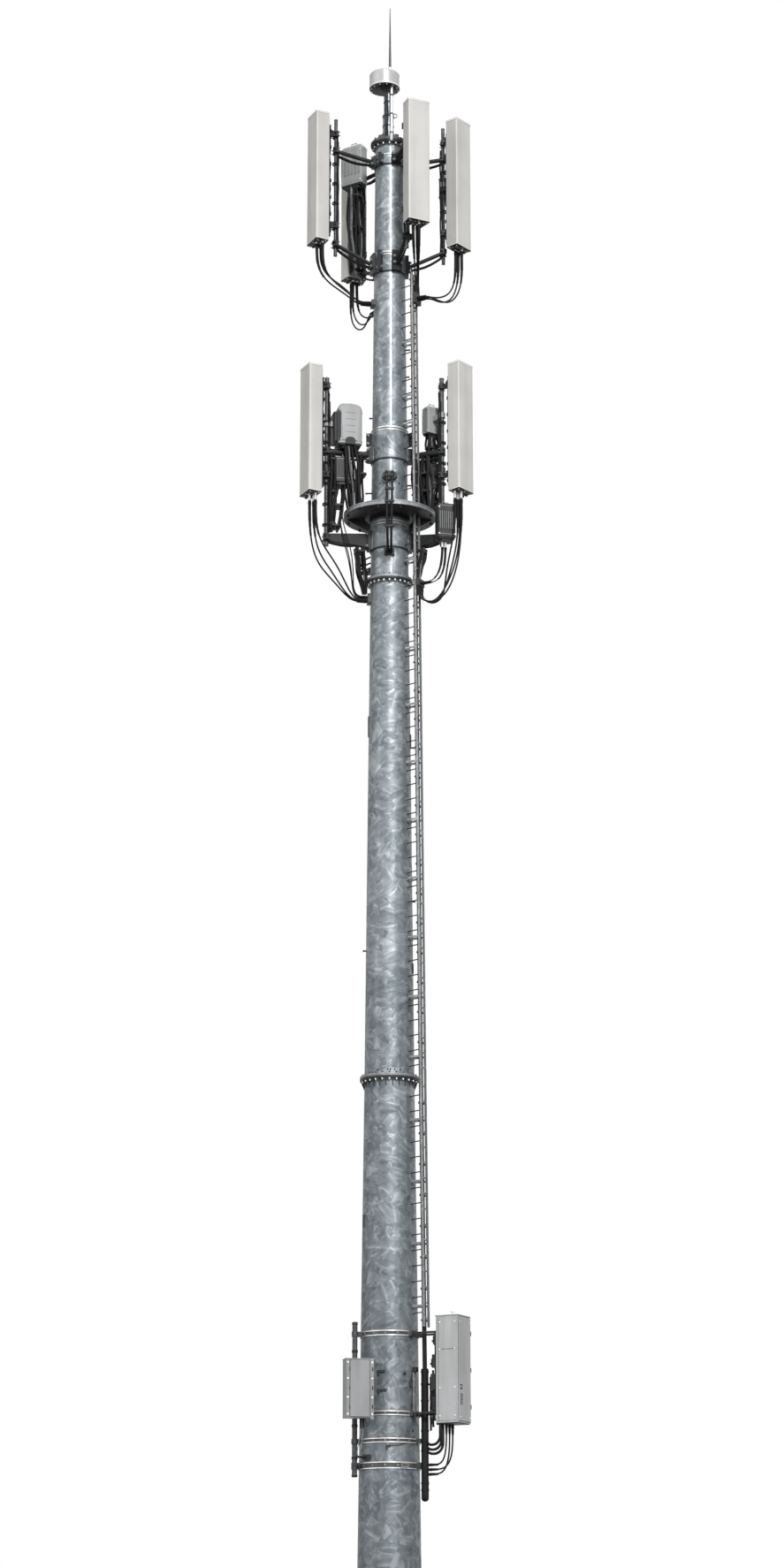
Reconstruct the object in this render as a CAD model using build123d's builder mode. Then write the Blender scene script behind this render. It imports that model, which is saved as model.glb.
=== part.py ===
"""A 30 m tapered steel monopole that carries two tiers of panel antennas.

The origin is the centre of the underside of the base flange, +Z runs up the pole and -Y is its front.
Every length is in millimetres, every angle is in degrees counted from +X towards +Y, and a height
is counted from the underside of the base flange.
"""
import os
from math import atan2, cos, degrees, hypot, radians, sin, tan

from build123d import *

SEAT_GAP = 0.3

# Pole: three tapered tubes, bolted together at ring flanges
LOWER_SECTION_LENGTH = 11335.0
MIDDLE_SECTION_LENGTH = 8225.0
UPPER_SECTION_LENGTH = 7830.0
FIRST_JOINT_HEIGHT = LOWER_SECTION_LENGTH
SECOND_JOINT_HEIGHT = FIRST_JOINT_HEIGHT + MIDDLE_SECTION_LENGTH
POLE_TOP_HEIGHT = SECOND_JOINT_HEIGHT + UPPER_SECTION_LENGTH
POLE_BASE_RADIUS = 530.0
FIRST_JOINT_RADIUS = 392.0
SECOND_JOINT_RADIUS = 312.0
POLE_TOP_RADIUS = 238.0
LOWER_WALL = 12.0
MIDDLE_WALL = 10.0
UPPER_WALL = 8.0
JOINT_FLANGE_LIP = 68.0
JOINT_FLANGE_THICKNESS = 36.0

# Base flange with its ring of anchor holes and gussets
BASE_FLANGE_RADIUS = 740.0
BASE_FLANGE_THICKNESS = 60.0
BASE_ENTRY_RADIUS = 380.0
ANCHOR_COUNT = 16
ANCHOR_CIRCLE_RADIUS = 655.0
ANCHOR_HOLE_RADIUS = 24.0
GUSSET_HEIGHT = 320.0
GUSSET_THICKNESS = 20.0
GUSSET_TOE = 40.0
GUSSET_EDGE_INSET = 25.0

# Head of the pole
CAP_RADIUS = 322.0
CAP_THICKNESS = 50.0
MAST_SHIFT = -24.0
MAST_RADIUS = 92.0
MAST_NECK_RADIUS = 74.0
MAST_STEP_HEIGHT = 520.0
MAST_HEIGHT = 1030.0
MAST_PLATE_RADIUS = 165.0
MAST_PLATE_THICKNESS = 26.0
DRUM_SHIFT = -86.0
DRUM_RADIUS = 256.0
DRUM_HEIGHT = 285.0
DRUM_TOP_FILLET = 45.0
CAP_CHAMFER = 6.0
ROD_SHIFT = 6.0
ROD_BASE_RADIUS = 25.0
ROD_TIP_RADIUS = 6.0
ROD_HEIGHT = 1245.0
CONDUIT_SHIFT = 34.0
CONDUIT_RADIUS = 24.0

# Clamp collars, and the pads and clamps of the arms that they carry
COLLAR_WALL = 16.0
BOSS_REACH = 44.0
BOSS_WIDTH = 170.0
PAD_THICKNESS = 22.0
CLAMP_WALL = 18.0
CLAMP_HEIGHT = 136.0
EAR_WIDTH = 60.0
EAR_REACH = 85.0

# Upper tier: two collars, eight arms and four pipes, all set from the pole's top
UPPER_EAR_ANGLES = (60.0, 240.0)
UPPER_PIPE_RADIUS = 30.0
UPPER_PIPE_FOOT = POLE_TOP_HEIGHT - 2150.0
UPPER_PIPE_HEAD = POLE_TOP_HEIGHT + 330.0
UPPER_ARM_RADIUS = 36.0
UPPER_HIGH_COLLAR_FOOT = POLE_TOP_HEIGHT - 430.0
UPPER_HIGH_COLLAR_HEIGHT = 190.0
UPPER_HIGH_ARM_RISE = 100.0
UPPER_LOW_COLLAR_FOOT = POLE_TOP_HEIGHT - 2400.0
UPPER_LOW_COLLAR_HEIGHT = 360.0
UPPER_LOW_ARM_RISE = 270.0
UPPER_PANEL_HEAD = POLE_TOP_HEIGHT + 360.0

# Lower tier: two collars, six arms and three pipes, all set from the second joint
LOWER_EAR_ANGLES = (8.0, 172.0)
LOWER_EAR_MIDDLE = SECOND_JOINT_HEIGHT + 2520.0
LOWER_EAR_HEIGHT = 220.0
LOWER_PIPE_RADIUS = 38.0
LOWER_PIPE_FOOT = SECOND_JOINT_HEIGHT + 560.0
LOWER_PIPE_HEAD = SECOND_JOINT_HEIGHT + 3480.0
LOWER_ARM_RADIUS = 56.0
LOWER_HIGH_COLLAR_FOOT = SECOND_JOINT_HEIGHT + 2080.0
LOWER_HIGH_COLLAR_HEIGHT = 560.0
LOWER_HIGH_ARM_LIFT = 115.0
LOWER_LOW_COLLAR_FOOT = SECOND_JOINT_HEIGHT + 530.0
LOWER_LOW_COLLAR_HEIGHT = 470.0
LOWER_LOW_ARM_LIFT = 165.0
LOWER_LOW_ARM_ROOT = 230.0
LOWER_LOW_ARM_TIP = 116.0
LOWER_LOW_ARM_WIDTH = 92.0
LOWER_PANEL_HEAD = SECOND_JOINT_HEIGHT + 3640.0

# Cable platform around the pole, between the two collars of the lower tier
PLATFORM_FOOT = SECOND_JOINT_HEIGHT + 1105.0
PLATFORM_RADIUS = 752.0
PLATFORM_OPENING_RADIUS = 405.0
PLATFORM_PLATE = 12.0
PLATFORM_RIM_HEIGHT = 74.0
PLATFORM_RIM_WALL = 10.0
GUSSET_PLATE = 14.0
GUSSET_ROOT_HEIGHT = 130.0
GUSSET_REACH = 690.0
SLOT_HALF_WIDTH = 130.0
SLOT_OUTER_RADIUS = 590.0

# Panel antennas
PANEL_WIDTH = 400.0
PANEL_BACK_WIDTH = 352.0
PANEL_DEPTH = 240.0
PANEL_FRONT_FILLET = 24.0
CONNECTOR_RADIUS = 17.0
CONNECTOR_LENGTH = 55.0
CONNECTOR_PITCH = 72.0
BRACKET_BAR_WIDTH = 84.0
BRACKET_BAR_HEIGHT = 60.0
BRACKET_END_INSET = 330.0

# Cable ladder that runs up the pole, and the feeders on it
LADDER_ANGLE = -28.0
LADDER_STANDOFF = 200.0
LADDER_FOOT = 7460.0
LADDER_HEAD = UPPER_LOW_COLLAR_FOOT - 30.0
STRINGER_SPACING = 150.0
STRINGER_WIDTH = 18.0
STRINGER_DEPTH = 36.0
RUNG_PITCH = 240.0
RUNG_SIZE = 20.0
RUNG_INSET = 12.0
STANDOFF_PLATE = 8.0
STANDOFF_PLATE_HEIGHT = 70.0
STANDOFF_BAR = 30.0
STANDOFF_PITCH = 960.0
STANDOFF_INSET = 320.0
FEEDER_RADIUS = 14.0
FEEDER_COUNT = 4
FEEDER_PITCH = 30.0
FEEDER_FOOT = 6830.0
SPLICE_GAP = 4.0

# Glands, and the blocks, ports and hood that the free cables come out of or end in
GLAND_RADIUS = 19.0
GLAND_LENGTH = 45.0
GLAND_PITCH = 52.0
GLAND_MARGIN = 29.0
GLAND_COUNT = 3
UPPER_BLOCK_HEIGHT = UPPER_LOW_COLLAR_FOOT - 510.0
LOWER_BLOCK_HEIGHT = SECOND_JOINT_HEIGHT - 90.0
BLOCK_WIDTH = 200.0
UPPER_BLOCK_TALL = 180.0
LOWER_BLOCK_TALL = 120.0
LOWER_BLOCK_PITCH = 48.0
LOWER_BLOCK_COUNT = 4
BLOCK_DEPTH = 60.0
PORT_REACH = 50.0
HOOD_HEIGHT = PLATFORM_FOOT + 645.0
HOOD_WIDTH = 250.0
HOOD_TALL = 150.0
HOOD_REACH = 70.0
FRONT_GLAND_RADIUS = 26.0
HOOD_GLAND_PITCH = 100.0
TERMINAL_GLAND_PITCH = 56.0
THIN_GLAND_RADIUS = 12.0

# Radio units on the pipes
RADIO_PLATE = 10.0
RADIO_FILLET = 30.0
RADIO_CLAMP_HEIGHT = 90.0

# Bands around the pole's foot, and what they carry
BAND_WALL = 10.0
BAND_BOSS_REACH = 30.0
TOP_BAND = (7320.0, 7400.0)
FRAME_BAND = (6120.0, 6190.0)
MIDDLE_BAND = (5715.0, 5785.0)
FOOT_BAND = (5330.0, 5430.0)
BAND_ROOT = 60.0
FRAME_WIDTH = 330.0
FRAME_BAR = 30.0
FRAME_PLATE = 12.0
CABINET_WIDTH = 420.0
CABINET_DEPTH = 374.0
CABINET_BACK = 904.0
CABINET_FOOT = 5990.0
CABINET_HEAD = 7585.0
CABINET_FILLET = 12.0
CABINET_GLAND_INSET = 124.7
CABINET_GLAND_PITCH = 104.0
EQUIPMENT_PIPE = (-527.0, -200.0)
EQUIPMENT_PIPE_RADIUS = 40.0
EQUIPMENT_PIPE_FOOT = 5250.0
EQUIPMENT_PIPE_HEAD = 7500.0
BOX_FACING = -78.0
BOX_STANDOFF = 290.0
BOX_SIDE_SHIFT = 31.0
BOX_WIDTH = 430.0
BOX_DEPTH = 250.0
BOX_FOOT = 6060.0
BOX_HEAD = 6930.0
BOX_CLAMP_HEIGHTS = (6230.0, 6690.0)
BOX_GLAND_SHIFT = -29.0
BOX_GLAND_PITCH = 40.0
BOX_GLAND_LENGTH = 30.0
CLOSURE_RADIUS = 56.0
CLOSURE_FOOT = 4850.0
CLOSURE_GAP = 3.0
CLOSURE_ROUND = 50.0
CLOSURE_GLAND_HEIGHT = 5320.0
CLOSURE_GLAND_PITCH = 70.0


class Sector:
    """Where one antenna's pipe stands, which way the antenna faces, and where its arms start."""

    def __init__(self, name, pipe_x, pipe_y, facing, standoff, length, arm_angle=None):
        self.name = name
        self.pipe = (pipe_x, pipe_y)
        self.facing = facing
        self.standoff = standoff
        self.length = length
        self.arm_angle = degrees(atan2(pipe_y, pipe_x)) if arm_angle is None else arm_angle


class Radio:
    """A radio unit that is clamped beside a pipe.

    It stands at an angle from its pipe, its near face so far off, and has its depth, width and height.
    """

    def __init__(self, name, sector, angle, near, depth, width, foot, height, top_radius):
        self.name = name
        self.sector = sector
        self.angle = angle
        self.near = near
        self.depth = depth
        self.width = width
        self.foot = foot
        self.head = foot + height
        self.top_radius = top_radius


UPPER_SECTORS = (
    Sector("left", -907.0, -310.0, 205.5, 320.0, 2340.0),
    Sector("front", 289.0, -632.0, -62.0, 320.0, 2190.0),
    Sector("right", 904.0, 18.0, -38.0, 320.0, 2330.0),
    Sector("back", -475.0, 810.0, 115.0, 320.0, 2330.0),
)
LOWER_SECTORS = (
    Sector("left", -1034.0, -267.0, 205.5, 280.0, 2230.0),
    Sector("right", 861.0, -245.0, -38.0, 380.0, 2230.0, arm_angle=-3.0),
    Sector("back", 0.0, 960.0, 90.0, 320.0, 2230.0),
)

UPPER_RADIOS = (
    Radio(
        "upper_radio_back", UPPER_SECTORS[3], 237.0, 150.0, 200.0, 420.0,
        POLE_TOP_HEIGHT - 440.0, 750.0, 90.0,
    ),
    Radio(
        "upper_radio_right", UPPER_SECTORS[2], 75.0, 90.0, 120.0, 200.0,
        POLE_TOP_HEIGHT - 890.0, 380.0, 20.0,
    ),
)
LOWER_RADIOS = (
    Radio(
        "lower_radio_left", LOWER_SECTORS[0], 12.4, 160.0, 400.0, 360.0,
        PLATFORM_FOOT + 1200.0, 745.0, 150.0,
    ),
    Radio(
        "lower_filter_left", LOWER_SECTORS[0], 10.0, 130.0, 260.0, 200.0,
        PLATFORM_FOOT + 555.0, 430.0, 20.0,
    ),
    Radio(
        "lower_radio_right", LOWER_SECTORS[1], 125.0, 200.0, 180.0, 270.0,
        PLATFORM_FOOT + 1485.0, 490.0, 60.0,
    ),
    Radio(
        "lower_filter_right", LOWER_SECTORS[1], 118.0, 190.0, 160.0, 240.0,
        PLATFORM_FOOT + 565.0, 400.0, 20.0,
    ),
    Radio(
        "lower_radio_outer", LOWER_SECTORS[1], -75.0, 75.0, 210.0, 300.0,
        PLATFORM_FOOT - 485.0, 580.0, 20.0,
    ),
)


class Port:
    """A cable entry on the pole: the angle and height that it stands at, and its rows of glands."""

    def __init__(self, angle, height, columns, rows=1, pitch=GLAND_PITCH, gland_radius=GLAND_RADIUS):
        self.angle = angle
        self.height = height
        self.columns = columns
        self.rows = rows
        self.pitch = pitch
        self.gland_radius = gland_radius
        self.width = (columns - 1) * pitch + 2 * (gland_radius + GLAND_MARGIN)
        self.tall = (rows - 1) * pitch + 2 * (gland_radius + GLAND_MARGIN)


PORTS = (
    Port(188.0, UPPER_BLOCK_HEIGHT, 3),
    Port(126.0, UPPER_BLOCK_HEIGHT, 3),
    Port(150.0, SECOND_JOINT_HEIGHT + 250.0, 3),
    Port(186.0, SECOND_JOINT_HEIGHT - 290.0, 3, rows=2),
    Port(
        -90.0, SECOND_JOINT_HEIGHT + 430.0, 2,
        pitch=TERMINAL_GLAND_PITCH, gland_radius=FRONT_GLAND_RADIUS,
    ),
    Port(225.0, FOOT_BAND[1] + 70.0, 2, gland_radius=THIN_GLAND_RADIUS),
)


# Free cables: the diameters, and each one's route from the point it leaves to the point it enters
JUMPER_DIAMETER = 28.0
THIN_JUMPER_DIAMETER = 18.0
FRONT_CABLE_DIAMETER = 40.0
CABINET_CABLE_DIAMETER = 26.0
SERVICE_CABLE_DIAMETER = 14.0
CORNER_SHARE = 0.45
CABLE_END_GAP = 0.2

# From the upper left and back antennas to the ports at 188 and 126 degrees
UPPER_LEFT_ROUTES = (
    (JUMPER_DIAMETER, (
        (-1212.8, -495.8, 25355), (-1212.8, -495.8, 25205), (-1196, -484, 25010),
        (-1128, -450, 24830), (-1000, -395, 24700), (-835, -315, 24610), (-675, -190, 24540),
        (-512.7, -19.6, 24480), (-364.2, 1.3, 24480),
    )),
    (JUMPER_DIAMETER, (
        (-1147.8, -464.8, 25355), (-1147.8, -464.8, 25220), (-1136, -456, 25050),
        (-1076, -430, 24890), (-955, -385, 24775), (-800, -315, 24690), (-650, -210, 24590),
        (-505.5, -71.1, 24480), (-357, -50.2, 24480),
    )),
    (JUMPER_DIAMETER, (
        (-1116.8, -529.7, 25355), (-1116.8, -529.7, 25200), (-1104, -526, 25000),
        (-1040, -506, 24820), (-915, -462, 24690), (-760, -390, 24590), (-630, -280, 24520),
        (-498.3, -122.6, 24480), (-349.8, -101.7, 24480),
    )),
    (JUMPER_DIAMETER, (
        (-658.1, 1117.4, 25365), (-658.1, 1117.4, 25190), (-668, 1095, 24980), (-662, 1045, 24760),
        (-628, 955, 24560), (-560, 850, 24415), (-470, 720, 24345), (-395, 560, 24375),
        (-342.2, 382.5, 24480), (-254, 261.1, 24480),
    )),
    (JUMPER_DIAMETER, (
        (-627.7, 1052.2, 25365), (-627.7, 1052.2, 25200), (-632, 1032, 25010), (-622, 980, 24810),
        (-582, 895, 24620), (-512, 785, 24480), (-430, 665, 24410), (-365, 540, 24425),
        (-300.1, 413.1, 24480), (-211.9, 291.7, 24480),
    )),
    (JUMPER_DIAMETER, (
        (-562.4, 1082.6, 25365), (-562.4, 1082.6, 25220), (-556, 1060, 25050), (-540, 1005, 24880),
        (-505, 915, 24730), (-445, 805, 24620), (-375, 690, 24550), (-312, 580, 24515),
        (-258, 443.6, 24480), (-169.8, 322.2, 24480),
    )),
)
# From the upper front and right antennas to the upper block
UPPER_RIGHT_ROUTES = (
    (JUMPER_DIAMETER, (
        (390.5, -899.7, 25505), (390.5, -899.7, 25390), (394, -860, 25270), (400, -780, 25165),
        (407, -670, 25085), (414, -545, 25010), (421, -425, 24930), (427, -335, 24835),
        (430, -287.5, 24715), (430, -287.5, 24615),
    )),
    (JUMPER_DIAMETER, (
        (454.1, -865.9, 25505), (454.1, -865.9, 25390), (457, -825, 25270), (459, -744, 25165),
        (460, -632, 25090), (460, -504, 25015), (458, -382, 24930), (456, -290, 24835),
        (454.4, -241.6, 24715), (454.4, -241.6, 24615),
    )),
    (JUMPER_DIAMETER, (
        (487.9, -929.4, 25505), (487.9, -929.4, 25390), (487, -882, 25265), (486, -786, 25155),
        (485, -654, 25070), (483, -503, 24995), (481, -361, 24920), (480, -253, 24830),
        (478.8, -195.7, 24715), (478.8, -195.7, 24615),
    )),
    (JUMPER_DIAMETER, (
        (1206.7, -172.8, 25365), (1206.7, -172.8, 25190), (1208, -182, 24980), (1190, -200, 24770),
        (1140, -232, 24580), (1050, -282, 24430), (925, -340, 24370), (785, -395, 24400),
        (628.6, -393.1, 24480), (496.2, -322.7, 24480),
    )),
    (JUMPER_DIAMETER, (
        (1105.6, -185.2, 25365), (1105.6, -185.2, 25200), (1102, -194, 25000), (1080, -210, 24800),
        (1026, -240, 24630), (935, -280, 24520), (800, -325, 24465), (644.2, -342.5, 24480),
        (520.6, -276.8, 24480),
    )),
    (JUMPER_DIAMETER, (
        (1150, -128.5, 25365), (1150, -128.5, 25195), (1148, -138, 24990), (1128, -152, 24780),
        (1078, -178, 24590), (985, -215, 24450), (835, -262, 24410), (668.6, -296.6, 24480),
        (545, -230.9, 24480),
    )),
)
# From the lower left antenna, the left filter and the back antenna to the ports at 186 and 150 degrees
LOWER_LEFT_ROUTES = (
    (JUMPER_DIAMETER, (
        (-1303.7, -435.5, 20915), (-1303.7, -435.5, 20720), (-1300, -430, 20470),
        (-1282, -420, 20210), (-1236, -395, 19970), (-1150, -350, 19770), (-1020, -285, 19620),
        (-870, -200, 19475), (-720, -95, 19330), (-577.1, -8.3, 19244), (-413, 8.9, 19244),
    )),
    (JUMPER_DIAMETER, (
        (-1238.7, -404.5, 20915), (-1238.7, -404.5, 20720), (-1236, -398, 20490),
        (-1216, -388, 20250), (-1165, -365, 20030), (-1075, -325, 19850), (-950, -268, 19680),
        (-825, -200, 19500), (-700, -120, 19335), (-566.7, -59.5, 19244), (-407.6, -42.8, 19244),
    )),
    (JUMPER_DIAMETER, (
        (-1207.7, -469.5, 20915), (-1207.7, -469.5, 20740), (-1203, -464, 20540),
        (-1178, -450, 20340), (-1120, -420, 20160), (-1025, -372, 20000), (-915, -320, 19850),
        (-810, -268, 19680), (-720, -215, 19500), (-635, -160, 19340), (-541.3, -109.2, 19244),
        (-402.1, -94.6, 19244),
    )),
    (THIN_JUMPER_DIAMETER, (
        (-769, -273.1, 21175), (-769, -273.1, 21020), (-779, -298, 20790), (-770, -310, 20560),
        (-720, -306, 20350), (-660, -288, 20160), (-617, -262, 19960), (-597, -235, 19760),
        (-588, -205, 19590), (-590, -172, 19430), (-531.4, -108.2, 19296), (-402.1, -94.6, 19296),
    )),
    (THIN_JUMPER_DIAMETER, (
        (-778, -221.9, 21175), (-778, -221.9, 21020), (-800, -262, 20790), (-808, -290, 20560),
        (-775, -298, 20340), (-715, -284, 20140), (-662, -256, 19950), (-630, -215, 19760),
        (-612, -165, 19590), (-598, -115, 19430), (-536.9, -56.4, 19296), (-407.6, -42.8, 19296),
    )),
    (THIN_JUMPER_DIAMETER, (
        (-787, -170.7, 21175), (-787, -170.7, 21020), (-803, -138, 20790), (-806, -116, 20560),
        (-776, -100, 20340), (-722, -90, 20140), (-674, -78, 19950), (-640, -60, 19760),
        (-618, -42, 19590), (-603, -25, 19430), (-542.3, -4.7, 19296), (-413, 8.9, 19296),
    )),
    (JUMPER_DIAMETER, (
        (-36, 1244, 20915), (-36, 1244, 20770), (-78, 1210, 20600), (-150, 1135, 20480),
        (-240, 1025, 20400), (-330, 895, 20330), (-410, 760, 20240), (-468, 632, 20120),
        (-506, 480, 19925), (-454.3, 322.4, 19810), (-324.4, 247.4, 19810),
    )),
    (JUMPER_DIAMETER, (
        (36, 1244, 20915), (36, 1244, 20750), (5, 1215, 20570), (-62, 1150, 20430),
        (-155, 1060, 20330), (-255, 945, 20260), (-350, 815, 20190), (-430, 680, 20090),
        (-490, 550, 19970), (-522, 418, 19862), (-480.3, 277.3, 19810), (-350.4, 202.3, 19810),
    )),
    (JUMPER_DIAMETER, (
        (108, 1244, 20915), (108, 1244, 20740), (70, 1205, 20560), (-8, 1145, 20400),
        (-110, 1060, 20280), (-222, 945, 20190), (-325, 810, 20110), (-415, 670, 20020),
        (-490, 525, 19920), (-540, 375, 19845), (-506.3, 232.3, 19810), (-376.4, 157.3, 19810),
    )),
)
# From the lower right antenna and the outer radio to the lower block
LOWER_RIGHT_ROUTES = (
    (JUMPER_DIAMETER, (
        (1166.6, -529.5, 20915), (1166.6, -529.5, 20730), (1168, -526, 20500), (1160, -516, 20240),
        (1138, -500, 19970), (1096, -476, 19710), (1030, -452, 19480), (940, -428, 19290),
        (830, -405, 19165), (715, -383, 19120), (603, -361, 19127), (512, -340, 19180),
        (462.6, -327.5, 19265), (462.6, -327.5, 19365),
    )),
    (JUMPER_DIAMETER, (
        (1154.2, -428.4, 20915), (1154.2, -428.4, 20740), (1153, -428, 20520), (1142, -420, 20270),
        (1116, -408, 20010), (1068, -392, 19770), (995, -374, 19560), (905, -354, 19365),
        (810, -337, 19220), (713, -321, 19145), (618, -306, 19141), (532, -292.5, 19189),
        (485.2, -285.1, 19272), (485.2, -285.1, 19365),
    )),
    (JUMPER_DIAMETER, (
        (1109.9, -485.2, 20915), (1109.9, -485.2, 20740), (1112, -482, 20540), (1108, -474, 20330),
        (1092, -458, 20120), (1058, -430, 19915), (1005, -398, 19700), (945, -365, 19490),
        (885, -332, 19330), (818, -298, 19215), (738, -273, 19160), (648, -258, 19152),
        (560, -249, 19194), (507.7, -242.8, 19275), (507.7, -242.8, 19365),
    )),
    (JUMPER_DIAMETER, (
        (1065.6, -541.9, 20915), (1065.6, -541.9, 20750), (1064, -545, 20560), (1053, -545, 20360),
        (1030, -530, 20155), (990, -490, 19960), (950, -425, 19770), (920, -362, 19590),
        (900, -310, 19430), (878, -272, 19300), (828, -245, 19205), (750, -226, 19150),
        (660, -213, 19147), (578, -204, 19194), (530.2, -200.4, 19275), (530.2, -200.4, 19365),
    )),
    (THIN_JUMPER_DIAMETER, (
        (857.4, -432.4, 20135), (857.4, -432.4, 20020), (852, -441, 19870), (830, -446, 19700),
        (775, -425, 19550), (677, -359.9, 19470), (562.2, -298.9, 19470),
    )),
    (THIN_JUMPER_DIAMETER, (
        (907.6, -418.9, 20135), (907.6, -418.9, 20010), (904, -430, 19850), (885, -440, 19690),
        (845, -430, 19560), (785, -385, 19485), (688.1, -307, 19470), (586.6, -253, 19470),
    )),
)
# From the hood, over the platform's rim, to the port under the lower tier
FRONT_ROUTES = (
    (FRONT_CABLE_DIAMETER, (
        (-50, -410.5, 21310), (-50, -530, 21310), (-50, -655, 21262), (-49, -745, 21160),
        (-47, -798, 21020), (-45, -822, 20850), (-42, -828, 20650), (-39, -818, 20450),
        (-36, -785, 20275), (-33, -725, 20130), (-30, -635, 20030), (-28, -520, 19990),
        (-28, -403, 19990),
    )),
    (FRONT_CABLE_DIAMETER, (
        (50, -410.5, 21310), (50, -528, 21310), (49, -650, 21265), (46, -744, 21168),
        (43, -802, 21030), (40, -828, 20855), (37, -832, 20650), (34, -820, 20440),
        (31, -782, 20265), (29, -718, 20122), (28, -630, 20028), (28, -520, 19990),
        (28, -403, 19990),
    )),
)
# From the cabinet to the splice closure
CABINET_ROUTES = (
    (CABINET_CABLE_DIAMETER, (
        (908.3, -482.9, 5945), (908.3, -482.9, 5800), (906, -482, 5640), (890, -473, 5480),
        (855, -455, 5350), (796, -423, 5272), (712.1, -378.6, 5250), (628.2, -334, 5250),
    )),
    (CABINET_CABLE_DIAMETER, (
        (957.1, -391.1, 5945), (957.1, -391.1, 5810), (954, -395, 5660), (936, -399, 5520),
        (895, -404, 5405), (818, -404, 5332), (712.1, -378.6, 5320), (628.2, -334, 5320),
    )),
    (CABINET_CABLE_DIAMETER, (
        (859.5, -574.7, 5945), (859.5, -574.7, 5820), (857, -570, 5690), (845, -550, 5570),
        (822, -510, 5475), (780, -448, 5410), (712.1, -378.6, 5390), (628.2, -334, 5390),
    )),
)
# From the service box to the port on the pole
SERVICE_ROUTES = (
    (SERVICE_CABLE_DIAMETER, (
        (-392.8, -595.7, 6030), (-392.8, -595.7, 5930), (-402, -600, 5820), (-418, -596, 5710),
        (-436, -576, 5615), (-445, -535, 5545), (-425.7, -462.5, 5500), (-376.2, -413, 5500),
    )),
    (SERVICE_CABLE_DIAMETER, (
        (-431.9, -604, 6030), (-431.9, -604, 5930), (-442, -604, 5820), (-458, -592, 5710),
        (-478, -566, 5612), (-487, -512, 5538), (-466, -429.2, 5500), (-413, -376.2, 5500),
    )),
)


def save(piece, name):
    """Label a finished piece and write it as its own file."""
    piece.part.label = name
    export_step(piece.part, f"parts/{name}.step")


def pole_radius(height):
    """Outer radius of the pole at a height."""
    stations = (
        (0.0, POLE_BASE_RADIUS),
        (FIRST_JOINT_HEIGHT, FIRST_JOINT_RADIUS),
        (SECOND_JOINT_HEIGHT, SECOND_JOINT_RADIUS),
        (POLE_TOP_HEIGHT, POLE_TOP_RADIUS),
    )
    for (low, low_radius), (high, high_radius) in zip(stations, stations[1:]):
        if height <= high:
            return low_radius + (height - low) / (high - low) * (high_radius - low_radius)
    return POLE_TOP_RADIUS


def around(radius, angle, height=0.0):
    """The point at a radius, an angle and a height around the pole."""
    return Vector(radius * cos(radians(angle)), radius * sin(radians(angle)), height)


def radial_plane(angle):
    """The upright plane through the axis whose x runs outward at an angle and whose y runs up."""
    return Plane(origin=(0, 0, 0), x_dir=around(1, angle), z_dir=around(1, angle - 90))


def facing_plane(angle, point):
    """The level plane at a point whose y looks outward at an angle and whose z runs up."""
    return Plane(origin=point, x_dir=around(1, angle - 90), z_dir=(0, 0, 1))


def outward_plane(angle, point):
    """The upright plane at a point that looks outward at an angle, with its y up."""
    return Plane(origin=point, x_dir=around(1, angle + 90), z_dir=around(1, angle))


def ring_outline(low, high, inner, outer):
    """Corners of a ring's section that follows the pole's taper, inner and outer off its surface."""
    return (
        (pole_radius(low) + inner, low),
        (pole_radius(low) + outer, low),
        (pole_radius(high) + outer, high),
        (pole_radius(high) + inner, high),
    )


def revolve_outline(points, mode=Mode.ADD):
    """Turn a closed outline of (radius, height) corners around the pole's axis."""
    with BuildSketch(Plane.XZ) as outline:
        with BuildLine():
            Polyline(*points, close=True)
        make_face()
    revolve(outline.sketch, axis=Axis.Z, mode=mode)


def pole_section(low, high, wall, low_flange, high_flange):
    """A tapered tube between two heights, with a ring flange at each end that is bolted on."""
    rim_low = pole_radius(low) + JOINT_FLANGE_LIP
    rim_high = pole_radius(high) + JOINT_FLANGE_LIP
    outline = [(pole_radius(low) - wall, low)]
    if low_flange:
        shoulder = low + JOINT_FLANGE_THICKNESS
        outline += [(rim_low, low), (rim_low, shoulder), (pole_radius(shoulder), shoulder)]
    else:
        outline += [(pole_radius(low), low)]
    if high_flange:
        shoulder = high - JOINT_FLANGE_THICKNESS
        outline += [(pole_radius(shoulder), shoulder), (rim_high, shoulder), (rim_high, high)]
    else:
        outline += [(pole_radius(high), high)]
    outline += [(pole_radius(high) - wall, high)]
    with BuildPart() as section:
        revolve_outline(outline)
    return section


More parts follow.
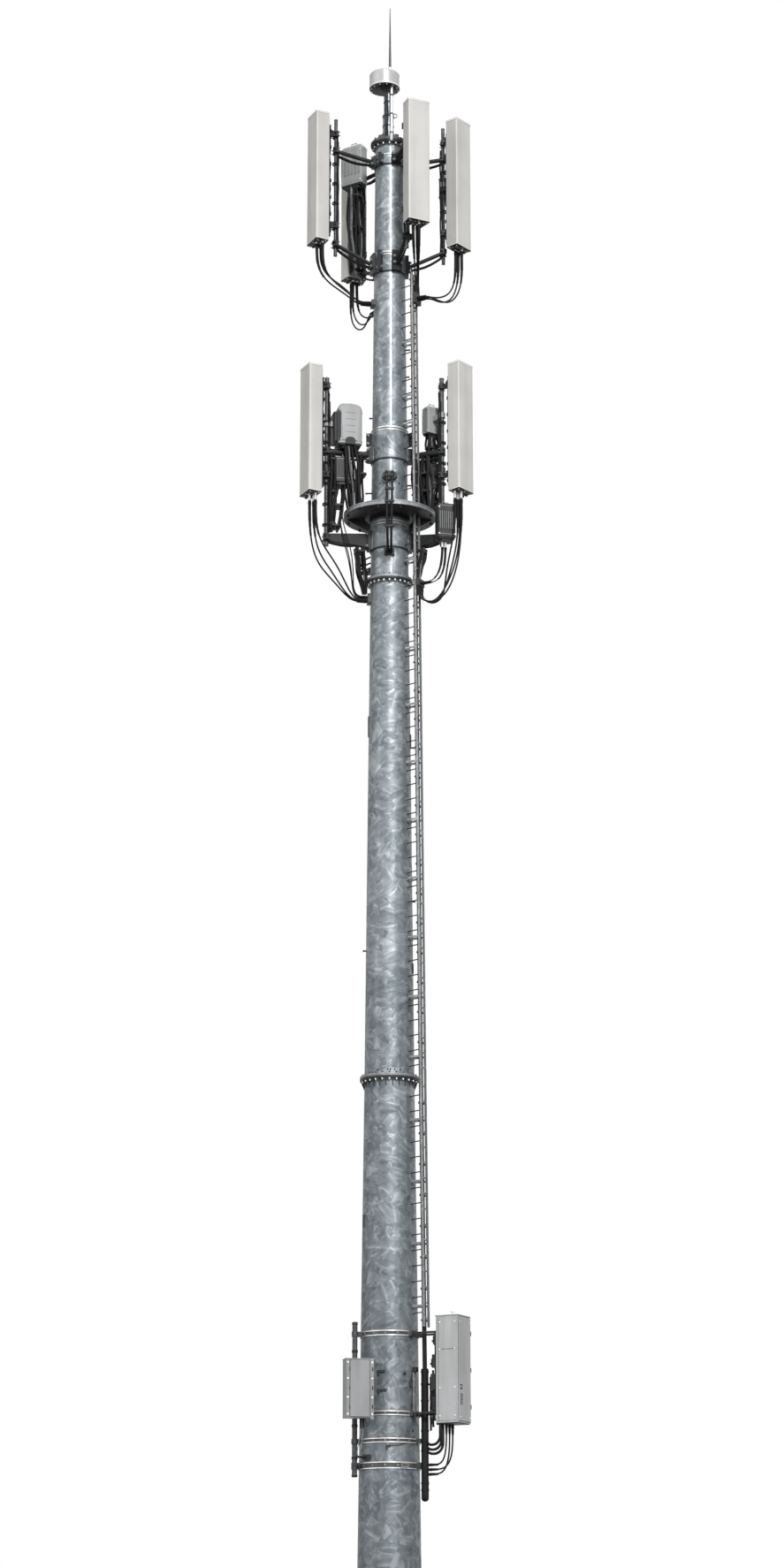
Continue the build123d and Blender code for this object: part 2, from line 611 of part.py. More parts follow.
def base_flange():
    """The base ring with its anchor holes, and a gusset between each two of them."""
    head = BASE_FLANGE_THICKNESS + GUSSET_HEIGHT
    toe = BASE_FLANGE_THICKNESS + GUSSET_TOE
    edge = BASE_FLANGE_RADIUS - GUSSET_EDGE_INSET
    with BuildPart() as flange:
        with BuildSketch():
            Circle(BASE_FLANGE_RADIUS)
            Circle(BASE_ENTRY_RADIUS, mode=Mode.SUBTRACT)
            with PolarLocations(ANCHOR_CIRCLE_RADIUS, ANCHOR_COUNT):
                Circle(ANCHOR_HOLE_RADIUS, mode=Mode.SUBTRACT)
        extrude(amount=BASE_FLANGE_THICKNESS)
        for number in range(ANCHOR_COUNT):
            with BuildSketch(radial_plane((number + 0.5) * 360 / ANCHOR_COUNT)):
                with BuildLine():
                    Polyline(
                        (pole_radius(BASE_FLANGE_THICKNESS) + SEAT_GAP, BASE_FLANGE_THICKNESS),
                        (edge, BASE_FLANGE_THICKNESS),
                        (edge, toe),
                        (pole_radius(head) + SEAT_GAP + GUSSET_TOE, head),
                        (pole_radius(head) + SEAT_GAP, head),
                        close=True,
                    )
                make_face()
            extrude(amount=GUSSET_THICKNESS / 2, both=True)
    return flange


def collar(foot, height, boss_angles, boss_middle, boss_height, ear_angles, ear_middle, ear_height):
    """A clamp collar on the taper, with a flat boss for each arm and bolting ears at its splits."""
    head = foot + height
    with BuildPart() as ring:
        revolve_outline(ring_outline(foot, head, SEAT_GAP, COLLAR_WALL))
        for angle in boss_angles:
            with BuildSketch(outward_plane(angle, around(pole_radius(head), angle, boss_middle))):
                Rectangle(BOSS_WIDTH, boss_height)
            extrude(amount=boss_radius(foot) - pole_radius(head))
        for angle in ear_angles:
            with BuildSketch(outward_plane(angle, around(pole_radius(head), angle, ear_middle))):
                Rectangle(EAR_WIDTH, ear_height)
            extrude(amount=COLLAR_WALL + EAR_REACH)
        clear_pole(foot, head)
    return ring


def clear_pole(low, high):
    """Cut away what a clamp would have inside the pole, between two heights."""
    revolve_outline(
        (
            (0, low),
            (pole_radius(low) + SEAT_GAP, low),
            (pole_radius(high) + SEAT_GAP, high),
            (0, high),
        ),
        mode=Mode.SUBTRACT,
    )


def boss_radius(foot):
    """How far from the axis the flat face of a collar's boss lies."""
    return pole_radius(foot) + COLLAR_WALL + BOSS_REACH


def pipe_clamp(pipe, pipe_radius, height):
    """The clamp at an arm's end, with the bore that its pipe stands in."""
    with BuildSketch(Plane.XY.offset(height - CLAMP_HEIGHT / 2)) as shell:
        with Locations(pipe):
            Circle(pipe_radius + SEAT_GAP + CLAMP_WALL)
    extrude(shell.sketch, amount=CLAMP_HEIGHT)
    with BuildSketch(Plane.XY.offset(height - CLAMP_HEIGHT)) as bore:
        with Locations(pipe):
            Circle(pipe_radius + SEAT_GAP)
    extrude(bore.sketch, amount=2 * CLAMP_HEIGHT, mode=Mode.SUBTRACT)


def arm_pad(sector, foot, height, root_height):
    """The pad that bolts an arm to its collar's boss."""
    seat = around(boss_radius(foot), sector.arm_angle, height)
    with BuildSketch(outward_plane(sector.arm_angle, seat)) as pad:
        Rectangle(BOSS_WIDTH, root_height)
    extrude(pad.sketch, amount=PAD_THICKNESS)


def round_arms(sectors, foot, collar_height, start, rise, arm_radius, pipe_radius):
    """Round arms, one to a sector, from the collar's pads to the clamps on the pipes."""
    with BuildPart() as arms:
        for sector in sectors:
            root = around(boss_radius(foot) + PAD_THICKNESS / 2, sector.arm_angle, start)
            tip = Vector(*sector.pipe, start + rise)
            arm_pad(sector, foot, start, min(collar_height, 4 * arm_radius))
            with BuildSketch(outward_plane(sector.arm_angle, root)):
                Circle(arm_radius)
            extrude(amount=(tip - root).length, dir=tip - root)
            pipe_clamp(sector.pipe, pipe_radius, tip.Z)
    return arms


def bracket_arms(sectors, foot, height):
    """Deep plate arms that taper from the collar's pads to the clamps on the pipes."""
    with BuildPart() as arms:
        for sector in sectors:
            root = around(boss_radius(foot) + PAD_THICKNESS, sector.arm_angle)
            span = Vector(*sector.pipe, 0) - root
            arm_pad(sector, foot, height, LOWER_LOW_ARM_ROOT + 2 * PAD_THICKNESS)
            side = Plane(origin=root, x_dir=span, z_dir=span.cross(Vector(0, 0, 1)))
            with BuildSketch(side):
                with BuildLine():
                    Polyline(
                        (0, height - LOWER_LOW_ARM_ROOT / 2),
                        (span.length, height - LOWER_LOW_ARM_TIP / 2),
                        (span.length, height + LOWER_LOW_ARM_TIP / 2),
                        (0, height + LOWER_LOW_ARM_ROOT / 2),
                        close=True,
                    )
                make_face()
            extrude(amount=LOWER_LOW_ARM_WIDTH / 2, both=True)
            pipe_clamp(sector.pipe, LOWER_PIPE_RADIUS, height)
    return arms


def pipes(sectors, foot, head, radius):
    """The upright pipes that the antennas hang on."""
    with BuildPart() as pieces:
        with BuildSketch(Plane.XY.offset(foot)):
            with Locations(*[sector.pipe for sector in sectors]):
                Circle(radius)
        extrude(amount=head - foot)
    return pieces


def panel_centre(sector):
    """The centre line of a sector's antenna, in plan."""
    return Vector(*sector.pipe, 0) + around(sector.standoff, sector.facing)


def panel(sector, head):
    """A panel antenna with its row of connectors underneath."""
    foot = head - sector.length
    centre = panel_centre(sector)
    with BuildPart() as antenna:
        with BuildSketch(facing_plane(sector.facing, (centre.X, centre.Y, foot))) as outline:
            with BuildLine():
                Polyline(
                    (-PANEL_WIDTH / 2, PANEL_DEPTH / 2),
                    (-PANEL_BACK_WIDTH / 2, -PANEL_DEPTH / 2),
                    (PANEL_BACK_WIDTH / 2, -PANEL_DEPTH / 2),
                    (PANEL_WIDTH / 2, PANEL_DEPTH / 2),
                    close=True,
                )
            make_face()
        extrude(amount=sector.length)
        uprights = antenna.edges().filter_by(Axis.Z)
        front = uprights.sort_by(lambda edge: -(edge.center() - centre).dot(around(1, sector.facing)))[:2]
        fillet(front, radius=PANEL_FRONT_FILLET)
        with BuildSketch(facing_plane(sector.facing, (centre.X, centre.Y, foot))):
            with GridLocations(CONNECTOR_PITCH, CONNECTOR_PITCH, 4, 2):
                Circle(CONNECTOR_RADIUS)
        extrude(amount=-CONNECTOR_LENGTH)
    return antenna


def tilt_brackets(sectors, head, pipe_radius):
    """Two brackets to a sector, clamped on its pipe and bolted flat on its antenna's back."""
    with BuildPart() as brackets:
        for sector in sectors:
            foot = head - sector.length
            for height in (foot + BRACKET_END_INSET, head - BRACKET_END_INSET):
                with BuildSketch(facing_plane(sector.facing, (*sector.pipe, height))):
                    Circle(pipe_radius + SEAT_GAP + CLAMP_WALL)
                    with Locations((0, (sector.standoff - PANEL_DEPTH / 2) / 2)):
                        Rectangle(BRACKET_BAR_WIDTH, sector.standoff - PANEL_DEPTH / 2)
                    Circle(pipe_radius + SEAT_GAP, mode=Mode.SUBTRACT)
                extrude(amount=BRACKET_BAR_HEIGHT)
    return brackets


def cap_plate():
    """The closing plate on the pole's top flange."""
    with BuildPart() as cap:
        with BuildSketch(Plane.XY.offset(POLE_TOP_HEIGHT)):
            Circle(CAP_RADIUS)
        extrude(amount=CAP_THICKNESS)
        chamfer(cap.edges().filter_by(GeomType.CIRCLE).group_by(Axis.Z)[-1], length=CAP_CHAMFER)
    return cap


def top_mast():
    """The stepped mast that stands on the cap plate and carries the drum."""
    foot = POLE_TOP_HEIGHT + CAP_THICKNESS
    with BuildPart() as mast:
        with BuildSketch(Plane.XY.offset(foot)):
            with Locations((MAST_SHIFT, 0)):
                Circle(MAST_PLATE_RADIUS)
        extrude(amount=MAST_PLATE_THICKNESS)
        with BuildSketch(Plane.XY.offset(foot)):
            with Locations((MAST_SHIFT, 0)):
                Circle(MAST_RADIUS)
        extrude(amount=MAST_STEP_HEIGHT)
        with BuildSketch(Plane.XY.offset(foot)):
            with Locations((MAST_SHIFT, 0)):
                Circle(MAST_NECK_RADIUS)
        extrude(amount=MAST_HEIGHT)
    return mast


def top_drum():
    """The drum-shaped antenna on the mast, rounded at its top edge."""
    foot = POLE_TOP_HEIGHT + CAP_THICKNESS + MAST_HEIGHT
    with BuildPart() as drum:
        with BuildSketch(Plane.XY.offset(foot)):
            with Locations((DRUM_SHIFT, 0)):
                Circle(DRUM_RADIUS)
        extrude(amount=DRUM_HEIGHT)
        fillet(drum.edges().group_by(Axis.Z)[-1], radius=DRUM_TOP_FILLET)
    return drum


def lightning_rod():
    """The tapered rod that stands on the drum."""
    foot = POLE_TOP_HEIGHT + CAP_THICKNESS + MAST_HEIGHT + DRUM_HEIGHT
    with BuildPart() as rod:
        with BuildSketch(Plane.XY.offset(foot)):
            with Locations((ROD_SHIFT, 0)):
                Circle(ROD_BASE_RADIUS)
        with BuildSketch(Plane.XY.offset(foot + ROD_HEIGHT)):
            with Locations((ROD_SHIFT, 0)):
                Circle(ROD_TIP_RADIUS)
        loft()
    return rod


def top_conduit():
    """The pipe in front of the mast that leads the rod's conductor down to the cap plate."""
    with BuildPart() as conduit:
        with BuildSketch(Plane.XY.offset(POLE_TOP_HEIGHT + CAP_THICKNESS + MAST_PLATE_THICKNESS)):
            with Locations((CONDUIT_SHIFT, -MAST_RADIUS - CONDUIT_RADIUS - SEAT_GAP)):
                Circle(CONDUIT_RADIUS)
        extrude(amount=MAST_HEIGHT - MAST_PLATE_THICKNESS)
    return conduit


def platform():
    """The cable platform: an annular plate with upturned rims and a slot for the cable ladder."""
    head = PLATFORM_FOOT + PLATFORM_RIM_HEIGHT
    plate = PLATFORM_FOOT + PLATFORM_PLATE
    with BuildPart() as ring:
        revolve_outline(
            (
                (PLATFORM_OPENING_RADIUS, PLATFORM_FOOT),
                (PLATFORM_RADIUS, PLATFORM_FOOT),
                (PLATFORM_RADIUS, head),
                (PLATFORM_RADIUS - PLATFORM_RIM_WALL, head),
                (PLATFORM_RADIUS - PLATFORM_RIM_WALL, plate),
                (PLATFORM_OPENING_RADIUS, plate),
            )
        )
        with BuildSketch(facing_plane(LADDER_ANGLE, (0, 0, PLATFORM_FOOT))):
            with Locations((0, SLOT_OUTER_RADIUS / 2)):
                Rectangle(2 * SLOT_HALF_WIDTH, SLOT_OUTER_RADIUS)
        extrude(amount=PLATFORM_PLATE, mode=Mode.SUBTRACT)
    return ring


def platform_gussets():
    """Four upright plates from the low collar that the platform rests on."""
    head = LOWER_LOW_COLLAR_FOOT + LOWER_LOW_COLLAR_HEIGHT
    root = head - GUSSET_ROOT_HEIGHT
    with BuildPart() as gussets:
        for angle in (0, 90, 180, 270):
            with BuildSketch(radial_plane(angle)):
                with BuildLine():
                    Polyline(
                        (pole_radius(root) + COLLAR_WALL + SEAT_GAP, root),
                        (GUSSET_REACH, PLATFORM_FOOT - PLATFORM_PLATE),
                        (GUSSET_REACH, PLATFORM_FOOT),
                        (PLATFORM_OPENING_RADIUS + PLATFORM_PLATE, PLATFORM_FOOT),
                        (pole_radius(head) + COLLAR_WALL + SEAT_GAP, head),
                        close=True,
                    )
                make_face()
            extrude(amount=GUSSET_PLATE / 2, both=True)
    return gussets


def ladder_line(height):
    """The point of the cable ladder's middle line at a height."""
    return around(pole_radius(height) + LADDER_STANDOFF, LADDER_ANGLE, height)


def ladder_section(low):
    """The plane square to the cable ladder at its low end, with x across it and y towards the pole."""
    start = ladder_line(low)
    heads = (FIRST_JOINT_HEIGHT, SECOND_JOINT_HEIGHT, LADDER_HEAD)
    joint = next(height for height in heads if height > low)
    return Plane(origin=start, x_dir=around(1, LADDER_ANGLE + 90), z_dir=ladder_line(joint) - start)


def ladder(low, high, keep_clear):
    """A straight length of cable ladder with its rungs, and its stand-offs clear of some heights."""
    section = ladder_section(low)
    length = (ladder_line(high) - ladder_line(low)).length
    rungs = int(length / RUNG_PITCH)
    margin = (length - (rungs - 1) * RUNG_PITCH) / 2
    with BuildPart() as rails:
        with BuildSketch(section):
            with GridLocations(STRINGER_SPACING, STRINGER_DEPTH, 2, 1):
                Rectangle(STRINGER_WIDTH, STRINGER_DEPTH)
        extrude(amount=length)
        for number in range(rungs):
            place = section.origin + section.z_dir * (margin + number * RUNG_PITCH)
            with BuildSketch(Plane(origin=place, x_dir=section.y_dir, z_dir=section.x_dir)):
                with Locations((RUNG_INSET, 0)):
                    Rectangle(RUNG_SIZE, RUNG_SIZE)
            extrude(amount=STRINGER_SPACING / 2, both=True)
        for height in standoff_heights(low, high, keep_clear):
            ladder_standoff(height)
    return rails


def standoff_heights(low, high, keep_clear):
    """Even heights for stand-offs, each lifted over what is in its way around the pole."""
    count = int((high - low - 2 * STANDOFF_INSET) / STANDOFF_PITCH) + 1
    heights = []
    for number in range(count):
        height = low + STANDOFF_INSET + number * STANDOFF_PITCH
        for foot, head in keep_clear:
            if foot - STANDOFF_PLATE_HEIGHT < height < head + STANDOFF_PLATE_HEIGHT:
                height = head + STANDOFF_PLATE_HEIGHT
        heights.append(height)
    return heights


def ladder_standoff(height):
    """Two bars from the ladder's stringers to a flat plate against the pole."""
    seat = pole_radius(height - STANDOFF_PLATE_HEIGHT / 2) + SEAT_GAP
    reach = pole_radius(height) + LADDER_STANDOFF - seat
    with BuildSketch(outward_plane(LADDER_ANGLE, around(seat, LADDER_ANGLE, height))) as plate:
        Rectangle(STRINGER_SPACING + STRINGER_WIDTH, STANDOFF_PLATE_HEIGHT)
    extrude(plate.sketch, amount=STANDOFF_PLATE)
    with BuildSketch(outward_plane(LADDER_ANGLE, around(seat, LADDER_ANGLE, height))) as bars:
        with GridLocations(STRINGER_SPACING, STANDOFF_BAR, 2, 1):
            Rectangle(STRINGER_WIDTH, STANDOFF_BAR)
    extrude(bars.sketch, amount=reach)


def feeders(low, high):
    """The feeder cables that are clipped side by side to the inner face of the rungs."""
    section = ladder_section(low)
    with BuildPart() as cables:
        with BuildSketch(section):
            with Locations((0, RUNG_INSET + RUNG_SIZE / 2 + FEEDER_RADIUS + SEAT_GAP)):
                with GridLocations(FEEDER_PITCH, FEEDER_PITCH, FEEDER_COUNT, 1):
                    Circle(FEEDER_RADIUS)
        extrude(amount=(ladder_line(high) - ladder_line(low)).length)
    return cables


def radio(unit, pipe_radius):
    """A radio unit with the clamp that holds it beside its pipe."""
    pipe = unit.sector.pipe
    middle = (unit.foot + unit.head) / 2
    near = Vector(*pipe, unit.foot) + around(unit.near, unit.angle)
    with BuildPart() as piece:
        with BuildSketch(facing_plane(unit.angle, near)):
            with Locations((0, unit.depth / 2)):
                RectangleRounded(unit.width, unit.depth, RADIO_FILLET)
        extrude(amount=unit.head - unit.foot)
        crown = piece.edges().group_by(Axis.Z)[-1]
        fillet(crown, radius=min(unit.top_radius, piece.part.max_fillet(crown, max_iterations=20)))
        with BuildSketch(facing_plane(unit.angle, (*pipe, middle - RADIO_CLAMP_HEIGHT / 2))):
            Circle(pipe_radius + SEAT_GAP + CLAMP_WALL)
            with Locations((0, unit.near / 2)):
                Rectangle(BRACKET_BAR_WIDTH, unit.near + 2 * RADIO_PLATE)
            Circle(pipe_radius + SEAT_GAP, mode=Mode.SUBTRACT)
        extrude(amount=RADIO_CLAMP_HEIGHT)
        with BuildSketch(facing_plane(unit.angle, (*pipe, unit.foot))):
            Circle(pipe_radius + SEAT_GAP)
        extrude(amount=unit.head - unit.foot, mode=Mode.SUBTRACT)
        with BuildSketch(facing_plane(unit.angle, near)):
            with Locations((0, unit.depth / 2)):
                with GridLocations(GLAND_PITCH, GLAND_PITCH, GLAND_COUNT, 1):
                    Circle(GLAND_RADIUS)
        extrude(amount=-GLAND_LENGTH)
    return piece


def glands(plane, columns, rows=1, pitch=GLAND_PITCH, radius=GLAND_RADIUS):
    """Rows of cable glands on a flat face."""
    with BuildSketch(plane) as row:
        with GridLocations(pitch, pitch, columns, rows):
            Circle(radius)
    extrude(row.sketch, amount=GLAND_LENGTH)


def feeder_block(height, tall, upward, outward, downward):
    """A connector block on the ladder's outer face, with rows of glands on three of its sides."""
    seat = pole_radius(height - tall / 2) + LADDER_STANDOFF + STRINGER_DEPTH / 2 + SEAT_GAP
    middle = seat + BLOCK_DEPTH / 2
    across = around(1, LADDER_ANGLE + 90)
    with BuildSketch(outward_plane(LADDER_ANGLE, around(seat, LADDER_ANGLE, height))) as face:
        Rectangle(BLOCK_WIDTH, tall)
    extrude(face.sketch, amount=BLOCK_DEPTH)
    if upward:
        top = Plane(around(middle, LADDER_ANGLE, height + tall / 2), x_dir=across, z_dir=(0, 0, 1))
        glands(top, upward)
    if outward:
        glands(outward_plane(LADDER_ANGLE, around(seat + BLOCK_DEPTH, LADDER_ANGLE, height)), outward)
    if downward:
        bottom = Plane(around(middle, LADDER_ANGLE, height - tall / 2), x_dir=across, z_dir=(0, 0, -1))
        glands(bottom, downward, pitch=LOWER_BLOCK_PITCH)


def feeder_blocks():
    """The two connector blocks, where the feeders meet the cables of each tier."""
    with BuildPart() as blocks:
        feeder_block(UPPER_BLOCK_HEIGHT, UPPER_BLOCK_TALL, GLAND_COUNT, GLAND_COUNT, 0)
        feeder_block(LOWER_BLOCK_HEIGHT, LOWER_BLOCK_TALL, 0, GLAND_COUNT, LOWER_BLOCK_COUNT)
    return blocks


def cable_ports():
    """The cable entries on the pole, each with its glands on a flat face."""
    with BuildPart() as ports:
        for port in PORTS:
            face = pole_radius(port.height) + PORT_REACH
            inner = pole_radius(port.height) - port.width / 2
            with BuildSketch(outward_plane(port.angle, around(inner, port.angle, port.height))):
                Rectangle(port.width, port.tall)
            extrude(amount=face - inner)
            clear_pole(port.height - port.tall / 2, port.height + port.tall / 2)
            seat = outward_plane(port.angle, around(face, port.angle, port.height))
            glands(seat, port.columns, port.rows, port.pitch, port.gland_radius)
    return ports


def cable_hood():
    """The oval hood over the front cable entry, with its two wide glands."""
    low, high = HOOD_HEIGHT - HOOD_TALL / 2, HOOD_HEIGHT + HOOD_TALL / 2
    face = pole_radius(HOOD_HEIGHT) + HOOD_REACH
    inner = pole_radius(HOOD_HEIGHT) / 2
    with BuildPart() as hood:
        with BuildSketch(outward_plane(-90, around(inner, -90, HOOD_HEIGHT))):
            Ellipse(HOOD_WIDTH / 2, HOOD_TALL / 2)
        extrude(amount=face - inner)
        clear_pole(low, high)
        seat = outward_plane(-90, around(face, -90, HOOD_HEIGHT))
        glands(seat, 2, pitch=HOOD_GLAND_PITCH, radius=FRONT_GLAND_RADIUS)
    return hood


def band(low, high):
    """A steel band around the pole's taper."""
    revolve_outline(ring_outline(low, high, SEAT_GAP, BAND_WALL))


def band_boss(low, high, angle, width, reach):
    """A flat-faced boss on a band, as far out from the pole's surface as its reach."""
    inner = pole_radius(high) - BAND_ROOT
    with BuildSketch(outward_plane(angle, around(inner, angle, (low + high) / 2))) as boss:
        Rectangle(width, high - low)
    extrude(boss.sketch, amount=pole_radius(low) + reach - inner)


def equipment_bands():
    """The four bands at the pole's foot, with what they hold the pipe, frames and closure by."""
    pipe_angle = degrees(atan2(EQUIPMENT_PIPE[1], EQUIPMENT_PIPE[0]))
    pipe_reach = hypot(*EQUIPMENT_PIPE)
    bore = EQUIPMENT_PIPE_RADIUS + SEAT_GAP
    with BuildPart() as bands:
        for low, high in (TOP_BAND, FRAME_BAND, MIDDLE_BAND, FOOT_BAND):
            band(low, high)
            band_boss(low, high, pipe_angle, EQUIPMENT_PIPE_RADIUS, pipe_reach - pole_radius(low))
            if (low, high) in (TOP_BAND, FRAME_BAND):
                band_boss(low, high, LADDER_ANGLE, FRAME_WIDTH, BAND_BOSS_REACH)
            else:
                reach = closure_radius() - CLOSURE_RADIUS - SEAT_GAP - pole_radius(low)
                band_boss(low, high, LADDER_ANGLE, CLOSURE_RADIUS, reach)
            clear_pole(low, high)
            with BuildSketch(Plane.XY.offset(low)) as ring:
                with Locations(EQUIPMENT_PIPE):
                    Circle(bore + BAND_WALL)
            extrude(ring.sketch, amount=high - low)
            with BuildSketch(Plane.XY.offset(low)) as hole:
                with Locations(EQUIPMENT_PIPE):
                    Circle(bore)
            extrude(hole.sketch, amount=high - low, mode=Mode.SUBTRACT)
    return bands


def closure_radius():
    """How far from the axis the splice closure stands: under the feeders' ends."""
    feeder_inset = RUNG_INSET + RUNG_SIZE / 2 + FEEDER_RADIUS + SEAT_GAP
    return pole_radius(FEEDER_FOOT) + LADDER_STANDOFF - feeder_inset


def equipment_pipe():
    """The upright pipe that the service box hangs on."""
    with BuildPart() as pipe:
        with BuildSketch(Plane.XY.offset(EQUIPMENT_PIPE_FOOT)):
            with Locations(EQUIPMENT_PIPE):
                Circle(EQUIPMENT_PIPE_RADIUS)
        extrude(amount=EQUIPMENT_PIPE_HEAD - EQUIPMENT_PIPE_FOOT)
    return pipe


def service_box():
    """The flat box in front of the equipment pipe."""
    with BuildPart() as box:
        with BuildSketch(facing_plane(BOX_FACING, (*EQUIPMENT_PIPE, BOX_FOOT))):
            with Locations((BOX_SIDE_SHIFT, BOX_STANDOFF + BOX_DEPTH / 2)):
                RectangleRounded(BOX_WIDTH, BOX_DEPTH, CABINET_FILLET)
        extrude(amount=BOX_HEAD - BOX_FOOT)
        with BuildSketch(facing_plane(BOX_FACING, (*EQUIPMENT_PIPE, BOX_FOOT))):
            with Locations((BOX_GLAND_SHIFT, BOX_STANDOFF + BOX_DEPTH / 2)):
                with GridLocations(BOX_GLAND_PITCH, BOX_GLAND_PITCH, 2, 1):
                    Circle(THIN_GLAND_RADIUS)
        extrude(amount=-BOX_GLAND_LENGTH)
    return box


def service_box_brackets():
    """Two brackets from the equipment pipe to the service box's back."""
    with BuildPart() as brackets:
        for height in BOX_CLAMP_HEIGHTS:
            with BuildSketch(facing_plane(BOX_FACING, (*EQUIPMENT_PIPE, height))):
                Circle(EQUIPMENT_PIPE_RADIUS + SEAT_GAP + CLAMP_WALL)
                with Locations((0, BOX_STANDOFF / 2)):
                    Rectangle(BRACKET_BAR_WIDTH, BOX_STANDOFF)
                Circle(EQUIPMENT_PIPE_RADIUS + SEAT_GAP, mode=Mode.SUBTRACT)
            extrude(amount=BRACKET_BAR_HEIGHT)
    return brackets


def cabinet():
    """The tall cabinet that hangs outside the splice closure."""
    back = around(CABINET_BACK, LADDER_ANGLE, CABINET_FOOT)
    with BuildPart() as body:
        with BuildSketch(facing_plane(LADDER_ANGLE, back)):
            with Locations((0, CABINET_DEPTH / 2)):
                RectangleRounded(CABINET_WIDTH, CABINET_DEPTH, CABINET_FILLET)
        extrude(amount=CABINET_HEAD - CABINET_FOOT)
        with BuildSketch(facing_plane(LADDER_ANGLE, back)):
            with Locations((0, CABINET_GLAND_INSET)):
                with GridLocations(CABINET_GLAND_PITCH, CABINET_GLAND_PITCH, GLAND_COUNT, 1):
                    Circle(GLAND_RADIUS)
        extrude(amount=-GLAND_LENGTH)
    return body


def cabinet_frames():
    """Two frames that carry the cabinet: a plate on the band, two bars and a plate on its back."""
    with BuildPart() as frames:
        for low, high in (TOP_BAND, FRAME_BAND):
            near = pole_radius(low) + BAND_BOSS_REACH
            middle = (low + high) / 2
            for face in (near, CABINET_BACK - FRAME_PLATE):
                with BuildSketch(outward_plane(LADDER_ANGLE, around(face, LADDER_ANGLE, middle))):
                    Rectangle(FRAME_WIDTH, high - low)
                extrude(amount=FRAME_PLATE)
            with BuildSketch(outward_plane(LADDER_ANGLE, around(near, LADDER_ANGLE, middle))):
                with GridLocations(FRAME_WIDTH - FRAME_BAR, FRAME_BAR, 2, 1):
                    Rectangle(FRAME_BAR, FRAME_BAR)
            extrude(amount=CABINET_BACK - near)
    return frames


def splice_closure():
    """The long closure with domed ends that the feeders run into."""
    with BuildPart() as closure:
        with BuildSketch(Plane.XY.offset(CLOSURE_FOOT)):
            with Locations(around(closure_radius(), LADDER_ANGLE)):
                Circle(CLOSURE_RADIUS)
        extrude(amount=FEEDER_FOOT - CLOSURE_GAP - CLOSURE_FOOT)
        fillet(closure.edges().group_by(Axis.Z)[0], radius=CLOSURE_ROUND)
        middle = around(closure_radius(), LADDER_ANGLE, CLOSURE_GLAND_HEIGHT)
        with BuildSketch(outward_plane(LADDER_ANGLE, middle)):
            with GridLocations(CLOSURE_GLAND_PITCH, CLOSURE_GLAND_PITCH, 1, GLAND_COUNT):
                Circle(GLAND_RADIUS)
        extrude(amount=CLOSURE_RADIUS + GLAND_LENGTH)
    return closure


def corner_radii(route):
    """The radius at each corner of a route, as large as the shorter run beside it allows."""
    radii = []
    for before, corner, after in zip(route, route[1:], route[2:]):
        arriving, leaving = corner - before, after - corner
        half_turn = radians(arriving.get_angle(leaving) / 2)
        radii.append(CORNER_SHARE * min(arriving.length, leaving.length) / tan(half_turn))
    return radii


def cables(name, routes):
    """Free cables: round tubes along straight runs that are joined by arcs."""
    with BuildPart() as tubes:
        for diameter, points in routes:
            route = [Vector(*point) for point in points]
            route[0] += (route[1] - route[0]).normalized() * CABLE_END_GAP
            route[-1] += (route[-2] - route[-1]).normalized() * CABLE_END_GAP
            radii = corner_radii(route)
            with BuildLine() as path:
                FilletPolyline(*route, radius=radii)
            with BuildSketch(Plane(origin=route[0], z_dir=route[1] - route[0])) as section:
                Circle(diameter / 2)
            sweep(section.sketch, path=path.wire())
            length = path.wire().length
            rounded = [round(radius) for radius in radii]
            print(f"{name}: diameter {diameter:g}, length {length:.0f}, radii {rounded}")
    return tubes


def free_cables():
    """The jumpers of both tiers, the front pair, and the cables under the boxes."""
    groups = (
        ("jumpers_upper_left", UPPER_LEFT_ROUTES),
        ("jumpers_upper_right", UPPER_RIGHT_ROUTES),
        ("jumpers_lower_left", LOWER_LEFT_ROUTES),
        ("jumpers_lower_right", LOWER_RIGHT_ROUTES),
        ("front_cables", FRONT_ROUTES),
        ("cabinet_cables", CABINET_ROUTES),
        ("service_cables", SERVICE_ROUTES),
    )
    for name, routes in groups:
        save(cables(name, routes), name)


def main():
    """Build every piece and write it."""
    os.makedirs("parts", exist_ok=True)
    save(base_flange(), "base_flange")
    save(
        pole_section(BASE_FLANGE_THICKNESS, FIRST_JOINT_HEIGHT, LOWER_WALL, False, True),
        "lower_section",
    )
    save(
        pole_section(FIRST_JOINT_HEIGHT, SECOND_JOINT_HEIGHT, MIDDLE_WALL, True, True),
        "middle_section",
    )
    save(
        pole_section(SECOND_JOINT_HEIGHT, POLE_TOP_HEIGHT, UPPER_WALL, True, True),
        "upper_section",
    )
    save(cap_plate(), "cap_plate")
    save(top_mast(), "top_mast")
    save(top_drum(), "top_drum")
    save(lightning_rod(), "lightning_rod")
    save(top_conduit(), "top_conduit")
    upper_tier()
    lower_tier()
    cable_run()
    foot_equipment()
    free_cables()


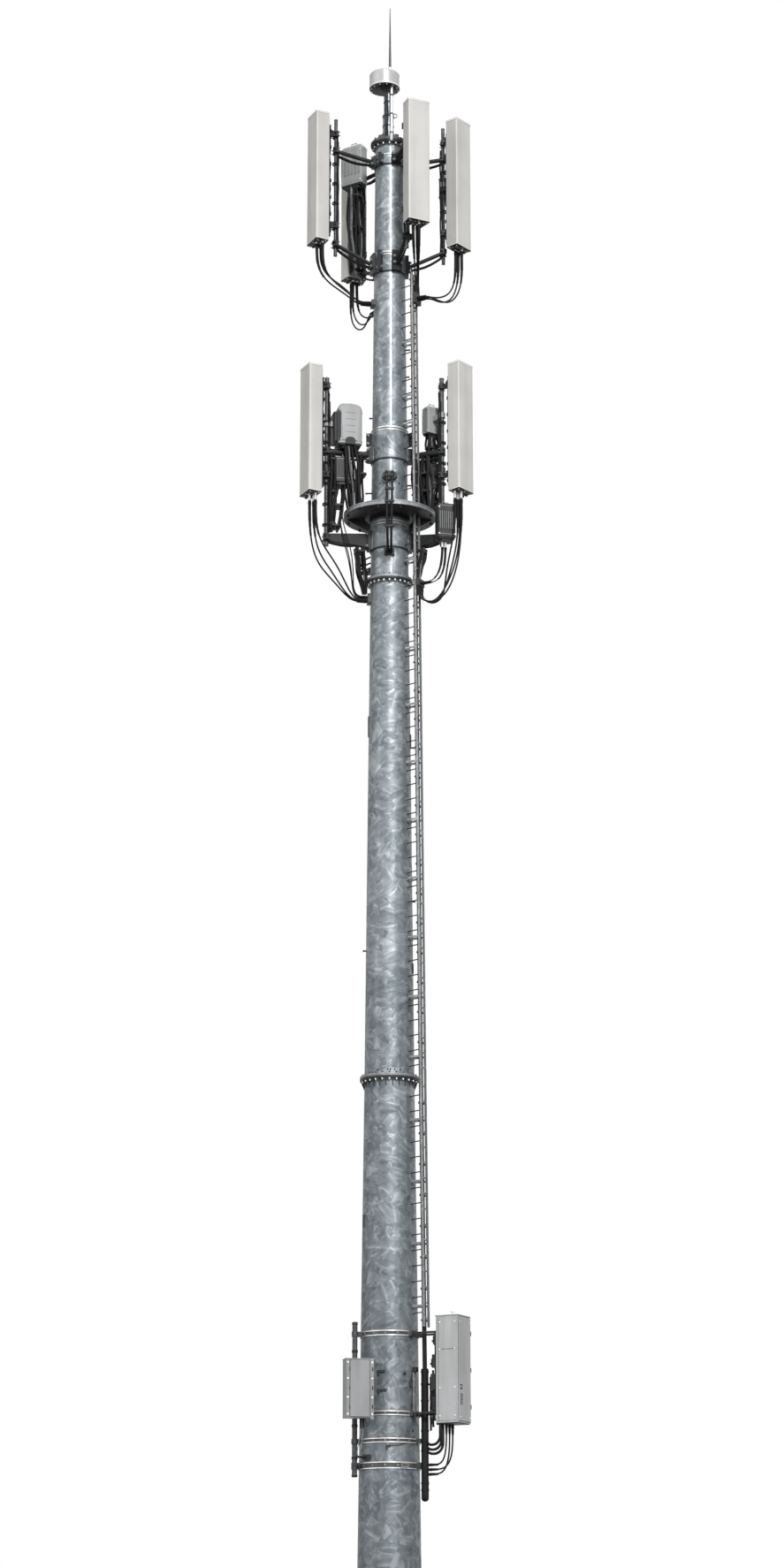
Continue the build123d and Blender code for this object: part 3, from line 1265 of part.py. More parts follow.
def upper_tier():
    """The upper tier's collars, arms, pipes, brackets and antennas."""
    angles = [sector.arm_angle for sector in UPPER_SECTORS]
    high_middle = UPPER_HIGH_COLLAR_FOOT + UPPER_HIGH_COLLAR_HEIGHT / 2
    low_middle = UPPER_LOW_COLLAR_FOOT + UPPER_LOW_COLLAR_HEIGHT / 2
    save(
        collar(
            UPPER_HIGH_COLLAR_FOOT, UPPER_HIGH_COLLAR_HEIGHT,
            angles, high_middle, UPPER_HIGH_COLLAR_HEIGHT,
            UPPER_EAR_ANGLES, high_middle, UPPER_HIGH_COLLAR_HEIGHT,
        ),
        "upper_tier_high_collar",
    )
    save(
        collar(
            UPPER_LOW_COLLAR_FOOT, UPPER_LOW_COLLAR_HEIGHT,
            angles, low_middle, UPPER_LOW_COLLAR_HEIGHT,
            UPPER_EAR_ANGLES, low_middle, UPPER_LOW_COLLAR_HEIGHT,
        ),
        "upper_tier_low_collar",
    )
    save(
        round_arms(
            UPPER_SECTORS, UPPER_HIGH_COLLAR_FOOT, UPPER_HIGH_COLLAR_HEIGHT,
            high_middle, UPPER_HIGH_ARM_RISE, UPPER_ARM_RADIUS, UPPER_PIPE_RADIUS,
        ),
        "upper_tier_high_arms",
    )
    save(
        round_arms(
            UPPER_SECTORS, UPPER_LOW_COLLAR_FOOT, UPPER_LOW_COLLAR_HEIGHT,
            low_middle, UPPER_LOW_ARM_RISE, UPPER_ARM_RADIUS, UPPER_PIPE_RADIUS,
        ),
        "upper_tier_low_arms",
    )
    save(pipes(UPPER_SECTORS, UPPER_PIPE_FOOT, UPPER_PIPE_HEAD, UPPER_PIPE_RADIUS), "upper_tier_pipes")
    save(tilt_brackets(UPPER_SECTORS, UPPER_PANEL_HEAD, UPPER_PIPE_RADIUS), "upper_tier_brackets")
    for sector in UPPER_SECTORS:
        save(panel(sector, UPPER_PANEL_HEAD), f"upper_antenna_{sector.name}")
    for unit in UPPER_RADIOS:
        save(radio(unit, UPPER_PIPE_RADIUS), unit.name)


def lower_tier():
    """The lower tier's collars, arms, pipes, brackets, antennas and cable platform."""
    angles = [sector.arm_angle for sector in LOWER_SECTORS]
    high_arm = LOWER_HIGH_COLLAR_FOOT + LOWER_HIGH_ARM_LIFT
    low_arm = LOWER_LOW_COLLAR_FOOT + LOWER_LOW_ARM_LIFT
    save(
        collar(
            LOWER_HIGH_COLLAR_FOOT, LOWER_HIGH_COLLAR_HEIGHT,
            angles, high_arm, 2 * LOWER_HIGH_ARM_LIFT,
            LOWER_EAR_ANGLES, LOWER_EAR_MIDDLE, LOWER_EAR_HEIGHT,
        ),
        "lower_tier_high_collar",
    )
    save(
        collar(
            LOWER_LOW_COLLAR_FOOT, LOWER_LOW_COLLAR_HEIGHT,
            angles, low_arm, 2 * LOWER_LOW_ARM_LIFT,
            (), 0, 0,
        ),
        "lower_tier_low_collar",
    )
    save(
        round_arms(
            LOWER_SECTORS, LOWER_HIGH_COLLAR_FOOT, 2 * LOWER_HIGH_ARM_LIFT,
            high_arm, 0, LOWER_ARM_RADIUS, LOWER_PIPE_RADIUS,
        ),
        "lower_tier_high_arms",
    )
    save(bracket_arms(LOWER_SECTORS, LOWER_LOW_COLLAR_FOOT, low_arm), "lower_tier_low_arms")
    save(pipes(LOWER_SECTORS, LOWER_PIPE_FOOT, LOWER_PIPE_HEAD, LOWER_PIPE_RADIUS), "lower_tier_pipes")
    save(tilt_brackets(LOWER_SECTORS, LOWER_PANEL_HEAD, LOWER_PIPE_RADIUS), "lower_tier_brackets")
    for sector in LOWER_SECTORS:
        save(panel(sector, LOWER_PANEL_HEAD), f"lower_antenna_{sector.name}")
    for unit in LOWER_RADIOS:
        save(radio(unit, LOWER_PIPE_RADIUS), unit.name)
    save(platform(), "cable_platform")
    save(platform_gussets(), "platform_gussets")


def cable_run():
    """The cable ladder in three lengths, and the feeders on each."""
    collars = (
        (LOWER_LOW_COLLAR_FOOT, LOWER_LOW_COLLAR_FOOT + LOWER_LOW_COLLAR_HEIGHT),
        (PLATFORM_FOOT, PLATFORM_FOOT + PLATFORM_RIM_HEIGHT),
        (LOWER_HIGH_COLLAR_FOOT, LOWER_HIGH_COLLAR_FOOT + LOWER_HIGH_COLLAR_HEIGHT),
    )
    lengths = (
        ("lower", LADDER_FOOT, FEEDER_FOOT, FIRST_JOINT_HEIGHT, ()),
        ("middle", FIRST_JOINT_HEIGHT, FIRST_JOINT_HEIGHT, SECOND_JOINT_HEIGHT, ()),
        ("upper", SECOND_JOINT_HEIGHT, SECOND_JOINT_HEIGHT, LADDER_HEAD, collars),
    )
    for name, foot, feeder_foot, head, keep_clear in lengths:
        save(ladder(foot, head - SPLICE_GAP, keep_clear), f"cable_ladder_{name}")
        save(feeders(feeder_foot, head - SPLICE_GAP), f"feeders_{name}")
    save(feeder_blocks(), "feeder_blocks")
    save(cable_ports(), "cable_ports")
    save(cable_hood(), "cable_hood")


def foot_equipment():
    """The bands near the pole's foot and everything that they carry."""
    save(equipment_bands(), "equipment_bands")
    save(equipment_pipe(), "equipment_pipe")
    save(service_box(), "service_box")
    save(service_box_brackets(), "service_box_brackets")
    save(cabinet(), "cabinet")
    save(cabinet_frames(), "cabinet_frames")
    save(splice_closure(), "splice_closure")


main()
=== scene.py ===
"""The finished look of a 30 m monopole cell tower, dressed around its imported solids.

Everything is in metres in the solids' own frame: the origin is the centre of the base flange's underside,
+Z runs up the pole and -Y is its front. Angles are in degrees from +X towards +Y.
"""

import logging
from collections.abc import Iterable, Sequence
from dataclasses import dataclass
from enum import Enum
from math import atan2, cos, degrees, pi, radians, sin

import bmesh
import bpy
from bpy.types import Material, Mesh, Node, NodeSocket, NodeTree, Object
from mathutils import Matrix, Vector


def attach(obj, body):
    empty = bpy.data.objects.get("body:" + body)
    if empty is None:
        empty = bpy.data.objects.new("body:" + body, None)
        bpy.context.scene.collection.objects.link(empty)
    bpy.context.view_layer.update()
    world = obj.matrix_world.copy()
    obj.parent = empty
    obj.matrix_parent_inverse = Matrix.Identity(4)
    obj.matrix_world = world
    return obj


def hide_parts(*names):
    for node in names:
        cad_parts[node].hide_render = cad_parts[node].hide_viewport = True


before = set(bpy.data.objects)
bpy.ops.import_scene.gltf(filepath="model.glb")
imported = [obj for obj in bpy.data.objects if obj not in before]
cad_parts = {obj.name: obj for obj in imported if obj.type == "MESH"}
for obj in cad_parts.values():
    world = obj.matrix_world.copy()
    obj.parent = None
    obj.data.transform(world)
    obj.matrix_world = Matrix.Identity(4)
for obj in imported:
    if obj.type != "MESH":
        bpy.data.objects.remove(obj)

LOG = logging.getLogger("tower")
BODY = "root"
SHARP_ANGLE = 32.0
LEVEL = Matrix().freeze()
SIDES = (-1.0, 1.0)
Colour = tuple[float, float, float]
Point = tuple[float, float, float]
Pair = tuple[float, float]


class Slot(Enum):
    """The record's material slots."""

    GALVANISED = "galvanised_steel"
    DARK = "dark_steel"
    BRIGHT = "bright_steel"
    PAINTED = "painted_steel"
    ALLOY = "painted_alloy"
    RADOME = "radome"
    CABLE = "cable_black"


class Stiffness(Enum):
    """How a free cable holds its curve."""

    STIFF = "stiff"
    MEDIUM = "medium"


def polar(radius: float, angle: float, height: float = 0.0) -> Vector:
    """The point at a radius, an angle in degrees from +X towards +Y, and a height around the pole."""
    turn = radians(angle)
    return Vector((radius * cos(turn), radius * sin(turn), height))


def facing(origin: Sequence[float], angle: float) -> Matrix:
    """An upright frame at an origin, whose y looks outward at an angle in degrees and whose z runs up."""
    return Matrix.Translation(Vector(origin)) @ Matrix.Rotation(radians(angle - 90), 4, "Z")


def aimed(origin: Sequence[float], direction: Sequence[float]) -> Matrix:
    """A frame at an origin, whose z runs along a direction."""
    return Matrix.Translation(Vector(origin)) @ Vector(direction).to_track_quat("Z", "Y").to_matrix().to_4x4()


def at(x: float, y: float, z: float = 0.0) -> Matrix:
    """The tower's own frame moved to a point."""
    return Matrix.Translation((x, y, z))


@dataclass(frozen=True)
class Taper:
    """The pole's outer radius at its stations."""

    stations: tuple[Pair, ...] = ((0.0, 0.53), (11.335, 0.392), (19.56, 0.312), (27.39, 0.238))

    def radius(self, height: float) -> float:
        """The outer radius at a height.

        Args:
            height: Height above the base.

        Returns:
            The radius.
        """
        for (low, low_radius), (high, high_radius) in zip(self.stations, self.stations[1:]):
            if height <= high:
                return low_radius + (height - low) / (high - low) * (high_radius - low_radius)
        return self.stations[-1][1]

    def stand(self, angle: float, height: float, out: float = 0.0) -> Matrix:
        """The frame at an angle and a height, out from the pole's skin, whose y looks outward."""
        return facing(polar(self.radius(height) + out, angle, height), angle)


POLE = Taper()
JOINTS = (11.335, 19.56)
DECK = 20.7


class NodeSheet:
    """A node tree under construction."""

    def __init__(self, tree: NodeTree) -> None:
        """Keep the tree."""
        self.tree = tree

    def add(self, kind: str, settings: dict[str, object], inputs: dict[object, object]) -> Node:
        """Add a node.

        Args:
            kind: The node's type.
            settings: Its properties.
            inputs: Values or sockets by input name or number.

        Returns:
            The node.
        """
        node = self.tree.nodes.new(kind)
        for name, value in settings.items():
            setattr(node, name, value)
        for name, value in inputs.items():
            self.feed(node.inputs[name], value)
        return node

    def feed(self, socket: NodeSocket, value: object) -> None:
        """Link a socket to another, or set it to a number, a vector or a colour.

        Args:
            socket: The input.
            value: What it gets.
        """
        if isinstance(value, NodeSocket):
            self.tree.links.new(value, socket)
        elif socket.type == "RGBA":
            socket.default_value = (*value, 1.0)
        else:
            socket.default_value = value

    def math(self, operation: str, first: object, second: object = 0.0, clamp: bool = False) -> NodeSocket:
        """Combine two values by a math operation, and keep the result from 0 to 1 where told."""
        settings = {"operation": operation, "use_clamp": clamp}
        return self.add("ShaderNodeMath", settings, {0: first, 1: second}).outputs[0]


class Shading(NodeSheet):
    """A material's node tree under construction, on Object coordinates."""

    def __init__(self, name: str) -> None:
        """Start a material with a Principled surface.

        Args:
            name: The material's name.
        """
        self.material = bpy.data.materials.new(name)
        self.material.use_nodes = True
        super().__init__(self.material.node_tree)
        self.tree.nodes.clear()
        self.surface = self.tree.nodes.new("ShaderNodeBsdfPrincipled")
        self.add("ShaderNodeOutputMaterial", {}, {0: self.surface.outputs[0]})
        self.place = self.tree.nodes.new("ShaderNodeTexCoord").outputs["Object"]

    def axis(self, vector: NodeSocket, number: int) -> NodeSocket:
        """One part of a vector: x, y or z."""
        return self.add("ShaderNodeSeparateXYZ", {}, {0: vector}).outputs[number]

    def stretched(self, scale: Point, vector: NodeSocket | None = None) -> NodeSocket:
        """Coordinates, the object's own unless others are given, scaled along each axis."""
        return self.add("ShaderNodeMapping", {}, {"Vector": vector or self.place, "Scale": scale}).outputs[0]

    def noise(self, scale: float, detail: float, warp: float = 0.0, vector: object = None) -> NodeSocket:
        """A noise pattern with its features to a metre, its octaves and its distortion."""
        inputs = {"Vector": vector or self.place, "Scale": scale, "Detail": detail, "Distortion": warp}
        return self.add("ShaderNodeTexNoise", {}, inputs).outputs["Fac"]

    def cells(self, scale: float, feature: str, vector: NodeSocket) -> Node:
        """A Voronoi pattern with its cells to a metre and its feature."""
        return self.add("ShaderNodeTexVoronoi", {"feature": feature}, {"Vector": vector, "Scale": scale})

    def ramp(self, value: NodeSocket, stops: Sequence[Pair]) -> NodeSocket:
        """Map a value through grey stops.

        Args:
            value: The value to map.
            stops: Pairs of position and grey.

        Returns:
            The mapped value.
        """
        node = self.add("ShaderNodeValToRGB", {}, {"Fac": value})
        elements = node.color_ramp.elements
        while len(elements) < len(stops):
            elements.new(0.5)
        for element, (position, grey) in zip(elements, stops):
            element.position = position
            element.color = (grey, grey, grey, 1.0)
        return node.outputs["Color"]

    def mix(self, factor: object, first: object, second: object, blend: str = "MIX") -> NodeSocket:
        """Blend two colours, of which the second has the share of the factor."""
        settings = {"data_type": "RGBA", "blend_type": blend}
        return self.add("ShaderNodeMix", settings, {0: factor, 6: first, 7: second}).outputs[2]

    def set(self, **inputs: object) -> None:
        """Set or link inputs of the surface, with _ for a space in their names."""
        for name, value in inputs.items():
            self.feed(self.surface.inputs[name.replace("_", " ")], value)

    def bump(self, height: NodeSocket, strength: float, distance: float) -> None:
        """Roughen the surface by a height pattern, at a share of a height in metres."""
        inputs = {"Height": height, "Strength": strength, "Distance": distance}
        self.set(Normal=self.add("ShaderNodeBump", {}, inputs).outputs[0])


@dataclass(frozen=True)
class Finish:
    """A material, and the record's slot that it stands for."""

    material: Material
    slot: Slot


@dataclass(frozen=True)
class SpangleFinish:
    """Hot-dip galvanised steel: crystal patches, feathered strokes, runs of dull zinc, and painted shade that
    darkens it towards the foot.
    """

    name: str
    dark: Colour
    light: Colour
    patch: float = 3.6
    metallic: float = 0.45
    roughness: Pair = (0.4, 0.56)
    gloss: float = 0.2
    # foot_tone and head_tone: the painted shade multiplied into the colour at the two ends of its height span.
    foot_tone: float = 0.5
    head_tone: float = 0.86
    painted_shade_span: Pair = (3.0, 14.0)
    sleeve: bool = False

    def make(self) -> Finish:
        """Build the finish.

        Returns:
            The finish.
        """
        sheet = Shading(self.name)
        drift = sheet.add("ShaderNodeTexNoise", {}, {"Vector": sheet.place, "Scale": 2.2, "Detail": 2.0})
        bent = sheet.mix(0.34, sheet.place, drift.outputs["Color"], "ADD")
        wide = sheet.cells(self.patch, "F1", bent).outputs["Color"]
        fine = sheet.cells(self.patch * 2.7, "SMOOTH_F1", bent)
        fine.inputs["Smoothness"].default_value = 0.35
        spin = sheet.add("ShaderNodeVectorMath", {"operation": "SCALE"}, {0: wide, "Scale": 6.2}).outputs[0]
        turned = sheet.add("ShaderNodeVectorRotate", {"rotation_type": "EULER_XYZ"},
                           {"Vector": sheet.place, "Rotation": spin})
        feather = sheet.noise(6.5, 4.0, 1.5, sheet.stretched((1.0, 1.0, 0.22), turned.outputs[0]))
        strokes = sheet.ramp(feather, ((0.4, 0.0), (0.55, 0.35), (0.66, 1.0)))
        tone = sheet.math("MULTIPLY", sheet.add("ShaderNodeSeparateColor", {}, {0: wide}).outputs[0], 0.2)
        small = sheet.add("ShaderNodeSeparateColor", {}, {0: fine.outputs["Color"]}).outputs[1]
        tone = sheet.math("ADD", tone, sheet.math("MULTIPLY", small, 0.2))
        tone = sheet.math("ADD", tone, sheet.math("MULTIPLY", strokes, 0.54))
        tone = sheet.math("ADD", tone, sheet.math("MULTIPLY", sheet.noise(1.1, 3.0), 0.24), True)
        line, gate = ((0.0, 1.0), (0.022, 0.5), (0.05, 0.0)), ((0.5, 0.0), (0.58, 1.0))
        seams = self.rims(sheet, bent, 1.6, line, 3.4, gate)
        runs = sheet.noise(1.0, 4.0, 0.4, sheet.stretched((9.0, 9.0, 0.35)))
        runs = sheet.ramp(runs, ((0.36, 1.0), (0.6, 0.0)))
        colour = sheet.mix(tone, self.dark, self.light)
        pale = tuple(min(1.0, part * 1.3) for part in self.light)
        colour = sheet.mix(sheet.math("MULTIPLY", seams, 0.08), colour, pale)
        arcs = self.rims(sheet, bent, 0.75, ((0.0, 1.0), (0.02, 0.0)), 2.1, ((0.52, 0.0), (0.6, 1.0)))
        scorched, dull = (tuple(part * share for part in self.dark) for share in (0.35, 0.55))
        colour = sheet.mix(sheet.math("MULTIPLY", arcs, 0.28), colour, scorched)
        # Painted shade: the colour is multiplied by a tone that rises with height, darkest at the foot.
        span = {0: sheet.axis(sheet.place, 2), 1: self.painted_shade_span[0], 2: self.painted_shade_span[1], 3: self.foot_tone}
        painted_shade = sheet.add("ShaderNodeMapRange", {}, {**span, 4: self.head_tone}).outputs[0]
        painted_shade_colour = sheet.add("ShaderNodeCombineColor", {}, {0: painted_shade, 1: painted_shade, 2: painted_shade}).outputs[0]
        colour = sheet.mix(1.0, colour, painted_shade_colour, "MULTIPLY")
        colour = sheet.mix(sheet.math("MULTIPLY", runs, 0.22), colour, dull)
        span = {0: tone, 3: self.roughness[1], 4: self.roughness[0]}
        rough = sheet.add("ShaderNodeMapRange", {}, span).outputs[0]
        if self.sleeve:
            colour = sheet.mix(self.fittings(sheet), colour, (0.03, 0.031, 0.033))
        sheet.set(Base_Color=colour, Roughness=rough, Metallic=self.metallic, Specular_IOR_Level=self.gloss)
        sheet.bump(sheet.math("SUBTRACT", strokes, sheet.math("MULTIPLY", arcs, 0.6)), 0.4, 0.004)
        return Finish(sheet.material, Slot.GALVANISED)

    def rims(
        self, sheet: Shading, bent: NodeSocket, size: float, edge: Sequence[Pair], scale: float,
        gate: Sequence[Pair],
    ) -> NodeSocket:
        """Rims of crystal cells, of which a noise lets some through, each mapped by its own stops."""
        distance = sheet.cells(self.patch * size, "DISTANCE_TO_EDGE", bent).outputs["Distance"]
        return sheet.math("MULTIPLY", sheet.ramp(distance, edge), sheet.ramp(sheet.noise(scale, 2.0), gate))

    def fittings(self, sheet: Shading) -> NodeSocket:
        """Where a collar's bosses and ears stand out of its sleeve.

        Args:
            sheet: The material's tree.

        Returns:
            1 on the bosses and ears and 0 on the sleeve.
        """
        flat = {0: sheet.axis(sheet.place, 0), 1: sheet.axis(sheet.place, 1), 2: 0.0}
        flat = sheet.add("ShaderNodeCombineXYZ", {}, flat).outputs[0]
        reach = sheet.add("ShaderNodeVectorMath", {"operation": "LENGTH"}, {0: flat}).outputs["Value"]
        (low, low_radius), (high, high_radius) = POLE.stations[-2:]
        slope = (high_radius - low_radius) / (high - low)
        skin = sheet.math("MULTIPLY", sheet.axis(sheet.place, 2), slope)
        skin = sheet.math("ADD", skin, low_radius - slope * low)
        return sheet.math("GREATER_THAN", sheet.math("SUBTRACT", reach, skin), 0.021)


@dataclass(frozen=True)
class CoatFinish:
    """A painted, moulded or rubber surface with stains that run down and fine grain."""

    name: str
    slot: Slot
    base: Colour
    stain: Colour
    stain_share: float = 0.35
    streaks: Point = (7.0, 7.0, 0.5)
    roughness: float = 0.5
    metallic: float = 0.0
    grain: float = 220.0
    relief: float = 0.0006
    dust: float = 0.0
    gloss: float = 0.5

    def make(self) -> Finish:
        """Build the finish.

        Returns:
            The finish.
        """
        sheet = Shading(self.name)
        streak = sheet.noise(1.0, 5.0, 0.3, sheet.stretched(self.streaks))
        cloud = sheet.noise(1.7, 4.0)
        stain = sheet.math("ADD", streak, sheet.math("MULTIPLY", cloud, 0.6))
        stain = sheet.ramp(stain, ((0.62, 0.0), (0.98, 1.0)))
        colour = sheet.mix(sheet.math("MULTIPLY", stain, self.stain_share), self.base, self.stain)
        speck = sheet.ramp(sheet.noise(26.0, 2.0), ((0.66, 0.0), (0.74, 1.0)))
        colour = sheet.mix(sheet.math("MULTIPLY", speck, 0.18), colour, self.stain)
        if self.dust > 0.0:
            normal = sheet.add("ShaderNodeNewGeometry", {}, {}).outputs["Normal"]
            film = sheet.ramp(sheet.axis(normal, 2), ((0.1, 0.0), (0.9, 1.0)))
            colour = sheet.mix(sheet.math("MULTIPLY", film, self.dust), colour, (0.3, 0.3, 0.29))
        span = {0: cloud, 3: self.roughness - 0.07, 4: self.roughness + 0.1}
        rough = sheet.add("ShaderNodeMapRange", {}, span).outputs[0]
        sheet.set(Base_Color=colour, Roughness=rough, Metallic=self.metallic, Specular_IOR_Level=self.gloss)
        sheet.bump(sheet.noise(self.grain, 2.0), 0.4, self.relief)
        return Finish(sheet.material, self.slot)


class Finishes:
    """Every finish of the tower, made once."""

    def __init__(self) -> None:
        """Build the materials."""
        self.pole = SpangleFinish("pole_zinc", (0.068, 0.09, 0.106), (0.42, 0.455, 0.475)).make()
        self.sleeve = SpangleFinish("sleeve_zinc", (0.07, 0.09, 0.105), (0.38, 0.41, 0.43), sleeve=True).make()
        self.zinc = SpangleFinish("fitting_zinc", (0.18, 0.19, 0.2), (0.42, 0.435, 0.445), 14.0).make()
        # The seam strips' zinc is paler partly to paint the bright highlight line down the pole's front.
        self.strip = SpangleFinish("strip_zinc", (0.36, 0.37, 0.38), (0.6, 0.61, 0.61), 6.0, 0.3).make()
        self.aged = SpangleFinish("aged_zinc", (0.045, 0.048, 0.051), (0.15, 0.155, 0.16), 12.0, 0.2).make()
        even, shed = (4.0, 4.0, 4.0), (6.0, 6.0, 0.8)
        self.lead = CoatFinish("grey_cable", Slot.CABLE, (0.2, 0.2, 0.195), (0.1, 0.1, 0.1), 0.4, even,
                               gloss=0.3).make()
        self.bright = CoatFinish("bright_steel", Slot.BRIGHT, (0.7, 0.7, 0.68), (0.4, 0.39, 0.37), 0.4,
                                 roughness=0.34, metallic=0.6).make()
        self.dark = CoatFinish("dark_steel", Slot.DARK, (0.011, 0.0115, 0.012), (0.05, 0.05, 0.05), 0.45,
                               (3.0, 3.0, 2.0), grain=120.0, gloss=0.2).make()
        self.radome = CoatFinish("radome", Slot.RADOME, (0.56, 0.555, 0.535), (0.4, 0.39, 0.365), 0.6,
                                 (5.0, 5.0, 0.22), 0.42, 0.0, 300.0, 0.0003, gloss=0.35).make()
        self.drum = CoatFinish("drum_shell", Slot.RADOME, (0.45, 0.455, 0.455), (0.33, 0.33, 0.32), 0.5,
                               (3.0, 3.0, 0.5), 0.36, 0.15, 300.0, 0.0003, gloss=0.4).make()
        self.edge = CoatFinish("radome_edge", Slot.RADOME, (0.64, 0.635, 0.615), (0.47, 0.46, 0.44), 0.4,
                               roughness=0.4).make()
        self.alloy = CoatFinish("cast_alloy", Slot.ALLOY, (0.3, 0.305, 0.305), (0.13, 0.13, 0.13), 0.5, shed,
                                grain=160.0, relief=0.001, gloss=0.3).make()
        self.shade = CoatFinish("dark_alloy", Slot.DARK, (0.02, 0.0205, 0.022), (0.06, 0.06, 0.06), 0.5,
                                (6.0, 6.0, 1.0), grain=160.0, relief=0.001, gloss=0.25).make()
        self.paint = CoatFinish("cabinet_paint", Slot.PAINTED, (0.35, 0.36, 0.365), (0.21, 0.21, 0.205), 0.5,
                                (6.0, 6.0, 0.7), 0.42, grain=200.0, relief=0.0005, gloss=0.35).make()
        # door_paint is the cabinet paint made darker; on the cabinet's door it is painted shade.
        self.lid = CoatFinish("door_paint", Slot.PAINTED, (0.31, 0.32, 0.325), (0.19, 0.19, 0.185), 0.5, shed,
                              0.4, gloss=0.3).make()
        self.box = CoatFinish("box_paint", Slot.PAINTED, (0.225, 0.232, 0.238), (0.13, 0.13, 0.128), 0.5, shed,
                              0.44, gloss=0.3).make()
        self.rubber = CoatFinish("cable_rubber", Slot.CABLE, (0.006, 0.006, 0.0065), (0.02, 0.02, 0.02), 0.4,
                                 even, 0.5, 0.0, 300.0, 0.0004, 0.05, 0.15).make()
        self.boot = CoatFinish("boot_rubber", Slot.CABLE, (0.005, 0.005, 0.005), (0.018, 0.018, 0.018), 0.4,
                               even, 0.6, 0.0, 260.0, 0.0008, gloss=0.12).make()


FINISH = Finishes()


class Workpiece:
    """A mesh built up from simple closed shapes."""

    def __init__(self) -> None:
        """Start an empty mesh."""
        self.shape = bmesh.new()

    def add(self, points: Iterable[Sequence[float]], faces: Iterable[Sequence[int]], place: Matrix) -> None:
        """Add points in a frame, and the faces between them.

        Args:
            points: The points.
            faces: The faces, as numbers of points.
            place: The frame.
        """
        made = [self.shape.verts.new(place @ Vector(point)) for point in points]
        for face in faces:
            self.shape.faces.new([made[index] for index in face])

    def tube(self, rows: Sequence[Vector], around: int, place: Matrix = LEVEL) -> None:
        """A closed skin over rows of points.

        Args:
            rows: The points, row after row, anticlockwise seen from the last row.
            around: Points in a row.
            place: The frame.
        """
        last = len(rows) - around
        faces = [
            (row + i, row + (i + 1) % around, row + around + (i + 1) % around, row + around + i)
            for row in range(0, last, around) for i in range(around)
        ]
        self.add(rows, [*faces, tuple(reversed(range(around))), tuple(range(last, last + around))], place)

    def prism(self, place: Matrix, outline: Sequence[Pair], low: float, high: float) -> None:
        """An upright prism on an outline of corners in x and y, anticlockwise, between two heights."""
        self.tube([Vector((x, y, z)) for z in (low, high) for x, y in outline], len(outline), place)

    def block(self, place: Matrix, centre: Point, size: Point, chamfer: float = 0.002) -> None:
        """A block with chamfered upright edges.

        Args:
            place: The frame that it lies in.
            centre: Its middle.
            size: Its sides.
            chamfer: The cut at its upright edges.
        """
        x, y, cut = size[0] / 2, size[1] / 2, min(chamfer, size[0] / 4, size[1] / 4)
        outline = [
            (x, -y + cut), (x, y - cut), (x - cut, y), (-x + cut, y),
            (-x, y - cut), (-x, -y + cut), (-x + cut, -y), (x - cut, -y),
        ]
        self.prism(place @ at(*centre), outline, -size[2] / 2, size[2] / 2)

    def turned(self, place: Matrix, profile: Sequence[Pair], segments: int = 20) -> None:
        """A solid turned about the frame's z, closed at both ends.

        Args:
            place: The frame that it stands in.
            profile: Pairs of radius and z, from one end to the other.
            segments: Sides around.
        """
        rows = [(max(radius, 1e-4), z) for radius, z in profile]
        if rows[0][1] > rows[-1][1]:
            rows.reverse()
        points = [polar(radius, 360 * i / segments, z) for radius, z in rows for i in range(segments)]
        self.tube(points, segments, place)

    def ring(self, section: Sequence[Pair], segments: int = 96, place: Matrix = LEVEL) -> None:
        """A closed ring about the frame's z.

        Args:
            section: Corners of its section as radius and z, anticlockwise.
            segments: Sides around.
            place: The frame that it lies in.
        """
        count, total = len(section), len(section) * segments
        faces = [
            (i + j, (i + count) % total + j, (i + count) % total + (j + 1) % count, i + (j + 1) % count)
            for i in range(0, total, count) for j in range(count)
        ]
        points = [polar(radius, 360 * i / segments, z) for i in range(segments) for radius, z in section]
        self.add(points, faces, place)

    def band(
        self, inner: float, outer: float, low: float, high: float, segments: int = 96, place: Matrix = LEVEL
    ) -> None:
        """A ring of a plain section, between two radii and two heights."""
        self.ring([(inner, low), (outer, low), (outer, high), (inner, high)], segments, place)

    def rod(self, start: Sequence[float], end: Sequence[float], radius: float, segments: int = 12) -> None:
        """A round rod with eased ends.

        Args:
            start: One end.
            end: The other end.
            radius: Its radius.
            segments: Sides around.
        """
        run = Vector(end) - Vector(start)
        ease = min(radius * 0.25, run.length / 4)
        thin, long = radius - ease, run.length
        profile = ((thin, 0.0), (radius, ease), (radius, long - ease), (thin, long))
        self.turned(aimed(start, run), profile, segments)

    def bent(self, points: Sequence[Sequence[float]], radius: float, segments: int = 10) -> None:
        """A bent round bar along points.

        Args:
            points: The bar's centre line.
            radius: Its radius.
            segments: Sides around.
        """
        path = [Vector(point) for point in points]
        side = (path[1] - path[0]).orthogonal().normalized()
        rows = []
        for index, point in enumerate(path):
            before = point - path[index - 1] if index else path[1] - point
            after = path[index + 1] - point if index + 1 < len(path) else before
            tangent = (before.normalized() + after.normalized()).normalized()
            side = (side - tangent * side.dot(tangent)).normalized()
            across = tangent.cross(side)
            turns = [2 * pi * i / segments for i in range(segments)]
            rows += [point + (side * cos(turn) + across * sin(turn)) * radius for turn in turns]
        self.tube(rows, segments)

    def deliver(self, name: str, finish: Finish, slot: Slot | None = None) -> None:
        """Finish the mesh as a piece that rides on the tower.

        Args:
            name: The piece's name.
            finish: Its finish.
            slot: The record's slot that it would take its finish from; not used.
        """
        bmesh.ops.recalc_face_normals(self.shape, faces=self.shape.faces)
        mesh = bpy.data.meshes.new(name)
        self.shape.to_mesh(mesh)
        self.shape.free()
        place_piece(name, mesh, finish)


def blanks(count: int) -> Iterable[Workpiece]:
    """Empty meshes to build up."""
    return (Workpiece() for _ in range(count))


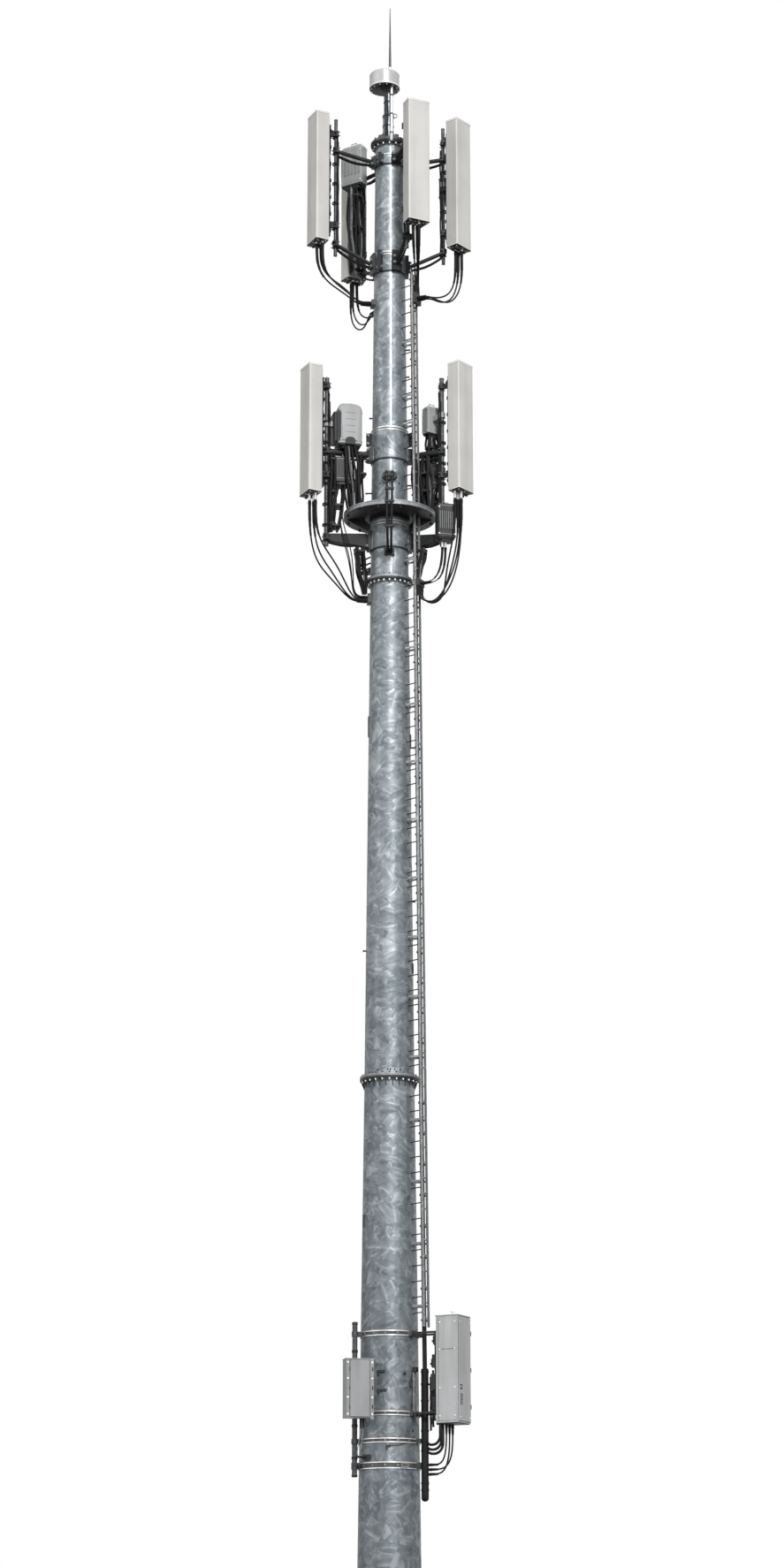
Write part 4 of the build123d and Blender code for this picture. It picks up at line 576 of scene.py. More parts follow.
def place_piece(name: str, mesh: Mesh, finish: Finish) -> None:
    """Put a finished mesh into the scene as a piece of the tower.

    Args:
        name: The piece's name.
        mesh: The mesh, in its place.
        finish: Its finish.
    """
    mesh.materials.clear()
    mesh.materials.append(finish.material)
    mesh.polygons.foreach_set("use_smooth", [True] * len(mesh.polygons))
    mesh.set_sharp_from_angle(angle=radians(SHARP_ANGLE))
    piece = bpy.data.objects.new(name, mesh)
    bpy.context.scene.collection.objects.link(piece)
    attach(piece, BODY)
    LOG.info("%s: %d faces", name, len(mesh.polygons))


@dataclass(frozen=True)
class Seat:
    """Where a repeated shape stands, the way it looks, and its turn about that way."""

    point: Point
    look: Point = (0.0, 0.0, 1.0)
    turn: float = 0.0


class Recipe(NodeSheet):
    """A Geometry Nodes tree under construction."""

    def __init__(self, name: str, sizes: dict[str, float]) -> None:
        """Start a tree with named inputs.

        Args:
            name: The tree's name.
            sizes: The named sizes with their defaults.
        """
        super().__init__(bpy.data.node_groups.new(name, "GeometryNodeTree"))
        face = self.tree.interface
        face.new_socket("Geometry", in_out="INPUT", socket_type="NodeSocketGeometry")
        for size, default in sizes.items():
            face.new_socket(size, in_out="INPUT", socket_type="NodeSocketFloat").default_value = default
        face.new_socket("Finish", in_out="INPUT", socket_type="NodeSocketMaterial")
        face.new_socket("Geometry", in_out="OUTPUT", socket_type="NodeSocketGeometry")
        self.start = self.tree.nodes.new("NodeGroupInput").outputs
        self.end = self.tree.nodes.new("NodeGroupOutput").inputs[0]

    def lifted(self, shape: NodeSocket, rise: NodeSocket) -> NodeSocket:
        """A shape moved up its own axis."""
        offset = self.add("ShaderNodeCombineXYZ", {}, {2: rise}).outputs[0]
        return self.add("GeometryNodeTransform", {}, {"Geometry": shape, "Translation": offset}).outputs[0]

    def spread(self, shape: NodeSocket) -> None:
        """Stand the shape on every point, turned the way that the point looks, and close the tree.

        Args:
            shape: The repeated shape, standing on its z.
        """
        look = self.add("GeometryNodeInputNamedAttribute", {"data_type": "FLOAT_VECTOR"}, {"Name": "look"})
        turn = self.add("GeometryNodeInputNamedAttribute", {"data_type": "FLOAT"}, {"Name": "turn"})
        spin = self.add("ShaderNodeCombineXYZ", {}, {2: turn.outputs[0]})
        aim = self.add("FunctionNodeAlignRotationToVector", {"axis": "Z"}, {"Vector": look.outputs[0]})
        inner = self.add("FunctionNodeEulerToRotation", {}, {0: spin.outputs[0]})
        inputs = {0: aim.outputs[0], 1: inner.outputs[0]}
        whole = self.add("FunctionNodeRotateRotation", {"rotation_space": "LOCAL"}, inputs)
        inputs = {"Points": self.start["Geometry"], "Instance": shape, "Rotation": whole.outputs[0]}
        laid = self.add("GeometryNodeInstanceOnPoints", {}, inputs)
        real = self.add("GeometryNodeRealizeInstances", {}, {0: laid.outputs[0]})
        inputs = {"Geometry": real.outputs[0], "Material": self.start["Finish"]}
        self.feed(self.end, self.add("GeometryNodeSetMaterial", {}, inputs).outputs[0])

    def repeat(
        self, name: str, seats: Sequence[Seat], sizes: dict[str, float], finish: Finish, slot: Slot | None = None
    ) -> None:
        """Run the tree on its seats and keep the result as a plain piece.

        Args:
            name: The piece's name.
            seats: Where the repeated shapes stand.
            sizes: Values of the named sizes.
            finish: The finish.
            slot: The record's slot that it would take its finish from; not used.
        """
        points = bpy.data.meshes.new(name + "_seats")
        points.from_pydata([seat.point for seat in seats], [], [])
        points.attributes.new("look", "FLOAT_VECTOR", "POINT")
        points.attributes.new("turn", "FLOAT", "POINT")
        for index, seat in enumerate(seats):
            points.attributes["look"].data[index].vector = seat.look
            points.attributes["turn"].data[index].value = seat.turn
        carrier = bpy.data.objects.new(name + "_carrier", points)
        bpy.context.scene.collection.objects.link(carrier)
        modifier = carrier.modifiers.new("repeat", "NODES")
        modifier.node_group = self.tree
        values = {**sizes, "Finish": finish.material}
        for item in self.tree.interface.items_tree:
            if item.item_type == "SOCKET" and item.in_out == "INPUT" and item.name in values:
                modifier[item.identifier] = values[item.name]
        graph = bpy.context.evaluated_depsgraph_get()
        mesh = bpy.data.meshes.new_from_object(carrier.evaluated_get(graph), depsgraph=graph)
        bpy.data.objects.remove(carrier)
        for attribute in [a.name for a in mesh.attributes if a.name in ("look", "turn")]:
            mesh.attributes.remove(mesh.attributes[attribute])
        mesh.name = name
        place_piece(name, mesh, finish)


def bolt_recipe() -> Recipe:
    """Hexagon bolts: a washer, a head or nut, and the thread that stands out of it.

    Returns:
        The closed tree.
    """
    recipe = Recipe("bolts", {"Head": 0.02, "Height": 0.016, "Washer": 0.026, "Thread": 0.01, "Stand": 0.012})
    size = recipe.start
    joined = recipe.add("GeometryNodeJoinGeometry", {}, {})
    for sides, radius, depth, base in (
        (6, size["Head"], size["Height"], 0.0),
        (12, size["Washer"], recipe.math("MULTIPLY", size["Height"], 0.3), 0.0),
        (8, size["Thread"], size["Stand"], size["Height"]),
    ):
        inputs = {"Vertices": sides, "Radius": radius, "Depth": depth}
        shape = recipe.add("GeometryNodeMeshCylinder", {}, inputs).outputs["Mesh"]
        rise = recipe.math("ADD", recipe.math("MULTIPLY", depth, 0.5), base)
        recipe.feed(joined.inputs[0], recipe.lifted(shape, rise))
    recipe.spread(joined.outputs[0])
    return recipe


def slat_recipe() -> Recipe:
    """Plain bars: fins, louvres, cable hangers and cleats.

    Returns:
        The closed tree.
    """
    recipe = Recipe("slats", {"Across": 0.02, "Deep": 0.02, "Tall": 0.1})
    size = recipe.start
    sides = recipe.add("ShaderNodeCombineXYZ", {}, {0: size["Across"], 1: size["Deep"], 2: size["Tall"]})
    recipe.spread(recipe.add("GeometryNodeMeshCube", {}, {"Size": sides.outputs[0]}).outputs["Mesh"])
    return recipe


def hoop_recipe() -> Recipe:
    """Round hoops about an axis: straps, hose bands and ribs.

    Returns:
        The closed tree.
    """
    recipe = Recipe("hoops", {"Radius": 0.05, "Thick": 0.004, "Tall": 0.016})
    size = recipe.start
    circle = recipe.add("GeometryNodeCurvePrimitiveCircle", {}, {"Resolution": 20, "Radius": size["Radius"]})
    inputs = {"Width": size["Thick"], "Height": size["Tall"]}
    quad = recipe.add("GeometryNodeCurvePrimitiveQuadrilateral", {}, inputs)
    inputs = {"Curve": circle.outputs[0], "Profile Curve": quad.outputs[0]}
    recipe.spread(recipe.add("GeometryNodeCurveToMesh", {}, inputs).outputs[0])
    return recipe


@dataclass(frozen=True)
class Camera:
    """The camera at the front of the tower, low down and looking up: its place, its pitch and its lens in mm."""

    place: Point = (0.04, -51.43, 1.6)
    pitch: float = 15.8
    lens: float = 76.44

    def build(self) -> None:
        """Make the camera and look through it."""
        data = bpy.data.cameras.new("view")
        data.sensor_width, data.lens, data.clip_end = 36.0, self.lens, 500.0
        camera = bpy.data.objects.new("view", data)
        camera.location = self.place
        camera.rotation_euler = (radians(90 + self.pitch), 0.0, 0.0)
        bpy.context.scene.collection.objects.link(camera)
        bpy.context.scene.camera = camera


@dataclass(frozen=True)
class CordRun:
    """One free cable: its facts, and its route from where it leaves to where it goes in."""

    name: str
    node: str
    diameter: float
    length: float
    route: tuple[Point, ...]
    stiffness: Stiffness = Stiffness.STIFF

    def build(self) -> None:
        data = bpy.data.curves.new(self.name, "CURVE")
        data.dimensions = "3D"
        data.bevel_depth, data.bevel_resolution, data.use_fill_caps = self.diameter / 2, 3, True
        data.resolution_u = 8
        spline = data.splines.new("NURBS")
        spline.points.add(len(self.route) - 1)
        for knot, point in zip(spline.points, self.route):
            knot.co = (*point, 1.0)
        spline.order_u = 3
        spline.use_endpoint_u = True
        finish = FINISH.lead if self.name.startswith("service") else FINISH.rubber
        data.materials.append(finish.material)
        cable = bpy.data.objects.new(self.name, data)
        bpy.context.scene.collection.objects.link(cable)
        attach(cable, BODY)
        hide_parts(self.node)
        LOG.info("%s: %.3f m", self.name, self.length)

    def trace(self, skipped: float, length: float) -> list[Vector]:
        """Follow the cable's smooth curve from its plug.

        Args:
            skipped: How far from the plug the line begins.
            length: How far from the plug it ends.

        Returns:
            The points of the line.
        """
        knots = [Vector(point) for point in self.route]
        start, travelled, line = knots[0], 0.0, []
        for here, after in zip(knots[1:], knots[2:]):
            end, last = (here + after) / 2, start
            for share in (0.2, 0.4, 0.6, 0.8, 1.0):
                point = start * (1 - share) ** 2 + here * 2 * share * (1 - share) + end * share**2
                travelled += (point - last).length
                last = point
                if skipped < travelled < length:
                    line.append(point)
            start = end
        return line

    def boots(self, boots: Workpiece, sleeves: Workpiece) -> None:
        """Add the tapered boots at the cable's two ends, and an antenna plug's sleeve and weather wraps.

        Args:
            boots: The mesh that holds every boot.
            sleeves: The mesh that holds every sleeve.
        """
        thick = self.diameter / 2
        plug = self.name.endswith("jumper") and "thin" not in self.name
        long = 0.0
        if plug:
            long = 0.11 if self.name.startswith("lower") else 0.02
            for reach, more in ((0.34, 0.0115), (0.46, 0.008), (0.58, 0.0045)):
                boots.bent(self.trace(long + 0.03, long + reach), thick + more, 12)
            profile = ((0.02, -0.05), (0.0245, -0.045), (0.0245, -0.02), (0.0225, -0.016), (0.0225, long))
            stub = aimed(self.route[0], Vector(self.route[1]) - Vector(self.route[0]))
            sleeves.turned(stub, (*profile, (0.02, long + 0.006)), 14)
        ends = ((self.route[0], self.route[1], long), (self.route[-1], self.route[-2], 0.0))
        for number, (start, towards, shift) in enumerate(ends):
            more = 0.006 if plug and number == 0 else 0.0
            profile = (
                (0.006, -0.036), (0.01, -0.03), (0.01 + more, 0.02), (0.006 + more, 0.03), (0.008 + more, 0.036),
                (0.006 + more / 2, 0.08), (0.003, 0.115), (0.001, 0.125),
            )
            profile = [(thick + wider, shift + along) for wider, along in profile]
            boots.turned(aimed(start, Vector(towards) - Vector(start)), profile, 14)


CORD_RUNS: tuple[CordRun, ...] = (
    CordRun("upper_left_1_jumper", "jumpers_upper_left", 0.028, 1.531, (
        (-1.2128, -0.4958, 25.355), (-1.2128, -0.4958, 25.205), (-1.196, -0.484, 25.01), (-1.128, -0.45, 24.83),
        (-1, -0.395, 24.7), (-0.835, -0.315, 24.61), (-0.675, -0.19, 24.54), (-0.5127, -0.0196, 24.48),
        (-0.3642, 0.0013, 24.48),
    )),
    CordRun("upper_left_2_jumper", "jumpers_upper_left", 0.028, 1.416, (
        (-1.1478, -0.4648, 25.355), (-1.1478, -0.4648, 25.22), (-1.136, -0.456, 25.05), (-1.076, -0.43, 24.89),
        (-0.955, -0.385, 24.775), (-0.8, -0.315, 24.69), (-0.65, -0.21, 24.59), (-0.5055, -0.0711, 24.48),
        (-0.357, -0.0502, 24.48),
    )),
    CordRun("upper_left_3_jumper", "jumpers_upper_left", 0.028, 1.461, (
        (-1.1168, -0.5297, 25.355), (-1.1168, -0.5297, 25.2), (-1.104, -0.526, 25), (-1.04, -0.506, 24.82),
        (-0.915, -0.462, 24.69), (-0.76, -0.39, 24.59), (-0.63, -0.28, 24.52), (-0.4983, -0.1226, 24.48),
        (-0.3498, -0.1017, 24.48),
    )),
    CordRun("upper_back_1_jumper", "jumpers_upper_left", 0.028, 1.724, (
        (-0.6581, 1.1174, 25.365), (-0.6581, 1.1174, 25.19), (-0.668, 1.095, 24.98), (-0.662, 1.045, 24.76),
        (-0.628, 0.955, 24.56), (-0.56, 0.85, 24.415), (-0.47, 0.72, 24.345), (-0.395, 0.56, 24.375),
        (-0.3422, 0.3825, 24.48), (-0.254, 0.2611, 24.48),
    )),
    CordRun("upper_back_2_jumper", "jumpers_upper_left", 0.028, 1.562, (
        (-0.6277, 1.0522, 25.365), (-0.6277, 1.0522, 25.2), (-0.632, 1.032, 25.01), (-0.622, 0.98, 24.81),
        (-0.582, 0.895, 24.62), (-0.512, 0.785, 24.48), (-0.43, 0.665, 24.41), (-0.365, 0.54, 24.425),
        (-0.3001, 0.4131, 24.48), (-0.2119, 0.2917, 24.48),
    )),
    CordRun("upper_back_3_jumper", "jumpers_upper_left", 0.028, 1.42, (
        (-0.5624, 1.0826, 25.365), (-0.5624, 1.0826, 25.22), (-0.556, 1.06, 25.05), (-0.54, 1.005, 24.88),
        (-0.505, 0.915, 24.73), (-0.445, 0.805, 24.62), (-0.375, 0.69, 24.55), (-0.312, 0.58, 24.515),
        (-0.258, 0.4436, 24.48), (-0.1698, 0.3222, 24.48),
    )),
    CordRun("upper_front_1_jumper", "jumpers_upper_right", 0.028, 1.154, (
        (0.3905, -0.8997, 25.505), (0.3905, -0.8997, 25.39), (0.394, -0.86, 25.27), (0.4, -0.78, 25.165),
        (0.407, -0.67, 25.085), (0.414, -0.545, 25.01), (0.421, -0.425, 24.93), (0.427, -0.335, 24.835),
        (0.43, -0.2875, 24.715), (0.43, -0.2875, 24.615),
    )),
    CordRun("upper_front_2_jumper", "jumpers_upper_right", 0.028, 1.162, (
        (0.4541, -0.8659, 25.505), (0.4541, -0.8659, 25.39), (0.457, -0.825, 25.27), (0.459, -0.744, 25.165),
        (0.46, -0.632, 25.09), (0.46, -0.504, 25.015), (0.458, -0.382, 24.93), (0.456, -0.29, 24.835),
        (0.4544, -0.2416, 24.715), (0.4544, -0.2416, 24.615),
    )),
    CordRun("upper_front_3_jumper", "jumpers_upper_right", 0.028, 1.242, (
        (0.4879, -0.9294, 25.505), (0.4879, -0.9294, 25.39), (0.487, -0.882, 25.265), (0.486, -0.786, 25.155),
        (0.485, -0.654, 25.07), (0.483, -0.503, 24.995), (0.481, -0.361, 24.92), (0.48, -0.253, 24.83),
        (0.4788, -0.1957, 24.715), (0.4788, -0.1957, 24.615),
    )),
    CordRun("upper_right_1_jumper", "jumpers_upper_right", 0.028, 1.59, (
        (1.2067, -0.1728, 25.365), (1.2067, -0.1728, 25.19), (1.208, -0.182, 24.98), (1.19, -0.2, 24.77),
        (1.14, -0.232, 24.58), (1.05, -0.282, 24.43), (0.925, -0.34, 24.37), (0.785, -0.395, 24.4),
        (0.6286, -0.3931, 24.48), (0.4962, -0.3227, 24.48),
    )),
    CordRun("upper_right_2_jumper", "jumpers_upper_right", 0.028, 1.334, (
        (1.1056, -0.1852, 25.365), (1.1056, -0.1852, 25.2), (1.102, -0.194, 25), (1.08, -0.21, 24.8),
        (1.026, -0.24, 24.63), (0.935, -0.28, 24.52), (0.8, -0.325, 24.465), (0.6442, -0.3425, 24.48),
        (0.5206, -0.2768, 24.48),
    )),
    CordRun("upper_right_3_jumper", "jumpers_upper_right", 0.028, 1.423, (
        (1.15, -0.1285, 25.365), (1.15, -0.1285, 25.195), (1.148, -0.138, 24.99), (1.128, -0.152, 24.78),
        (1.078, -0.178, 24.59), (0.985, -0.215, 24.45), (0.835, -0.262, 24.41), (0.6686, -0.2966, 24.48),
        (0.545, -0.2309, 24.48),
    )),
    CordRun("lower_left_1_jumper", "jumpers_lower_left", 0.028, 2.185, (
        (-1.3037, -0.4355, 20.915), (-1.3037, -0.4355, 20.72), (-1.3, -0.43, 20.47), (-1.282, -0.42, 20.21),
        (-1.236, -0.395, 19.97), (-1.15, -0.35, 19.77), (-1.02, -0.285, 19.62), (-0.87, -0.2, 19.475),
        (-0.72, -0.095, 19.33), (-0.5771, -0.0083, 19.244), (-0.413, 0.0089, 19.244),
    )),
    CordRun("lower_left_2_jumper", "jumpers_lower_left", 0.028, 2.092, (
        (-1.2387, -0.4045, 20.915), (-1.2387, -0.4045, 20.72), (-1.236, -0.398, 20.49), (-1.216, -0.388, 20.25),
        (-1.165, -0.365, 20.03), (-1.075, -0.325, 19.85), (-0.95, -0.268, 19.68), (-0.825, -0.2, 19.5),
        (-0.7, -0.12, 19.335), (-0.5667, -0.0595, 19.244), (-0.4076, -0.0428, 19.244),
    )),
    CordRun("lower_left_3_jumper", "jumpers_lower_left", 0.028, 2.031, (
        (-1.2077, -0.4695, 20.915), (-1.2077, -0.4695, 20.74), (-1.203, -0.464, 20.54), (-1.178, -0.45, 20.34),
        (-1.12, -0.42, 20.16), (-1.025, -0.372, 20), (-0.915, -0.32, 19.85), (-0.81, -0.268, 19.68),
        (-0.72, -0.215, 19.5), (-0.635, -0.16, 19.34), (-0.5413, -0.1092, 19.244), (-0.4021, -0.0946, 19.244),
    )),
    CordRun("lower_thin_1_jumper", "jumpers_lower_left", 0.018, 2.05, (
        (-0.769, -0.2731, 21.175), (-0.769, -0.2731, 21.02), (-0.779, -0.298, 20.79), (-0.77, -0.31, 20.56),
        (-0.72, -0.306, 20.35), (-0.66, -0.288, 20.16), (-0.617, -0.262, 19.96), (-0.597, -0.235, 19.76),
        (-0.588, -0.205, 19.59), (-0.59, -0.172, 19.43), (-0.5314, -0.1082, 19.296), (-0.4021, -0.0946, 19.296),
    ), Stiffness.MEDIUM),
    CordRun("lower_thin_2_jumper", "jumpers_lower_left", 0.018, 2.068, (
        (-0.778, -0.2219, 21.175), (-0.778, -0.2219, 21.02), (-0.8, -0.262, 20.79), (-0.808, -0.29, 20.56),
        (-0.775, -0.298, 20.34), (-0.715, -0.284, 20.14), (-0.662, -0.256, 19.95), (-0.63, -0.215, 19.76),
        (-0.612, -0.165, 19.59), (-0.598, -0.115, 19.43), (-0.5369, -0.0564, 19.296),
        (-0.4076, -0.0428, 19.296),
    ), Stiffness.MEDIUM),
    CordRun("lower_thin_3_jumper", "jumpers_lower_left", 0.018, 2.036, (
        (-0.787, -0.1707, 21.175), (-0.787, -0.1707, 21.02), (-0.803, -0.138, 20.79), (-0.806, -0.116, 20.56),
        (-0.776, -0.1, 20.34), (-0.722, -0.09, 20.14), (-0.674, -0.078, 19.95), (-0.64, -0.06, 19.76),
        (-0.618, -0.042, 19.59), (-0.603, -0.025, 19.43), (-0.5423, -0.0047, 19.296), (-0.413, 0.0089, 19.296),
    ), Stiffness.MEDIUM),
    CordRun("lower_back_1_jumper", "jumpers_lower_left", 0.028, 1.766, (
        (-0.036, 1.244, 20.915), (-0.036, 1.244, 20.77), (-0.078, 1.21, 20.6), (-0.15, 1.135, 20.48),
        (-0.24, 1.025, 20.4), (-0.33, 0.895, 20.33), (-0.41, 0.76, 20.24), (-0.468, 0.632, 20.12),
        (-0.506, 0.48, 19.925), (-0.4543, 0.3224, 19.81), (-0.3244, 0.2474, 19.81),
    )),
    CordRun("lower_back_2_jumper", "jumpers_lower_left", 0.028, 1.86, (
        (0.036, 1.244, 20.915), (0.036, 1.244, 20.75), (0.005, 1.215, 20.57), (-0.062, 1.15, 20.43),
        (-0.155, 1.06, 20.33), (-0.255, 0.945, 20.26), (-0.35, 0.815, 20.19), (-0.43, 0.68, 20.09),
        (-0.49, 0.55, 19.97), (-0.522, 0.418, 19.862), (-0.4803, 0.2773, 19.81), (-0.3504, 0.2023, 19.81),
    )),
    CordRun("lower_back_3_jumper", "jumpers_lower_left", 0.028, 1.941, (
        (0.108, 1.244, 20.915), (0.108, 1.244, 20.74), (0.07, 1.205, 20.56), (-0.008, 1.145, 20.4),
        (-0.11, 1.06, 20.28), (-0.222, 0.945, 20.19), (-0.325, 0.81, 20.11), (-0.415, 0.67, 20.02),
        (-0.49, 0.525, 19.92), (-0.54, 0.375, 19.845), (-0.5063, 0.2323, 19.81), (-0.3764, 0.1573, 19.81),
    )),
    CordRun("lower_right_1_jumper", "jumpers_lower_right", 0.028, 2.366, (
        (1.1666, -0.5295, 20.915), (1.1666, -0.5295, 20.73), (1.168, -0.526, 20.5), (1.16, -0.516, 20.24),
        (1.138, -0.5, 19.97), (1.096, -0.476, 19.71), (1.03, -0.452, 19.48), (0.94, -0.428, 19.29),
        (0.83, -0.405, 19.165), (0.715, -0.383, 19.12), (0.603, -0.361, 19.127), (0.512, -0.34, 19.18),
        (0.4626, -0.3275, 19.265), (0.4626, -0.3275, 19.365),
    )),
    CordRun("lower_right_2_jumper", "jumpers_lower_right", 0.028, 2.262, (
        (1.1542, -0.4284, 20.915), (1.1542, -0.4284, 20.74), (1.153, -0.428, 20.52), (1.142, -0.42, 20.27),
        (1.116, -0.408, 20.01), (1.068, -0.392, 19.77), (0.995, -0.374, 19.56), (0.905, -0.354, 19.365),
        (0.81, -0.337, 19.22), (0.713, -0.321, 19.145), (0.618, -0.306, 19.141), (0.532, -0.2925, 19.189),
        (0.4852, -0.2851, 19.272), (0.4852, -0.2851, 19.365),
    )),
    CordRun("lower_right_3_jumper", "jumpers_lower_right", 0.028, 2.228, (
        (1.1099, -0.4852, 20.915), (1.1099, -0.4852, 20.74), (1.112, -0.482, 20.54), (1.108, -0.474, 20.33),
        (1.092, -0.458, 20.12), (1.058, -0.43, 19.915), (1.005, -0.398, 19.7), (0.945, -0.365, 19.49),
        (0.885, -0.332, 19.33), (0.818, -0.298, 19.215), (0.738, -0.273, 19.16), (0.648, -0.258, 19.152),
        (0.56, -0.249, 19.194), (0.5077, -0.2428, 19.275), (0.5077, -0.2428, 19.365),
    )),
    CordRun("lower_right_4_jumper", "jumpers_lower_right", 0.028, 2.236, (
        (1.0656, -0.5419, 20.915), (1.0656, -0.5419, 20.75), (1.064, -0.545, 20.56), (1.053, -0.545, 20.36),
        (1.03, -0.53, 20.155), (0.99, -0.49, 19.96), (0.95, -0.425, 19.77), (0.92, -0.362, 19.59),
        (0.9, -0.31, 19.43), (0.878, -0.272, 19.3), (0.828, -0.245, 19.205), (0.75, -0.226, 19.15),
        (0.66, -0.213, 19.147), (0.578, -0.204, 19.194), (0.5302, -0.2004, 19.275), (0.5302, -0.2004, 19.365),
    )),
    CordRun("lower_outer_1_jumper", "jumpers_lower_right", 0.018, 0.861, (
        (0.8574, -0.4324, 20.135), (0.8574, -0.4324, 20.02), (0.852, -0.441, 19.87), (0.83, -0.446, 19.7),
        (0.775, -0.425, 19.55), (0.677, -0.3599, 19.47), (0.5622, -0.2989, 19.47),
    ), Stiffness.MEDIUM),
    CordRun("lower_outer_2_jumper", "jumpers_lower_right", 0.018, 0.922, (
        (0.9076, -0.4189, 20.135), (0.9076, -0.4189, 20.01), (0.904, -0.43, 19.85), (0.885, -0.44, 19.69),
        (0.845, -0.43, 19.56), (0.785, -0.385, 19.485), (0.6881, -0.307, 19.47), (0.5866, -0.253, 19.47),
    ), Stiffness.MEDIUM),
    CordRun("front_cable_left", "front_cables", 0.04, 1.808, (
        (-0.05, -0.4105, 21.31), (-0.05, -0.53, 21.31), (-0.05, -0.655, 21.262), (-0.049, -0.745, 21.16),
        (-0.047, -0.798, 21.02), (-0.045, -0.822, 20.85), (-0.042, -0.828, 20.65), (-0.039, -0.818, 20.45),
        (-0.036, -0.785, 20.275), (-0.033, -0.725, 20.13), (-0.03, -0.635, 20.03), (-0.028, -0.52, 19.99),
        (-0.028, -0.403, 19.99),
    )),
    CordRun("front_cable_right", "front_cables", 0.04, 1.812, (
        (0.05, -0.4105, 21.31), (0.05, -0.528, 21.31), (0.049, -0.65, 21.265), (0.046, -0.744, 21.168),
        (0.043, -0.802, 21.03), (0.04, -0.828, 20.855), (0.037, -0.832, 20.65), (0.034, -0.82, 20.44),
        (0.031, -0.782, 20.265), (0.029, -0.718, 20.122), (0.028, -0.63, 20.028), (0.028, -0.52, 19.99),
        (0.028, -0.403, 19.99),
    )),
    CordRun("cabinet_cable_1", "cabinet_cables", 0.026, 0.892, (
        (0.9083, -0.4829, 5.945), (0.9083, -0.4829, 5.8), (0.906, -0.482, 5.64), (0.89, -0.473, 5.48),
        (0.855, -0.455, 5.35), (0.796, -0.423, 5.272), (0.7121, -0.3786, 5.25), (0.6282, -0.334, 5.25),
    )),
    CordRun("cabinet_cable_2", "cabinet_cables", 0.026, 0.852, (
        (0.9571, -0.3911, 5.945), (0.9571, -0.3911, 5.81), (0.954, -0.395, 5.66), (0.936, -0.399, 5.52),
        (0.895, -0.404, 5.405), (0.818, -0.404, 5.332), (0.7121, -0.3786, 5.32), (0.6282, -0.334, 5.32),
    )),
    CordRun("cabinet_cable_3", "cabinet_cables", 0.026, 0.771, (
        (0.8595, -0.5747, 5.945), (0.8595, -0.5747, 5.82), (0.857, -0.57, 5.69), (0.845, -0.55, 5.57),
        (0.822, -0.51, 5.475), (0.78, -0.448, 5.41), (0.7121, -0.3786, 5.39), (0.6282, -0.334, 5.39),
    )),
    CordRun("service_cable_1", "service_cables", 0.014, 0.653, (
        (-0.3928, -0.5957, 6.03), (-0.3928, -0.5957, 5.93), (-0.402, -0.6, 5.82), (-0.418, -0.596, 5.71),
        (-0.436, -0.576, 5.615), (-0.445, -0.535, 5.545), (-0.4257, -0.4625, 5.5), (-0.3762, -0.413, 5.5),
    ), Stiffness.MEDIUM),
    CordRun("service_cable_2", "service_cables", 0.014, 0.679, (
        (-0.4319, -0.604, 6.03), (-0.4319, -0.604, 5.93), (-0.442, -0.604, 5.82), (-0.458, -0.592, 5.71),
        (-0.478, -0.566, 5.612), (-0.487, -0.512, 5.538), (-0.466, -0.4292, 5.5), (-0.413, -0.3762, 5.5),
    ), Stiffness.MEDIUM),
)


UP: Point = (0.0, 0.0, 1.0)
DOWN: Point = (0.0, 0.0, -1.0)
BOLTS, SLATS, HOOPS = bolt_recipe(), slat_recipe(), hoop_recipe()
SMALL = {"Head": 0.011, "Height": 0.009, "Washer": 0.014, "Thread": 0.006, "Stand": 0.008}
LARGE = {"Head": 0.021, "Height": 0.018, "Washer": 0.026, "Thread": 0.011, "Stand": 0.016}
HEAVY = {"Head": 0.03, "Height": 0.026, "Washer": 0.036, "Thread": 0.015, "Stand": 0.026}


def seats_around(
    radius: float, height: float, count: int, look: Point, start: float = 0.0, x: float = 0.0
) -> list[Seat]:
    """Seats evenly around a circle at a height, the first at a start angle, with its centre moved along x."""
    spots = [polar(radius, start + 360.0 * number / count, height) for number in range(count)]
    return [Seat((spot.x + x, spot.y, spot.z), look) for spot in spots]


def seats_on(matrix: Matrix, points: Iterable[Point], look: Point, turn: float = 0.0) -> list[Seat]:
    """Seats at points of a frame, looking along a direction of that frame, turned about it in radians."""
    way = (matrix.to_3x3() @ Vector(look)).normalized()
    return [Seat(tuple(matrix @ Vector(point)), tuple(way), turn) for point in points]


